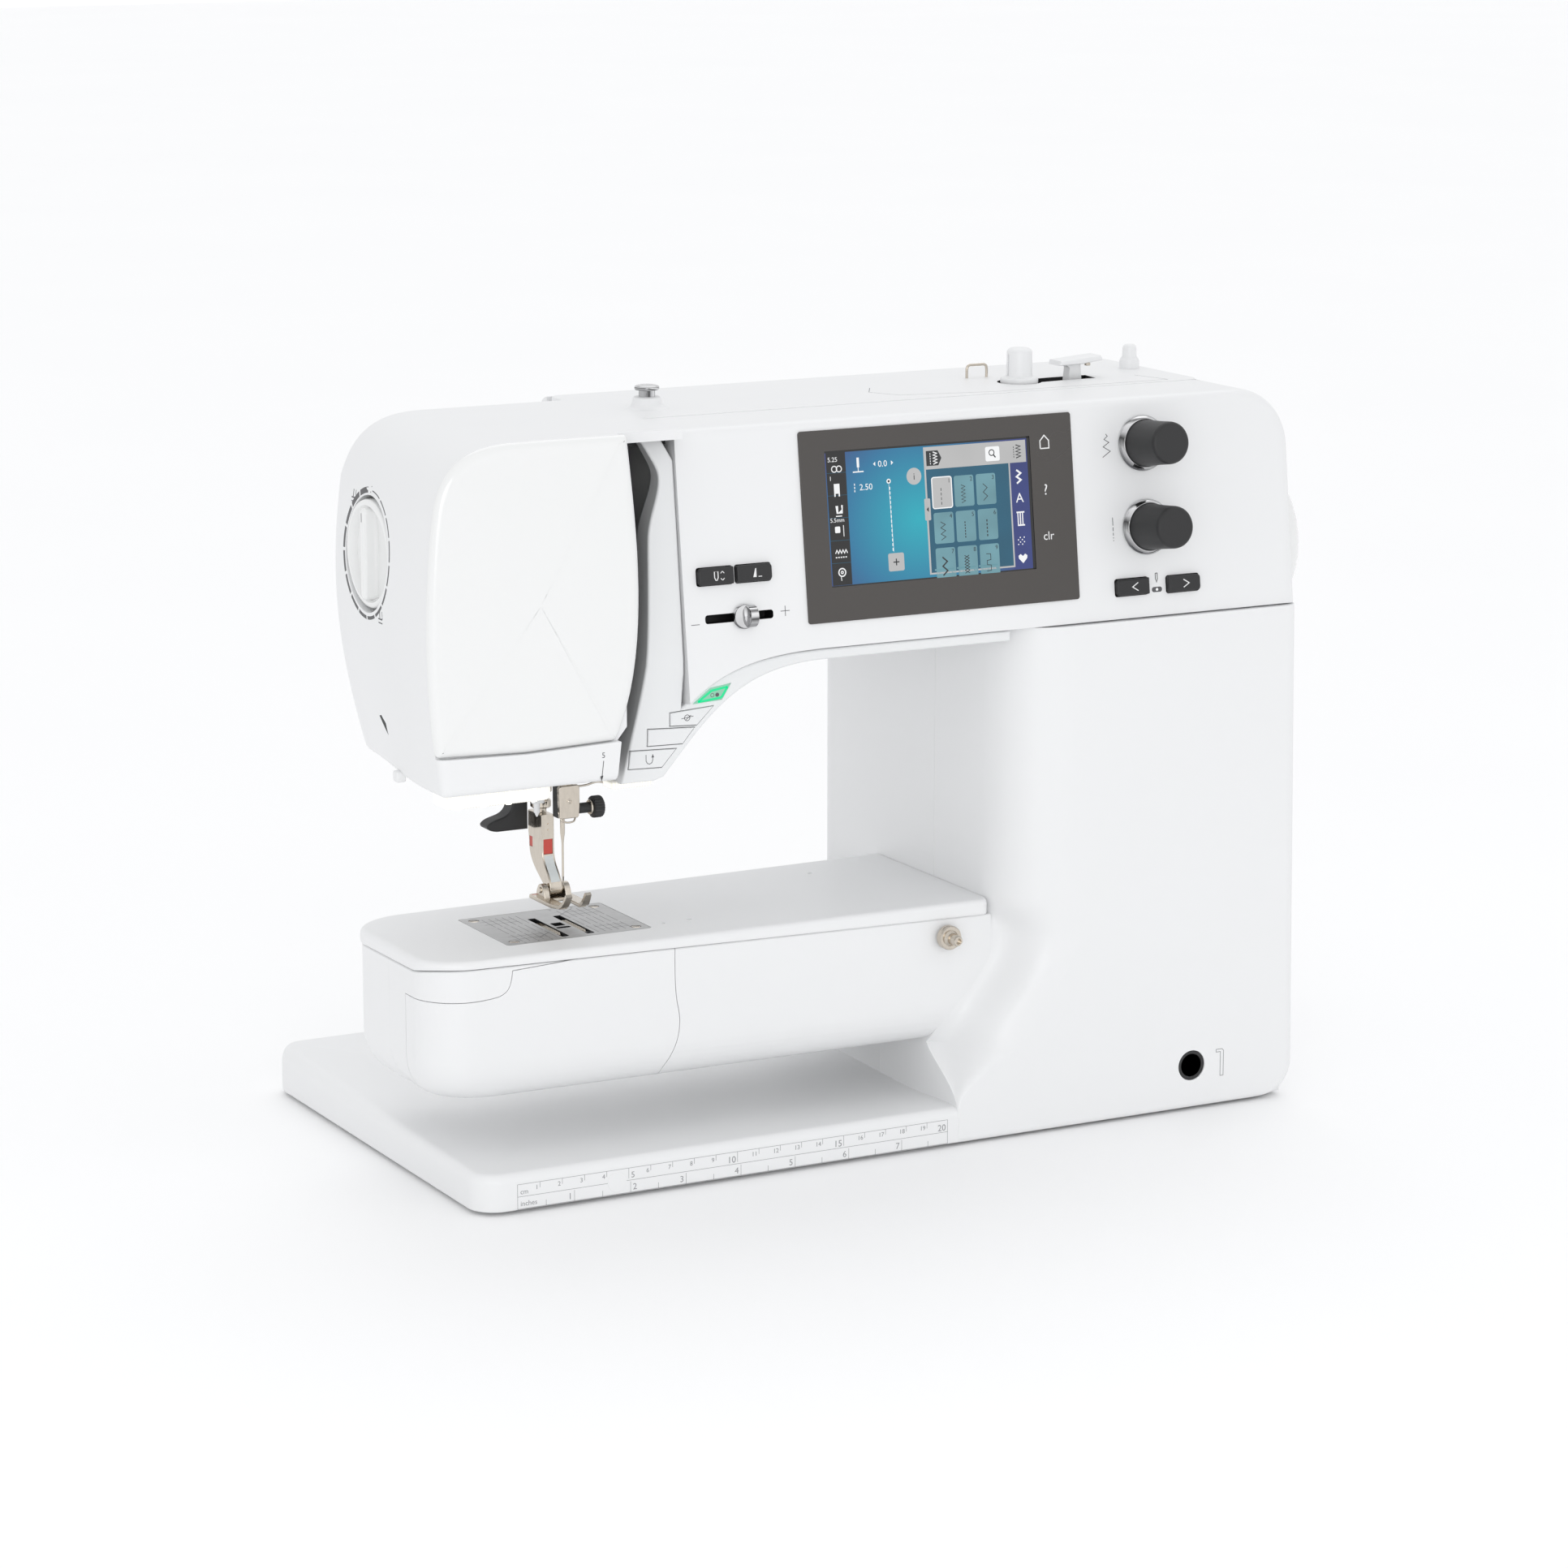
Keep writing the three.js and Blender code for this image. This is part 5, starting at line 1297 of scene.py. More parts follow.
class BuildFreeArm(Operator):
    """Bed, housing and bobbin door of the free arm"""
    bl_idname = "sewing.free_arm"
    bl_label = "Free arm"

    def execute(self, context):
        high = BED[1]
        edge = casing().bed_edge / MM
        outline = lambda inset: [tapered(x, y) for x, y in round_rect(BED_LEFT + inset, high.x,
                BED_FRONT + inset, BED_BACK - inset, [20 - inset * 0.5, 3, 1, 24 - inset * 0.5], 14)]
        rings = [(0.8, 0.0), (0.2, 0.25), (0, 0.8), (0, 1.2)]
        skin_rings = [[(x, y, bed_under(x, y) + up) for x, y in outline(inset)] for inset, up in rings]
        rings = [(edge * (1 - math.cos(t)), high.z - edge + edge * math.sin(t)) for t in arc_share(7)]
        rings += [(edge + 0.8, high.z), (edge + 6, high.z)]
        skin_rings += [at("z", z, outline(inset)) for inset, z in rings]
        bed = scratch("bed_shell", rings_skin(skin_rings), finish("white_casing"))
        a, b = PLATE
        cut(bed, soft_box(a.x - 0.3, b.x + 0.3, a.y - 0.3, b.y + 0.3, a.z - 0.3, b.z + 4, 0.1, 1.8))
        # The hole under the stitch plate takes painted shade
        cut(bed, box_shape(a.x + 8, b.x - 8, a.y + 4, b.y - 4, a.z - 12, b.z + 2),
            material=finish("painted_shade_black"))
        dimples = [turned("z", spot, [(1.1, high.z - 0.5), (1.1, high.z + 1)], 20)
            for spot in ((36, -20), (49, -19), (133, 31))]
        cut(bed, *dimples)
        shaded(bed)
        rides(bed, "machine", "white_casing", "free_arm_bed")

        bottom = HOUSING_LOW

        def skin(inset, from_z, over=-0.35):
            made = []
            heights = [from_z + (58 - from_z) * (1 - math.cos(t)) for t in arc_share(9)] + [64, 72, 80,
                88, 92.4]
            ring = lambda roll: [tapered(x, y) for x, y in round_rect(BED_LEFT + 0.5 + roll,
                    COLUMN_X + 20, BED_FRONT + 0.6 + roll * 0.92, BED_BACK - 2.6 - roll * 0.9,
                    [20, 1, 1, 22], 14)]
            made += [at("z", z, ring(housing_roll(z) + inset)) for z in heights]
            for shrink, under in ((0, over - 0.5), (0.5, over)):
                made.append([(x, y, bed_under(x, y) + under) for x, y in ring(inset + shrink)])
            return rings_skin(made)
        door_right = bezier((25, 43), (29, 52), (33.5, 60), (31.4, 70), 12) + bezier((31.4, 70), (30, 75),
            (29.6, 84), (30, 99), 6)
        notch = bezier((-42.5, 99), (-42.8, 88), (-44.5, 86), (-49, 84.6), 7) + bezier((-49, 84.6),
            (-56, 83.2), (-64, 83.4), (-95, 84.2), 6)
        face = [(-95, 36), (25, 36), *door_right, *notch]
        wrap = [(-95, -16), (-66, -16), (-60, -30), (40, -30), (40, -70), (-95, -70)]

        def door_block(grow):
            block = scratch("block", prism("y", inward(face, -grow), -75, 0), finish("white_casing"))
            combine(block, prism("z", inward(wrap, -grow), 30, 110), "INTERSECT")
            shape = [tuple(v.co / MM) for v in block.data.vertices], [tuple(f.vertices)
                for f in block.data.polygons]
            bpy.data.objects.remove(block)
            return shape
        housing = scratch("housing_shell", skin(0, bottom), finish("white_casing"))
        cut(housing, skin(2.6, bottom + 2.6, 1))
        cover = housing.copy()
        cover.data = housing.data.copy()
        cover.name = "bobbin_door_shell"
        context.scene.collection.objects.link(cover)
        combine(cover, door_block(0), "INTERSECT")
        cut(housing, door_block(0.3))
        cut(housing, box_shape(COLUMN_X + 1, 230, -80, 80, 30, 100))
        for made in (housing, cover):
            shaded(made)
        rides(housing, "machine", "white_casing", "free_arm_housing")
        rides(cover, "bobbin_door", "white_casing", "bobbin_door")
        around = [tapered(x, y) for x, y in round_rect(BED_LEFT + 3.6, COLUMN_X, BED_FRONT + 3.7,
                BED_BACK - 6, [18, 1, 1, 18], 14)]
        front_run = [p for p in around if p[0] < -44.5 and p[1] < -19]
        steps = [(3.4, 84.6), (0.6, 84.9), (-0.1, 85.9), (0.5, 86.9), (2.4, 87.4), (1.4, 88.0),
            (0.9, 89.0), (1.5, 90), (3.0, 90.5), (2.2, 91.2), (1.8, 92.6), (1.8, 95.2), (3.6, 95.4)]
        middle = Vector((-58, -24))
        lip = [[(x + (middle.x - x) * deep / 22, y + (middle.y - y) * deep / 22, z) for deep, z in steps]
            for x, y in front_run]
        piece("finger_rest", rings_skin(lip), "white_casing", edge=0.2)
        side = lambda u, v, lift: (BED_LEFT + 0.5 + housing_roll(v) - lift * 0.2, u, v)
        seam = [(1, 93.6), (1, 62)] + bezier((1, 62), (1, 52), (-3, 47.5), (-9, 44.6), 8)
        mark("end_seam", [stroke(seam, 0.28)], side, "pale_trim")
        return {"FINISHED"}


class BuildStitchPlate(Operator):
    """Brushed stitch plate with its slots and engraved guide lines, and the feed dog"""
    bl_idname = "sewing.stitch_plate"
    bl_label = "Stitch plate and feed"

    def execute(self, context):
        a, b = PLATE
        plate = scratch("stitch_plate_steel", soft_box(a.x, b.x, a.y, b.y, a.z, b.z, 0.25, 1.6),
            finish("satin_steel"))
        x, y = NEEDLE.x, NEEDLE.y
        holes = [soft_box(x + side * 5.8 - 1.7, x + side * 5.8 + 1.7, y + 2.5 - 17, y + 2.5 + 17, a.z - 2,
                b.z + 2, 0.1, 0.6) for side in (-1, 1)]
        holes += [soft_box(x - 3.2, x + 3.2, y - 1.2, y + 1.2, a.z - 2, b.z + 2, 0.1, 1.1),
                  soft_box(x - 2.4, x + 2.4, y + 3, y + 8.4, a.z - 2, b.z + 2, 0.1, 0.4)]
        # The slots' walls take painted shade
        cut(plate, *holes, material=finish("painted_shade_black"))
        screws = [(a.x + 5, a.y + 5), (a.x + 5, b.y - 5), (b.x - 5, a.y + 5), (b.x - 5, b.y - 5)]
        cut(plate, *[turned("z", spot, [(2.3, b.z - 0.5), (2.3, b.z + 1)], 28) for spot in screws])
        shaded(plate)
        rides(plate, "machine", "satin_steel", "stitch_plate")
        heads = []
        for spot in screws:
            heads.append(turned("z", spot, [(2.1, b.z - 0.7), (2.1, b.z - 0.2), (1.8, b.z - 0.05),
                        (0, b.z - 0.02)], 28))
        piece("plate_screws", together(*heads), "nickel_plate")
        lines = [bar(sx - 1.7, sx + 1.7, sy - 0.22, sy + 0.22) for sx, sy in screws]
        for side, reach in ((-1, x - a.x), (1, b.x - x)):
            for i in range(6):
                at_x = x + side * (9.5 + 3.1 * i)
                if abs(at_x - x) < reach - 3:
                    lines += [bar(at_x - 0.12, at_x + 0.12, y0, y1) for y0, y1 in ((a.y + 4, -9), (-7, 4),
                            (6, b.y - 5))]
        for level in (-17, -12, 11, 16):
            lines += [bar(a.x + 6, x - 12, level - 0.1, level + 0.1),
                bar(x + 12, b.x - 7, level - 0.1, level + 0.1)]
        lines += [circle(x + 6, a.y + 6, 1.1, 0.25), stroke([(x + 7, 12), (x + 17, 21)], 0.25),
            stroke([(x - 16, -18), (x - 9, -12)], 0.3)]
        for i, label in enumerate(("5", "4", "3", "2")):
            lines.append(words(label, a.x + 8 + 6 * i, a.y + 1.2, 2.2))
            lines.append(words(label, b.x - 10 - 5 * i, b.y - 3.2, 2.2))
        mark("plate_lines", lines, lambda u, v, h: (u, v, b.z + h * 0.3), "ink")
        dog = span("feed_dog")
        bars = []
        for side in (-1, 1):
            middle = x + side * 5.8
            profile = [(dog[0].y, dog[1].z - 3)]
            for i in range(15):
                start = dog[0].y + 0.4 + i * 1.28
                profile += [(start, dog[1].z - 0.9), (start + 0.9, dog[1].z), (start + 1.1, dog[1].z - 0.1)]
            profile += [(dog[1].y, dog[1].z - 1), (dog[1].y, dog[1].z - 9), (dog[0].y, dog[1].z - 9)]
            bars += [prism("x", profile, middle + shift - 0.5, middle + shift + 0.5) for shift in (-0.6, 0.6)]
            bars.append(box_shape(middle - 1.1, middle + 1.1, dog[0].y, dog[1].y, dog[1].z - 9,
                    dog[1].z - 0.9))
        bars += [box_shape(dog[0].x, dog[1].x, yy - 2, yy + 2, dog[0].z, dog[0].z + 3)
            for yy in (dog[0].y + 2, dog[1].y - 2)]
        piece("feed_dog_teeth", together(*bars), "nickel_plate", "feed_dog", ("feed_dog",), sharp=20)
        return {"FINISHED"}


class BuildScreen(Operator):
    """Screen frame and lit display with its stitch menu"""
    bl_idname = "sewing.screen"
    bl_label = "Screen"

    def execute(self, context):
        left, bottom, width, height = 81.8, 10.6, 129.0, 78.4
        frame_shape = soft_box(left, left + width, -0.9, 1.6, bottom, bottom + height, 0.35, 1.2, "y")
        bezel = scratch("screen_frame_shell", panel_shape(frame_shape), finish("screen_frame"))
        x0, z0, w, h = left + 11.5, bottom + 14.2, 97.0, 55.5
        # The recess round the display takes painted shade on its walls
        cut(bezel, panel_shape(box_shape(x0, x0 + w, -2, -0.55, z0, z0 + h)), material=finish("painted_shade_black"))
        shaded(bezel)
        rides(bezel, "machine", "screen_frame", "screen_bezel")
        display = soft_box(x0 + 0.05, x0 + w - 0.05, -0.62, 0.4, z0 + 0.05, z0 + h - 0.05, 0.05, 0.1, "y")
        piece("display_glass", panel_shape(display), "screen_glass", stands_for=("lcd_glass",))

        def layer(step):
            return lambda u, v, lift: on_panel(x0 + u, 0.62 + 0.012 * step + lift, z0 + v)
        show = lambda name, shapes, step, ink: mark(name, shapes, layer(step), ink, lift=0.01)
        show("menu_column", [bar(0.6, 9.6, 0.6, h - 0.8), bar(0, w, h - 0.8, h), bar(0, w, 0, 0.5),
                bar(w - 1.4, w, 0, h)], 1, "screen_black")
        show("menu_lines", [bar(0.6, 9.6, 9.6 + 9.2 * i, 9.75 + 9.2 * i) for i in range(5)], 2, "screen_deep")
        show("choice_column", [bar(w - 10.6, w - 1.4, 0.6, h - 0.8)], 1, "screen_blue")
        show("menu_field", [bar(47, w - 10.6, 2.2, h - 10.6)], 1, "screen_deep")
        rows, columns = (41.4, 26.8, 12.2), (49.4, 59.9, 70.4)
        frames = [bar(46.2, 47, 1.6, h - 2), bar(46.2, w - 10, 1.6, 2.3),
            bar(w - 10.6, w - 9.9, 1.6, h - 10.4)]
        show("menu_bar", [bar(46.2, w - 2, h - 10.6, h - 1.4), *frames, tile(45.4, 48.2, 24, 33, 0.5),
                          tile(27, 34.4, 4.4, 11.8, 0.8), disc(41.2, 42.6, 3.5)], 2, "screen_grey")
        tiles = [tile(x, x + 9.3, y - 12.8, y, 0.9) for y in rows for x in columns]
        show("stitch_tiles", tiles[1:] + [bar(48.6 + 10.5 * i, 57.6 + 10.5 * i, -3.6 + 6.6, 3.7)
                for i in range(3)], 2, "screen_tile")
        show("picked_tile", [tile(columns[0], columns[0] + 9.3, rows[0] - 12.8, rows[0], 0.9)], 2,
            "screen_grey")
        rim = round_rect(columns[0], columns[0] + 9.3, rows[0] - 12.8, rows[0], 0.9, 4)
        search = [tile(w - 21.4, w - 14.6, h - 9.2, h - 3.2, 0.7)]
        zig = zigzag(w - 5.6, h - 6, 5.4, 2.2, 4, 0.5)
        white = [stroke(rim + rim[:1], 0.45), *search, zigzag(w - 6, h - 16.5, 5.6, 2, 2, 0.75),
            words("A", w - 7.9, h - 27.2, 5.6)]
        white += [bar(w - 7.6 + 1.1 * i, w - 7.1 + 1.1 * i, h - 36.4, h - 31.6) for i in range(3)]
        white += [bar(w - 8, w - 4.2, h - 31.6, h - 31), bar(w - 7.6, w - 4.2, h - 37, h - 36.4)]
        white += [bar(w - 8 + 0.95 * i, w - 7.5 + 0.95 * i, h - 44.9 + 0.95 * j, h - 44.4 + 0.95 * j)
                  for i in range(4) for j in range(4) if (i + j) % 2 == 0]
        heart = [(0, -2.2), (2, -0.1), (2.1, 1), (1.1, 1.7), (0, 0.8), (-1.1, 1.7), (-2.1, 1), (-2, -0.1)]
        white += [shifted(patch(*heart), w - 6, h - 50.4)]
        white += [stroke([(12.8, 46.2), (17.8, 46.2)], 0.5), bar(14.8, 15.9, 48, 52),
            bar(15.2, 15.5, 46, 48), words("0.0", 24.6, 47.6, 3.6),
            patch((22.4, 48.9), (23.4, 49.8), (23.4, 48)), patch((31.8, 48.9), (30.8, 49.8), (30.8, 48)),
            words("2.50", 15.4, 38.6, 3.6), dashes(13.2, 40, 4, 0.4, 3), disc(29.2, 41.4, 1.0),
            stroke([(29.2, 40.2), (29.8, 12.4)], 0.14), dashes(29.5, 26.3, 27, 0.42, 14)]
        white += [words("5.25", 1.3, 51, 2.7), words("1", 1.6, 43.4, 2.5), words("5.5mm", 1.0, 26.4, 2.4)]
        white += [circle(4.2, 48, 1.2, 0.4), circle(6.4, 48, 1.2, 0.4), bar(3.6, 6.2, 38, 42),
            bar(3.6, 4.2, 36.8, 38), bar(5.6, 6.2, 36.8, 38), bar(3.8, 6.6, 28.6, 29),
            patch((3.8, 33), (5, 33), (5, 30.2), (6.6, 31.4), (6.4, 33.2), (7.2, 33.2), (7, 29.8),
                (4.2, 29.8)), tile(3, 5.4, 22, 24.6, 0.4), stroke([(7, 20.4), (7, 25)], 0.3),
            zigzag_flat(2.6, 13.6, 5.6, 1.4, 4, 0.4), dashes_flat(2.6, 12, 5.6, 0.5, 5),
            circle(5.2, 5.8, 1.6, 0.5), circle(5.2, 5.8, 0.5, 0.4), stroke([(4.6, 4), (4.8, 2.4)], 0.3)]
        show("screen_icons", white, 3, "screen_white")
        ink = [words(str(i + 1), x + 8.8, y - 2.5, 2.5, "RIGHT")
            for i, (x, y) in enumerate((x, y) for y in rows for x in columns)]
        spots = [(x + 4.2, y - 7.6) for y in rows for x in columns]
        ink += [dashes(*spots[0], 7.6, 0.3, 4), zigzag(*spots[1], 7.4, 1.9, 5, 0.28),
            zigzag(*spots[2], 7, 2, 2, 0.28), zigzag(*spots[3], 7.6, 2.2, 3, 0.28),
            dashes(*spots[4], 7.2, 0.45, 6), dashes(*spots[5], 7.6, 0.5, 5),
            zigzag(*spots[6], 7.6, 2.2, 2, 0.6), zigzag(*spots[7], 7.4, 2.2, 3, 0.3),
            shifted(zigzag(0, 0, 7.4, 2.2, 3, 0.3), *spots[7], turn=math.pi),
            stroke([(spots[8][0] + dx, spots[8][1] + dz) for dx, dz in ((-1.2, 3.6), (0.9, 3.4),
                        (0.9, 1), (-0.9, 0.8), (-0.9, -1), (0.9, -1.2), (0.9, -3.4), (-1.2, -3.6))],
                0.28)]
        ink += [zig, dashes(w - 7.8, h - 6, 5, 0.3, 5), circle(w - 18.4, h - 5.7, 1.2, 0.42),
            stroke([(w - 17.6, h - 6.6), (w - 16.6, h - 7.8)], 0.55), bar(29.3, 32.1, 7.85, 8.35),
            bar(30.45, 30.95, 6.7, 9.5), patch((46.3, 28.5), (47.3, 29.6), (47.3, 27.4)),
            words("i", 40.8, 41.2, 4), disc(29.2, 41.4, 0.5), patch((47.4, h - 9.2), (53, h - 9.2),
                (54.6, h - 6.2), (53, h - 3), (47.4, h - 3))]
        show("screen_marks", ink, 4, "screen_ink")
        show("tab_stitch", [zigzag(51.6, h - 6.1, 5, 1.8, 4, 0.45), dashes(49.3, h - 6.1, 5, 0.3, 5)], 5,
            "screen_white")
        beside = lambda u, v, lift: on_panel(left + 115.6 + u, 0.9 + lift, bottom + v)
        home = [(-2.1, -2.4), (2.1, -2.4), (2.1, 0.8), (0, 3), (-2.1, 0.8)]
        icons = [stroke([(x, z + 66.5) for x, z in home + home[:1]], 0.5), words("?", -1.6, 44.8, 6.4),
            words("clr", -2.9, 26, 5)]
        mark("frame_icons", icons, beside, "light_ink")
        return {"FINISHED"}


def zigzag_flat(x, y, length_, height, teeth, line):
    return stroke([(x + length_ * i / (2 * teeth), y + (height if i % 2 else 0))
            for i in range(2 * teeth + 1)], line)


def dashes_flat(x, y, length_, line, count):
    step = length_ / count
    return together(*[bar(x + i * step, x + (i + 0.6) * step, y - line / 2, y + line / 2)
            for i in range(count)])


KNOB_X, KNOB_UPS = 245.5, (38.4, 73.7)
SLIDER_UP = 16.4
KEYS = {"needle_stop": (40.3, 33.7), "presser": (57.7, 33.7), "arrow_left": (236.8, 13.6),
    "arrow_right": (262.2, 13.2)}


def key_place(name):
    return (*KEYS[name], 8.0, 3.5)


class BuildControls(Operator):
    """Knobs with chrome rings, dark keys and the speed slider on the control panel"""
    bl_idname = "sewing.controls"
    bl_label = "Panel controls"

    def execute(self, context):
        for name, up in zip(("lower", "upper"), KNOB_UPS):
            grip = [(3, 4), (3, -0.6), (9.9, -1.2), (9.75, -5), (9.2, -14), (8.95, -22), (8.8, -22.9),
                (8.4, -23.6), (7.8, -23.95), (7.2, -24), (6.6, -23.85), (0, -23.75)]
            piece(f"knob_{name}_grip", panel_shape(turned("y", (KNOB_X, up), grip, 72)), "black_plastic",
                "knob_" + name, ("knob_" + name,), sharp=50)
            ring = [(3.2, -0.35), (11.4, -0.35), (11.75, -0.7), (11.75, -1.6), (11.3, -2.3), (10.6, -3.1),
                (10.1, -3.3), (9.85, -3.0), (9.8, -0.5), (3.2, -0.5)]
            piece(f"knob_{name}_ring", panel_shape(turned("y", (KNOB_X, up), ring, 72)), "chrome_trim",
                "knob_" + name, sharp=60)
        for name in KEYS:
            x, up, half_w, half_h = key_place(name)
            outer_left = name in ("needle_stop", "arrow_left")
            radii = [1.7, 0.5, 0.5, 1.7] if outer_left else [0.5, 1.7, 1.7, 0.5]
            outline = lambda inset: round_rect(x - half_w + inset, x + half_w - inset,
                up - half_h + inset, up + half_h - inset, [max(r - inset, 0.2) for r in radii], 6)
            rings = [(4, 0), (-1.4, 0)]
            rings += [(-1.4 - 0.75 * math.sin(t), 0.75 * (1 - math.cos(t))) for t in arc_share(4)[1:]]
            rings += [(-2.15, 1.0), (-1.95, 2.0)]
            key = rings_skin([at("y", y, outline(inset)) for y, inset in rings])
            piece("key_" + name + "_cap", panel_shape(key), "black_plastic", "key_" + name,
                ("key_" + name,), sharp=40)
            place = lambda u, v, lift, x=x, up=up: on_panel(x + u, 1.97 + lift, up + v)
            icons = {"needle_stop": [stroke([(-0.9, 2), (-0.9, -0.6), (-0.1, -2.2), (0.7, -0.6), (0.7, 2),
                            (-0.9, 2)], 0.4), stroke([(1.9, 1.0), (2.7, 1.9), (3.5, 1.0)], 0.3),
                    stroke([(1.9, -1.0), (2.7, -1.9), (3.5, -1.0)], 0.3)],
                "presser": [patch((-0.8, -1.7), (0.7, -1.7), (0.7, 1.9), (0.3, 1.9)),
                    bar(1.6, 3.2, -1.7, -1.4)],
                "arrow_left": [stroke([(2.2, 1.7), (-0.6, 0), (2.2, -1.7)], 0.42)],
                "arrow_right": [stroke([(-0.6, 1.7), (2.2, 0), (-0.6, -1.7)], 0.42)],}[name]
            mark("key_" + name + "_icon", icons, place, "light_ink", "key_" + name)
        sx = (span("speed_slider")[0].x + span("speed_slider")[1].x) / 2
        knob = [turned("y", (sx - 0.6, SLIDER_UP), [(5.0, -0.35), (5.0, -1.3), (4.6, -1.75), (0, -1.9)],
                48), turned("x", (-1.3, SLIDER_UP), [(0, sx - 0.4), (3.9, sx - 0.4), (4.5, sx + 0.1),
                    (4.5, sx + 3.6), (3.9, sx + 4.1), (0, sx + 4.1)], 56)]
        stem = box_shape(sx - 2.5, sx + 2.5, -0.4, 6, SLIDER_UP - 1.4, SLIDER_UP + 1.4)
        knob[1] = moved(knob[1], lambda x, y, z: (x, min(y, -0.35), z))
        piece("slider_knob", panel_shape(together(*knob)), "chrome_trim", "speed_slider",
            ("speed_slider",), sharp=45)
        piece("slider_stem", panel_shape(stem), "black_plastic", "speed_slider", edge=0.3)
        place = lambda u, v, lift: on_panel(u, lift, v)
        signs = [bar(28.6, 32.4, SLIDER_UP - 1.8, SLIDER_UP - 1.55),
            bar(69.4, 73.6, SLIDER_UP + 0.6, SLIDER_UP + 0.85),
            bar(71.4, 71.65, SLIDER_UP - 1.4, SLIDER_UP + 2.8)]
        signs += [stroke([(KNOB_X - 17.4 + x, KNOB_UPS[1] + z) for x, z in ((-2.1, -4.8), (1.8, -2.4),
                        (-1.6, -0.4), (1.3, 1.3), (-1.0, 2.7), (0.7, 4), (-0.1, 4.9))], 0.28)]
        signs += [bar(KNOB_X - 16.4, KNOB_X - 16.1, KNOB_UPS[0] + a, KNOB_UPS[0] + b) for a, b in
                  ((1.6, 5), (-0.7, 0.9), (-2.6, -1.4), (-3.8, -3.3), (-4.9, -4.5))]
        middle = 249.4
        signs += [stroke([(middle - 0.5, 18.4), (middle - 0.5, 16), (middle, 14.6), (middle + 0.5, 16),
                    (middle + 0.5, 18.4), (middle - 0.5, 18.4)], 0.35),
            tile(middle - 2.5, middle + 2.5, 10.4, 12.6, 1.0)]
        mark("panel_signs", signs, place, "ink")
        mark("position_light", [disc(middle, 11.5, 0.6)], lambda u, v, lift: on_panel(u, lift + 0.02, v),
            "screen_white")
        return {"FINISHED"}


class BuildStripKeys(Operator):
    """Four flush keys in the strip under the arm; the start key is lit"""
    bl_idname = "sewing.strip_keys"
    bl_label = "Strip keys"

    def execute(self, context):
        front = span("strip_key_secure")[0].y
        for name, corners in STRIP_KEYS.items():
            finish_name = "start_face" if name == "start_stop" else "pale_trim"
            body = "strip_key_" + name
            rings = [at("y", front + 3, corners), at("y", front + 0.9, corners)]
            rings += [at("y", front + 0.9 - 0.5 * math.sin(t), inward(corners, 0.5 * (1 - math.cos(t))))
                for t in arc_share(3)[1:]]
            piece(body + "_cap", rings_skin(rings), finish_name, body, (body,), sharp=40)
            x = sum(c[0] for c in corners) / 4
            z = sum(c[1] for c in corners) / 4
            place = lambda u, v, lift: (u, front + 0.4 - lift, v)
            if name == "start_stop":
                inner = inward(corners, 0.75)
                ring = together(*[stroke([a, b], 0.9) for a, b in zip(inner, inner[1:] + inner[:1])])
                mark(body + "_light", [ring], place, "start_light", body, 0.15)
                icon = [circle(x - 1.0, z - 0.4, 0.75, 0.2), disc(x + 1.2, z - 0.4, 0.85)]
            elif name == "secure":
                icon = [circle(x - 0.4, z, 1.2, 0.25), stroke([(x - 3, z - 0.2), (x + 2.4, z + 0.5)],
                        0.22), stroke([(x - 1, z - 0.8), (x + 1.4, z + 1)], 0.22)]
            elif name == "free":
                continue
            else:
                icon = [stroke([(x - 1.6, z + 2), (x - 1.6, z - 0.6), (x - 1, z - 1.6), (x, z - 1.9),
                            (x + 1, z - 1.4), (x + 1.4, z - 0.4), (x + 1.4, z + 0.9)], 0.25),
                    patch((x + 1.4, z + 2.1), (x + 0.8, z + 0.7), (x + 2.0, z + 0.7))]
            mark(body + "_icon", icon, place, "ink", body)
        return {"FINISHED"}


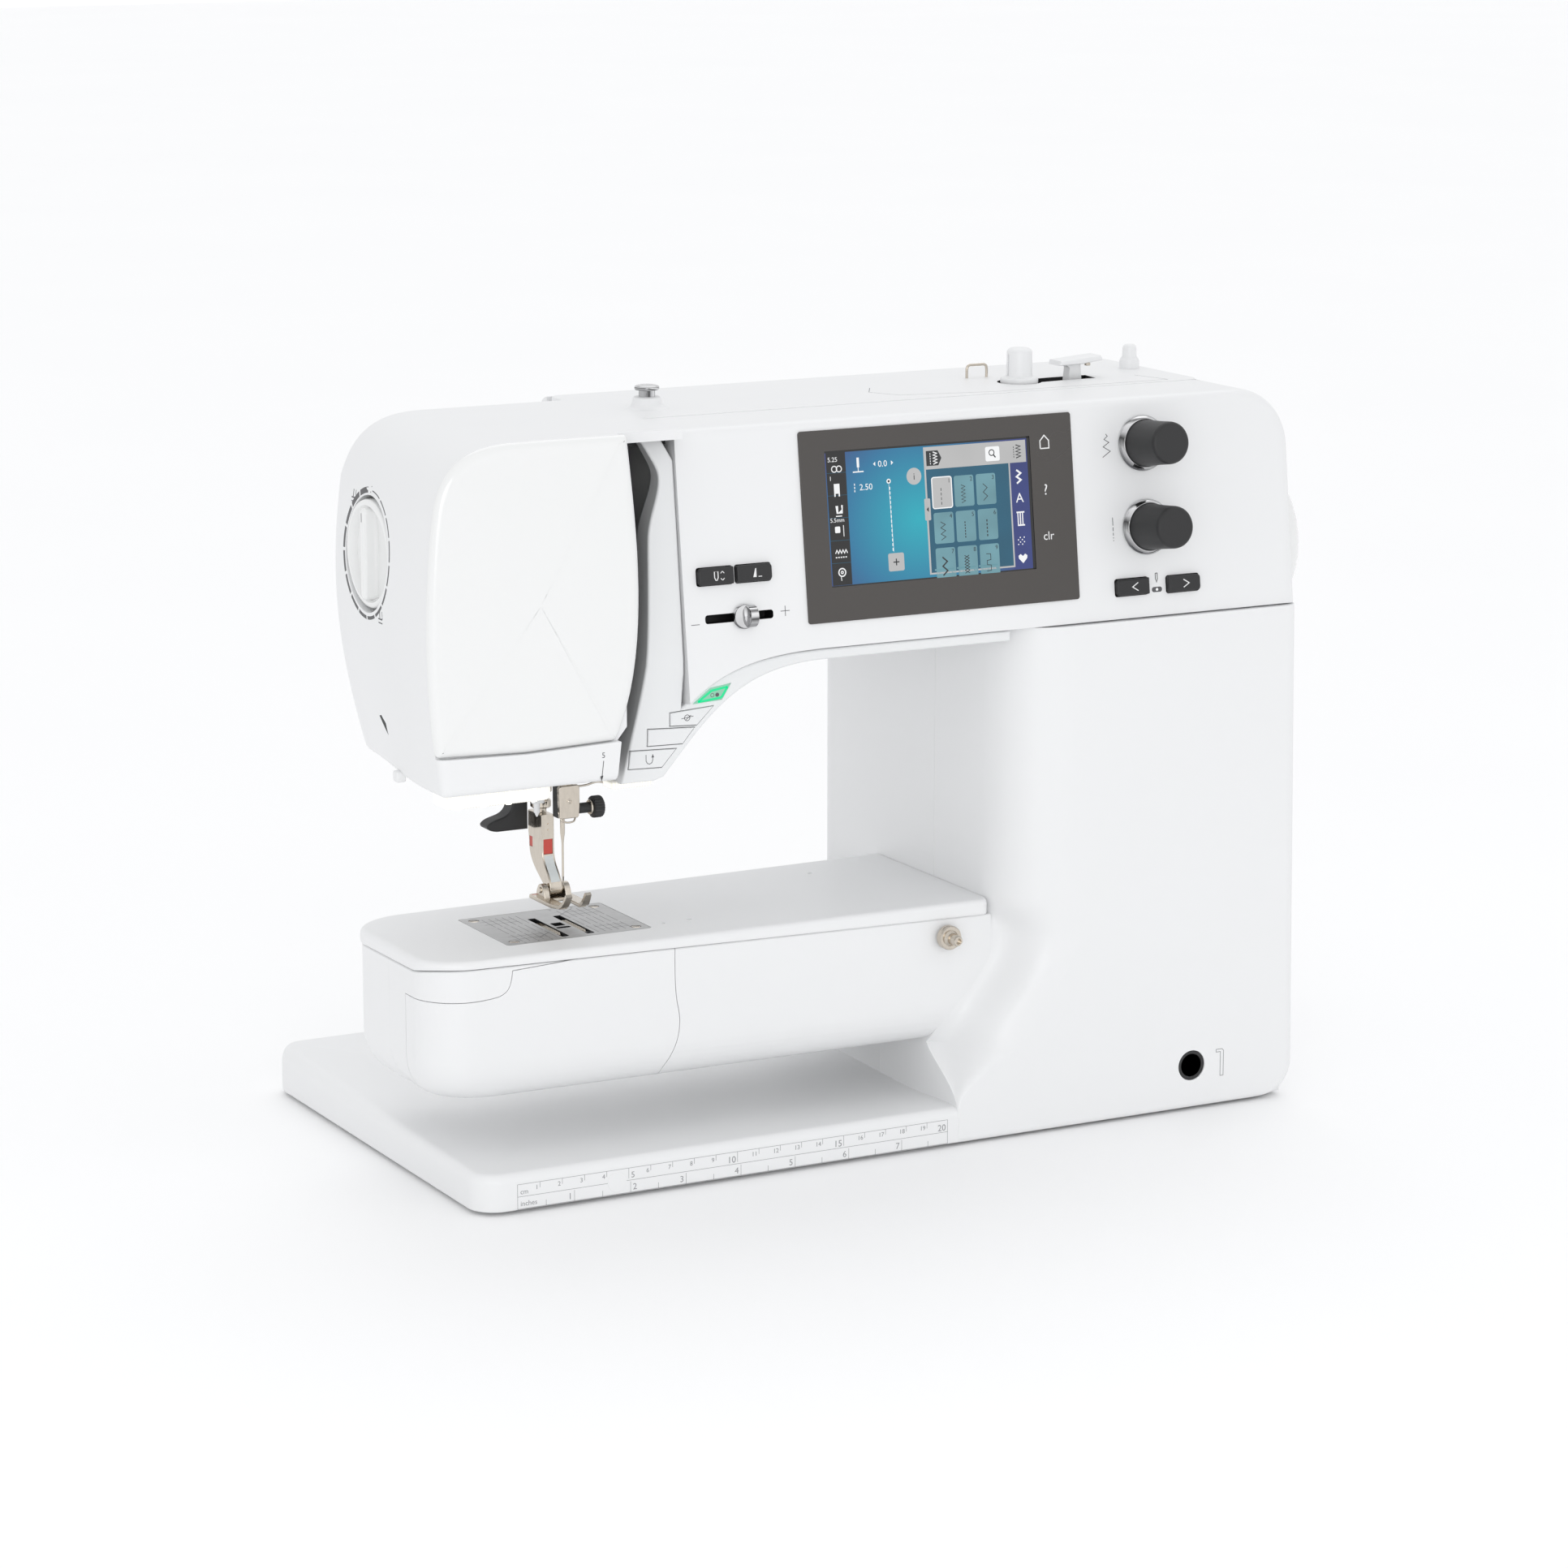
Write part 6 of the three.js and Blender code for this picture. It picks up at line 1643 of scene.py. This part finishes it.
class BuildDial(Operator):
    """Pressure dial on the head's side, with its printed ring"""
    bl_idname = "sewing.dial"
    bl_label = "Pressure dial"

    def execute(self, context):
        low, high = span("pressure_dial")
        (y, z), r = centre(low, high, "yz"), (high.y - low.y) / 2
        face = low.x + 4.6
        profile = [(6, high.x), (6, face + 8), (r, face + 7), (r, face + 1.6), (r - 0.5, face + 0.7),
            (r - 1.4, face + 0.3), (r - 2.4, face + 0.4), (r - 3.2, face + 1.6), (r - 4.4, face + 3.4),
            (0, face + 3.8)]
        disc_shape = turned("x", (y, z), profile, 96)
        outline = lambda inset: round_rect(y - 2.6 + inset, y + 2.6 - inset, z - r + 3.4 + inset,
            z + r - 3.4 - inset, 2.4, 7)
        rings = [(face + 4.2, -1.4), (face + 3.2, -0.5), (face + 1.5, 0)]
        rings += [(face - 0.6 - 1.4 * math.sin(t), 1.4 * (1 - math.cos(t))) for t in arc_share(5)]
        grip = rings_skin([at("x", x, outline(inset)) for x, inset in rings])
        piece("dial_knob", together(disc_shape, grip), "gloss_white", "pressure_dial", ("pressure_dial",),
            sharp=45)
        place = lambda u, v, lift: (face - 0.6 - 1.4 - lift, y + u, z + v)
        mark("dial_pointer", [bar(-0.35, 0.35, r - 9, r - 5.4)], place, "grey_ink", "pressure_dial")
        head = bpy.data.objects["head_shell"]
        side = laid_on(head, (-96, y, z), (0, -1, 0), (0, 0, 1), (1, 0, 0))
        segments = []
        for i in range(16):
            start = 90 + 7 + i * 22.0
            thick = 2.4 - 0.13 * i
            segments.append(arc(0, 0, r + 3.6, max(thick, 0.45), start, start + 19, 8))
        segments.append(bar(-0.3, 0.3, r + 2.6, r + 5.2))
        foot = [stroke([(0, 3), (0, 0)], 0.5), stroke([(-1.6, 0), (2, 0), (2.6, 0.7)], 0.5),
            stroke([(2.4, 3), (2.4, 1)], 0.3), bar(-1.4, 2.4, -1.6, -1.2)]
        segments += [shifted(together(*foot), -r * 0.86, r * 0.92, 1.1),
            shifted(together(*foot), r * 0.72, -r * 1.08, 1.1)]
        mark("dial_ring", segments, side, "ink")
        strip = lambda u, v, lift: (u, STRIP_FRONT - lift, v)
        depth = [words("5", -17.4, 186.4, 3.2), stroke([(-16.6, 185.2), (-17.4, 178.4)], 0.3),
            patch((-18.1, 179), (-16.8, 179.2), (-17.6, 176.8))]
        mark("strip_marks", depth, strip, "ink")
        return {"FINISHED"}


class BuildNeedleSide(Operator):
    """Needle, its bar and clamp, presser bar and foot, lifter, threader, take-up lever and lamps"""
    bl_idname = "sewing.needle_side"
    bl_label = "Needle side"

    def execute(self, context):
        x, y = NEEDLE.x, NEEDLE.y
        bar_low, bar_high = span("needle_bar")
        bx, r = (bar_low.x + bar_high.x) / 2, (bar_high.x - bar_low.x) / 2
        piece("needle_bar_rod", turned("z", (bx, y), [(r - 0.4, bar_low.z), (r, bar_low.z + 0.5),
                    (r, bar_low.z + 6), (r - 0.25, bar_low.z + 6.3), (r - 0.25, bar_low.z + 7.3),
                    (r, bar_low.z + 7.6), (r, bar_high.z), (0, bar_high.z)], 40), "nickel_plate",
            "needle_bar", ("needle_bar",))
        clamp_low, clamp_high = span("needle_clamp")
        z0, z1 = span("needle")[1].z + 0.3, clamp_high.z + 1.4
        left, right, near = x - 3.7, x + 5.7, y - 5
        plate = [(left + 1, z0), (right - 1, z0), (right - 0.3, z0 + 0.7), (right, z0 + 5),
            (right, z1 - 1), (right - 0.8, z1), (left + 0.8, z1), (left, z1 - 1), (left + 0.3, z0 + 5),
            (left + 0.4, z0 + 0.7)]
        front = rounded("y", plate, near + 2.2, near, 0.5, 4)
        dimple = turned("y", (x + 1, z0 + 7.2), [(0, near - 0.25), (0.5, near - 0.2), (0.8, near + 0.1),
                (0, near + 0.1)], 24)
        ring = turned("y", (x + 1, z0 + 7.2), [(1.15, near + 0.1), (1.15, near - 0.16),
                (0.95, near - 0.16), (0.95, near + 0.1)], 24)
        guide = wire_shape([(right - 3, near + 1.5, z1 - 0.6), (right, near + 1.2, z1 - 0.9),
                (right + 4, y - 3.4, z1 - 0.8), (right + 9, y - 3, z1 - 0.1),
                (right + 14, y - 2.6, z1 - 1.4), (right + 19, y - 2, z1 - 3.4)], 0.45)
        loop = wire_shape([(left + 0.4, near + 1.6, z0 + 2.8), (left + 1.2, near + 0.6, z0 - 0.4),
                (x - 0.4, near - 0.1, z0 - 1.5), (x + 2.4, near - 0.1, z0 - 1.4),
                (right - 2, near + 0.8, z0 - 0.6), (right - 1.6, near + 1.5, z0 + 0.8)], 0.38)
        piece("clamp_plate", together(front, dimple, ring, guide, loop), "nickel_plate", "needle_bar",
            ("needle_clamp",), sharp=45)
        block = soft_box(left + 0.3, right - 0.3, near + 2.1, y + 2.6, z0, z1 - 0.2, 0.4, 0.8)
        screw_z = clamp_low.z + 4.5
        shaft = turned("x", (y - 1, screw_z), [(2.2, right - 1), (2.2, x + 12.2), (1.7, x + 12.4),
                (1.7, x + 13)], 32)
        head = [2 * math.pi * i / 48 for i in range(48)]
        knurl = lambda level, shrink: at("x", level,
            [(y - 1 + (4.6 - shrink - 0.28 * (i % 2)) * math.cos(a),
                    screw_z + (4.6 - shrink - 0.28 * (i % 2)) * math.sin(a)) for i, a in enumerate(head)])
        knob = rings_skin([knurl(x + 12.6, 1.0), knurl(x + 12.9, 0.2), knurl(x + 13.4, 0),
                knurl(x + 16.6, 0), knurl(x + 17.2, 0.3), knurl(x + 17.5, 1.2), knurl(x + 17.1, 2.2)])
        piece("clamp_body", together(block, shaft, knob), "black_plastic", "needle_bar", sharp=28)
        collar = turned("x", (y - 1, screw_z), [(2.9, x + 11.6), (3.1, x + 11.8), (3.1, x + 12.3),
                (2.7, x + 12.5), (0, x + 12.5)], 32)
        piece("clamp_collar", collar, "nickel_plate", "needle_bar")
        n0, n1 = span("needle")
        profile = [(0.04, n0.z), (0.22, n0.z + 1.4), (0.4, n0.z + 3), (0.46, n0.z + 5), (0.46, n0.z + 19),
            (0.62, n0.z + 21), (0.98, n0.z + 23.6), (1.02, n0.z + 25), (1.02, n1.z), (0, n1.z)]
        piece("needle_steel", turned("z", (x, y), profile, 28), "nickel_plate", "needle_bar", ("needle",))
        # A black filler in the needle's eye: painted shade of the hole
        piece("needle_eye_shade", soft_box(x - 0.2, x + 0.2, y - 0.52, y + 0.52, n0.z + 3.4, n0.z + 5.2, 0.05,
                0.18), "black_plastic", "needle_bar")

        p0, p1 = span("presser_bar")
        px, py, pr = (p0.x + p1.x) / 2, (p0.y + p1.y) / 2, (p1.x - p0.x) / 2
        cone = [(pr, p1.z), (pr, 160), (pr + 0.1, 158.4), (4.6, 158), (4.8, 157.4), (4.8, 155),
            (4.3, 154.5), (3.6, 154), (3.6, 151.6), (4.2, 151.2), (4.4, 150.6), (4.4, 148.6),
            (4.0, 148.1), (2.4, 148), (2.4, p0.z), (0, p0.z)]
        piece("presser_bar_rod", turned("z", (px, py), cone, 40), "nickel_plate", "presser_bar",
            ("presser_bar",))
        s0, s1 = span("foot_shank")
        half = (s1.x - s0.x) / 2
        sole0, sole1 = span("foot_sole")
        pin_y, pin_z = 2.0, sole0.z + 4.6
        front_y, back_y = py - 6.8, s1.y
        side = [(front_y, s1.z), (front_y, 131)]
        side += bezier((front_y, 131), (front_y, 124), (pin_y - 2.6, 122), (pin_y - 2.6, pin_z), 12)
        side += [(pin_y - 2.6 * math.cos(t), pin_z - 2.6 * math.sin(t))
            for t in [math.radians(18 * i) for i in range(1, 10)]]
        side += [(pin_y + 2.6, pin_z)] + bezier((pin_y + 2.6, pin_z), (pin_y + 8, 120), (back_y, 124),
            (back_y - 1, 133), 12)
        side += [(back_y, 138), (back_y, s1.z)]
        shank = rounded("x", side, px - half, px + half, 0.45, 3, both=True)
        shank_piece = scratch("foot_shank_metal", shank, finish("nickel_plate"))
        cut(shank_piece, box_shape(px - 2.1, px + 2.1, front_y - 2, front_y + 0.5, 129.2, 135.6),
            box_shape(px - half - 1, px - half + 0.5, front_y + 9, front_y + 12, 130.8, 135.2),
            turned("x", (pin_y, pin_z), [(1.5, px - 6), (1.5, px + 6)], 24),
            turned("y", (px, 142.2), [(0.35, front_y - 1), (0.35, front_y + 0.6)], 12),
            turned("y", (px, 139.6), [(0.35, front_y - 1), (0.35, front_y + 0.6)], 12))
        shaded(shank_piece)
        rides(shank_piece, "presser_bar", "nickel_plate", "foot_shank")
        piece("shank_red_marks", together(box_shape(px - 2.05, px + 2.05, front_y + 0.1, front_y + 0.5,
                    129.25, 135.55), box_shape(px - half + 0.1, px - half + 0.5, front_y + 9.05,
                    front_y + 11.95, 130.85, 135.15)), "red_paint", "presser_bar", edge=0.1)
        curve = [(front_y, 131)] + bezier((front_y, 131), (front_y, 124), (pin_y - 2.6, 122),
            (pin_y - 2.6, pin_z), 16)
        inset_path = [p for p in curve if 118.6 < p[1] < 129.4]
        strip_points = [[(px + s * 2.0, yy - 0.06, zz) for s in (-1, 1)] for yy, zz in inset_path]
        strip = ([p for pair in strip_points for p in pair] + [(a, b + 0.5, c) for pair in strip_points
                for a, b, c in pair], [])
        n = len(strip_points)
        quads = [(2 * i, 2 * i + 1, 2 * i + 3, 2 * i + 2) for i in range(n - 1)]
        quads += [tuple(reversed([v + 2 * n for v in q])) for q in quads[:n - 1]]
        quads += [(2 * i, 2 * i + 2, 2 * n + 2 * i + 2, 2 * n + 2 * i)
            for i in range(n - 1)] + [(2 * i + 1, 2 * n + 2 * i + 1, 2 * n + 2 * i + 3, 2 * i + 3)
            for i in range(n - 1)]
        quads += [(0, 1, 2 * n + 1, 2 * n), (2 * n - 2, 4 * n - 2, 4 * n - 1, 2 * n - 1)]
        piece("shank_white_inset", (strip[0], quads), "white_paint", "presser_bar")

        low = sole0.z
        hw, slit = (sole1.x - sole0.x) / 2, 2.7
        toe = lambda side_: [(x + side_ * a, b) for a, b in ((slit, -16.6), (slit, -3), (0.01, -3),
                (0.01, 9.6), (hw - 1.2, 9.6), (hw, 8.4), (hw, -12), (hw - 2.4, -16.6))]
        halves = []
        for side_ in (-1, 1):
            halves.append(soft_prism("z", lambda inset, side_=side_: inward(toe(side_), inset), low + 0.1,
                    low + 1.7, 0.35, 3, both=True))
            tip = []
            for t, yy in ((0, -14.5), (0.3, -16.6), (0.55, -18.4), (0.8, -20), (1, -21.2), (1.15, -22.2)):
                lift = 5.0 * t * t * 0.95
                wide = (slit + 0.05 + 0.2 * t, hw - 1.4 - 1.0 * t)
                tip.append([(x + side_ * wide[0], yy, low + 0.1 + lift),
                        (x + side_ * wide[1], yy, low + 0.1 + lift), (x + side_ * wide[1], yy + 0.8 * t,
                            low + 1.6 + lift * 0.98 - 0.4 * t), (x + side_ * wide[0], yy + 0.8 * t,
                            low + 1.6 + lift * 0.98 - 0.4 * t)])
            halves.append(rings_skin(tip))
            ear_x = x + side_ * (half + 2)
            ear = [(pin_y - 4.2, low + 1.4), (pin_y + 4.2, low + 1.4), (pin_y + 3.6, low + 4)]
            ear += [(pin_y + 2.9 * math.cos(t), pin_z + 2.6 * math.sin(t))
                for t in [math.radians(20 * i) for i in range(1, 9)]] + [(pin_y - 3.6, low + 4)]
            halves.append(rounded("x", ear, ear_x - 1.35, ear_x + 1.35, 0.3, 3, both=True))
        halves.append(soft_box(x - hw + 3, x + hw - 3, pin_y + 3.4, pin_y + 6.2, low + 1.4, low + 4.4,
                0.6, 1.2))
        halves.append(turned("x", (pin_y, pin_z), [(1.0, x - 6.9), (1.3, x - 6.6), (1.3, x + 6.6),
                    (1.0, x + 6.9)], 28))
        piece("foot_sole_metal", together(*halves), "nickel_plate", "foot_sole", ("foot_sole",), sharp=42)
        piece("sole_red_mark", box_shape(x - hw + 0.6, x - 3.4, 6.8, 7.6, low + 1.66, low + 1.74),
            "red_paint", "foot_sole", edge=0.02)

        l0, l1 = span("presser_lifter")
        blade = [(l1.x, l0.z), (l1.x, 152), (l1.x - 1, 154), (l1.x - 6.4, 154)] + bezier((l1.x - 6.4,
                154), (l1.x - 6.8, 148), (l1.x - 7.4, 145.2), (l1.x - 13, 144), 8)
        blade += bezier((l1.x - 13, 144), (l1.x - 16.4, 143.2), (l0.x + 1, 142.4), (l0.x + 0.4, 141.2),
            6) + bezier((l0.x + 0.4, 141.2), (l0.x, 140), (l0.x + 2, 138.9), (l0.x + 5, l0.z), 5)
        lifter = together(rounded("y", blade, l0.y, l1.y, 0.7, 4, both=True),
                          soft_box(l1.x - 7.6, l1.x - 0.9, l0.y + 3.2, l0.y + 7, 150, l1.z, 0.4, 0.8))
        piece("lifter_lever", lifter, "black_plastic", "presser_lifter", ("presser_lifter",))
        t0, t1 = span("needle_threader")
        tx, ty = (t0.x + t1.x) / 2, (t0.y + t1.y) / 2
        threader = together(soft_box(t0.x, t1.x, t0.y, t1.y, 156, t1.z, 0.5, 0.9),
            soft_box(tx - 1.2, tx + 1.2, ty - 1.2, ty + 1.2, t0.z + 1.5, 157, 0.4, 0.9),
            turned("z", (tx, ty), [(0.3, t0.z), (0.8, t0.z + 1), (0.9, t0.z + 2), (0.5, t0.z + 2.6)],
                20), soft_box(tx - 2.4, tx + 3.2, ty - 1.6, ty + 1.2, 153.6, 157.2, 0.5, 1))
        piece("threader_arm", threader, "white_casing", "needle_threader", ("needle_threader",))

        u0, u1 = span("take_up_lever")
        ux = (u0.x + u1.x) / 2
        path = [(-18, 262), (-26, 272), (-36, 284), (-43.5, 293.5), (-47.5, 298.4), (-50, 298.8),
            (-50.6, 296.2), (-48.6, 294.4), (-46.4, 295.6)]
        hook = wire_shape([(ux, yy, zz) for yy, zz in path], 1.05, 14, 7)
        arm = [(-13.5, 260), (-17, 257.4), (-20.4, 262), (-30, 276.5), (-40.5, 288.5), (-38.6, 290.6),
            (-26, 276), (-15.6, 266)]
        piece("take_up_arm", together(hook, rounded("x", arm, ux - 1.1, ux + 1.1, 0.3, 3, both=True)),
            "chrome_trim", "take_up", ("take_up_lever",))

        a, b = span("led_strip")
        lamp = lambda inset: round_rect(a.x + inset, b.x - inset, a.y + inset, b.y - inset, 3, 6)
        rings = [(b.z + 2.2, 0), (a.z + 1.6, 0)] + [(a.z + 1.6 - 1.6 * math.sin(t),
                1.6 * (1 - math.cos(t))) for t in arc_share(4)[1:]] + [(a.z, 2.4)]
        piece("lamp_lens_long", rings_skin([at("z", z, lamp(inset)) for z, inset in rings]), "lamp_cover",
            stands_for=("led_strip",))
        spots = [(a.x + 6 + 11 * i, a.y + 3.4) for i in range(4)]
        domes = [turned("z", spot, [(2.0, a.z + 0.4), (1.8, a.z - 0.1), (1.2, a.z - 0.45),
                    (0, a.z - 0.6)], 24) for spot in spots]
        domes += [turned("y", (sx, a.z + 2.1), [(1.3, sy - 3.0), (1.2, sy - 3.5), (0.8, sy - 3.75),
                    (0, sy - 3.8)], 24) for sx, sy in spots]
        piece("lamp_lights", together(*domes), "lamp_light")
        small = soft_box(-6, 13, -59, -49, 169.4, 172.4, 0.9, 2.4)
        piece("lamp_lens_small", small, "lamp_cover")
        piece("lamp_light_small",
            together(*[turned("z", (sx, -55), [(2, 169.6), (1.6, 169.1), (0, 168.9)], 24)
                    for sx in (-1.5, 7.5)]), "lamp_light")
        return {"FINISHED"}


class BuildTop(Operator):
    """Thread stud, wire guide, winder spindle and lever, spool pin and handwheel"""
    bl_idname = "sewing.top"
    bl_label = "Top fittings and handwheel"

    def execute(self, context):
        a, b = span("pretension_stud")
        x, y = centre(a, b, "xy")
        low = LID_TOP
        boss = [(9.6, low - 0.2), (8.6, low + 0.25), (7.2, low + 0.8), (6.3, low + 2), (5.9, low + 4),
            (5.4, low + 4.8), (0, low + 5)]
        piece("stud_boss", turned("z", (x, y), boss), "white_casing", sharp=60)
        high = b.z + 1.4
        cap = [(3.4, low + 4.6), (3.4, high - 2.1), (5.0, high - 1.8), (5.2, high - 1.4),
            (5.2, high - 0.7), (4.9, high - 0.25), (4.2, high), (0, high - 0.15)]
        piece("stud_cap", turned("z", (x, y), cap), "chrome_trim", stands_for=("pretension_stud",), sharp=50)
        a, b = span("loop_guide")
        y = (a.y + b.y) / 2
        path = [(a.x + 0.7, y, LID_TOP - 1), (a.x + 0.7, y, b.z - 2.2), (a.x + 1.8, y, b.z - 0.8),
            (a.x + 4, y, b.z - 0.7), (b.x - 4, y, b.z - 0.7), (b.x - 1.8, y, b.z - 0.8),
            (b.x - 0.7, y, b.z - 2.2), (b.x - 0.7, y, LID_TOP - 1)]
        piece("loop_wire", wire_shape(path, 0.6), "nickel_plate", stands_for=("loop_guide",))
        a, b = span("winder_spindle")
        (x, y), r = centre(a, b, "xy"), (b.x - a.x) / 2
        profile = [(r + 2.6, LID_TOP - 2), (r + 2.6, a.z + 3.6), (r + 2.2, a.z + 4.4),
            (r + 0.3, a.z + 4.8), (r, a.z + 5.4), (r - 0.1, b.z - 1.6), (r - 0.6, b.z - 0.6),
            (r - 1.6, b.z - 0.05), (0, b.z)]
        spindle = scratch("winder_spindle_peg", turned("z", (x, y), profile), finish("white_casing"))
        cut(spindle, box_shape(x - r - 1, x - r + 0.7, y - 0.5, y + 0.5, a.z + 5, b.z - 2.5),
            box_shape(x + r - 0.7, x + r + 1, y - 0.5, y + 0.5, a.z + 5, b.z - 2.5))
        shaded(spindle, 45)
        rides(spindle, "winder_spindle", "white_casing", "winder_spindle")
        a, b = span("winder_lever")
        x, y, top = 252.0, 13.0, b.z
        stem = [(x - 3.4, a.z), (x + 3.8, a.z), (x + 3, top - 4), (x + 4.2, top - 3),
            (x - 4.6, top - 3.6), (x - 2.6, top - 5)]
        blade = [(x - 9, top - 3.6), (x + 3, top - 3.4), (x + 13, top - 2.2), (x + 12, top - 0.1),
            (x + 4, top - 0.6), (x - 3, top - 1.2), (x - 8.4, top - 1.6)]
        shape = together(rounded("y", stem, y - 2.6, y + 2.6, 0.5, 3, both=True),
                         rounded("y", blade, y - 5, y + 5, 0.7, 4, both=True))
        piece("winder_lever_arm", shape, "white_casing", "winder_lever", ("winder_lever",))
        piece("winder_cutter", soft_box(x + 4.4, x + 6.4, y - 5.15, y - 3, top - 4.2, top - 3.0, 0.2,
                0.3), "nickel_plate", "winder_lever")
        a, b = span("spool_pin")
        x, y = centre(a, b, "xy")
        pin = [(4.4, LID_TOP - 1), (4.4, a.z + 1.2), (3.9, a.z + 2.4), (3.2, a.z + 3.2), (3.1, b.z - 2),
            (2.8, b.z - 0.9), (2.0, b.z - 0.2), (0, b.z)]
        piece("spool_pin_peg", turned("z", (x, y), pin), "white_casing", stands_for=("spool_pin",), sharp=50)
        a, b = span("accessory_socket")
        x, z = centre(a, b, "xz")
        rings = [(5.2, b.y), (5.2, b.y - 2.6), (4.9, b.y - 3.2), (4.2, b.y - 3.4), (3.4, b.y - 3.2),
            (2.6, b.y - 4), (2.3, b.y - 4.6), (2.3, a.y + 0.8), (1.9, a.y + 0.1), (1.3, a.y),
            (1.2, a.y + 1.4), (0, a.y + 1.4)]
        piece("accessory_stud", turned("y", (x, z), rings, 40), "nickel_plate",
            stands_for=("accessory_socket",), sharp=40)
        a, b = span("handwheel")
        (y, z), r = centre(a, b, "yz"), (b.y - a.y) / 2
        rim = lambda level, base_r: at("x", level,
            [(y + (base_r - 0.35 * (0.5 + 0.5 * math.cos(24 * t)) ** 6) * math.cos(t),
                    z + (base_r - 0.35 * (0.5 + 0.5 * math.cos(24 * t)) ** 6) * math.sin(t))
                for t in [2 * math.pi * i / 192 for i in range(192)]])
        steps = [(0.2, r - 3), (0.6, r - 1.2), (1.6, r - 0.3), (3, r), (8, r), (11, r - 0.6),
            (13.5, r - 2), (15.6, r - 4.2), (17.4, r - 7.4), (18.4, r - 10.6), (18.8, r - 13.4),
            (18.6, r - 15.4), (17.6, r - 16.8), (17.2, 12), (17.2, 4)]
        wheel = rings_skin([rim(a.x + dx, radius) for dx, radius in steps])
        piece("handwheel_rim", wheel, "gloss_white", "main_drive", ("handwheel",), sharp=50)
        return {"FINISHED"}


class BuildRuler(Operator):
    """Centimetre and inch ruler along the front of the base, and small printed signs"""
    bl_idname = "sewing.ruler"
    bl_label = "Ruler"

    def execute(self, context):
        x0, low, high = -53.0, 2.2, 12.6
        middle = (low + high) / 2
        line = 0.16
        lines = [bar(x0, x0 + 200, z - line / 2, z + line / 2) for z in (low, middle, high)]
        lines += [bar(x - line / 2, x + line / 2, low, high) for x in (x0, x0 + 200)]
        for i in range(1, 20):
            tall = 4.4 if i % 5 == 0 else 2.4
            lines.append(bar(x0 + 10 * i - line / 2, x0 + 10 * i + line / 2, high - tall, high))
            if i != 5:
                lines.append(words(str(i), x0 + 10 * i - 0.7, high - (4.5 if i % 5 == 0 else 3.0), 4.0
                        if i % 5 == 0 else 2.7, "RIGHT"))
        lines += [words("5", x0 + 51, high - 4.2, 3.6), words("20", x0 + 199.2, high - 4.5, 4.0, "RIGHT"),
            words("cm", x0 + 1.2, high - 4.2, 3.0), words("inches", x0 + 1.2, low + 1.2, 3.0)]
        for i in range(1, 16):
            at_x = x0 + 12.7 * i
            tall = 4.6 if i % 2 == 0 else 2.4
            if at_x < x0 + 199:
                lines.append(bar(at_x - line / 2, at_x + line / 2, low, low + tall))
            if i % 2 == 0:
                lines.append(words(str(i // 2), at_x - 1, low + 1.0, 3.8, "RIGHT")
                    if i != 4 else words("2", at_x + 1, low + 1.0, 3.8))
        base = lambda u, v, lift: (u, BASE[0].y - lift, v)
        mark("base_ruler", lines, base, "grey_ink")
        cap = turned("y", (-8.3, 7.5), [(4.3, BASE[0].y + 0.4), (4.3, BASE[0].y - 0.05),
                (4.15, BASE[0].y - 0.16), (0, BASE[0].y - 0.17)], 40)
        piece("screw_cover", cap, "white_casing")
        front = lambda u, v, lift: (u, COLUMN[0].y - lift, v)
        lever = [stroke([(281.6, 26), (284.6, 26), (285.4, 25.2), (285.4, 14), (284.6, 14), (283.8, 14)],
                0.28), stroke([(281.6, 26), (281.6, 24.8), (283.8, 24.8), (283.8, 14)], 0.28)]
        mark("knee_sign", lever, front, "grey_ink")
        return {"FINISHED"}


class FinishFrame(Operator):
    """Finishes of the CAD pieces that show as they are: frame, shafts, motor and other inner works"""
    bl_idname = "sewing.inner_works"
    bl_label = "Inner works"

    def execute(self, context):
        by_slot = {row["node"]: row["material_slot"] for row in frame["record"]["subparts"]}
        for name, made in frame["nodes"].items():
            if not made.hide_render:
                for place in made.material_slots:
                    place.material = finish(by_slot[name])
        return {"FINISHED"}


OPERATORS = (BuildStudio, BuildBase, BuildColumn, BuildArm, BuildTrim, BuildHead, BuildFreeArm,
    BuildStitchPlate, BuildScreen, BuildControls, BuildStripKeys, BuildDial, BuildNeedleSide, BuildTop,
    BuildRuler, FinishFrame)


class SewingPanel(Panel):
    """Lists the machine's builders and the values they use"""
    bl_idname = "VIEW3D_PT_sewing_machine"
    bl_label = "Sewing machine"
    bl_space_type = "VIEW_3D"
    bl_region_type = "UI"
    bl_category = "Sewing machine"

    def draw(self, context):
        scene = context.scene
        for label, group in (("Casings", scene.sewing_casing), ("Finishes", scene.sewing_finish),
                ("Studio", scene.sewing_studio)):
            box = self.layout.box()
            box.label(text=label)
            for name in group.__annotations__:
                box.prop(group, name)
        for made in OPERATORS:
            self.layout.operator(made.bl_idname)


GROUPS = {"sewing_casing": CasingSizes, "sewing_finish": FinishColours, "sewing_studio": StudioSizes}


def register():
    for made in (*GROUPS.values(), *OPERATORS, SewingPanel):
        bpy.utils.register_class(made)
    for name, made in GROUPS.items():
        setattr(bpy.types.Scene, name, PointerProperty(type=made))


def unregister():
    for name in GROUPS:
        delattr(bpy.types.Scene, name)
    for made in reversed((*GROUPS.values(), *OPERATORS, SewingPanel)):
        bpy.utils.unregister_class(made)


def main():
    register()
    for made in OPERATORS:
        family, name = made.bl_idname.split(".")
        getattr(getattr(bpy.ops, family), name)()
    bpy.context.view_layer.update()
    plain = lambda box: [[float(v) for v in corner] for corner in box]
    {"cad": plain(CAD_BOX), "visual": plain(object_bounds())}


if __name__ == "__main__":
    main()
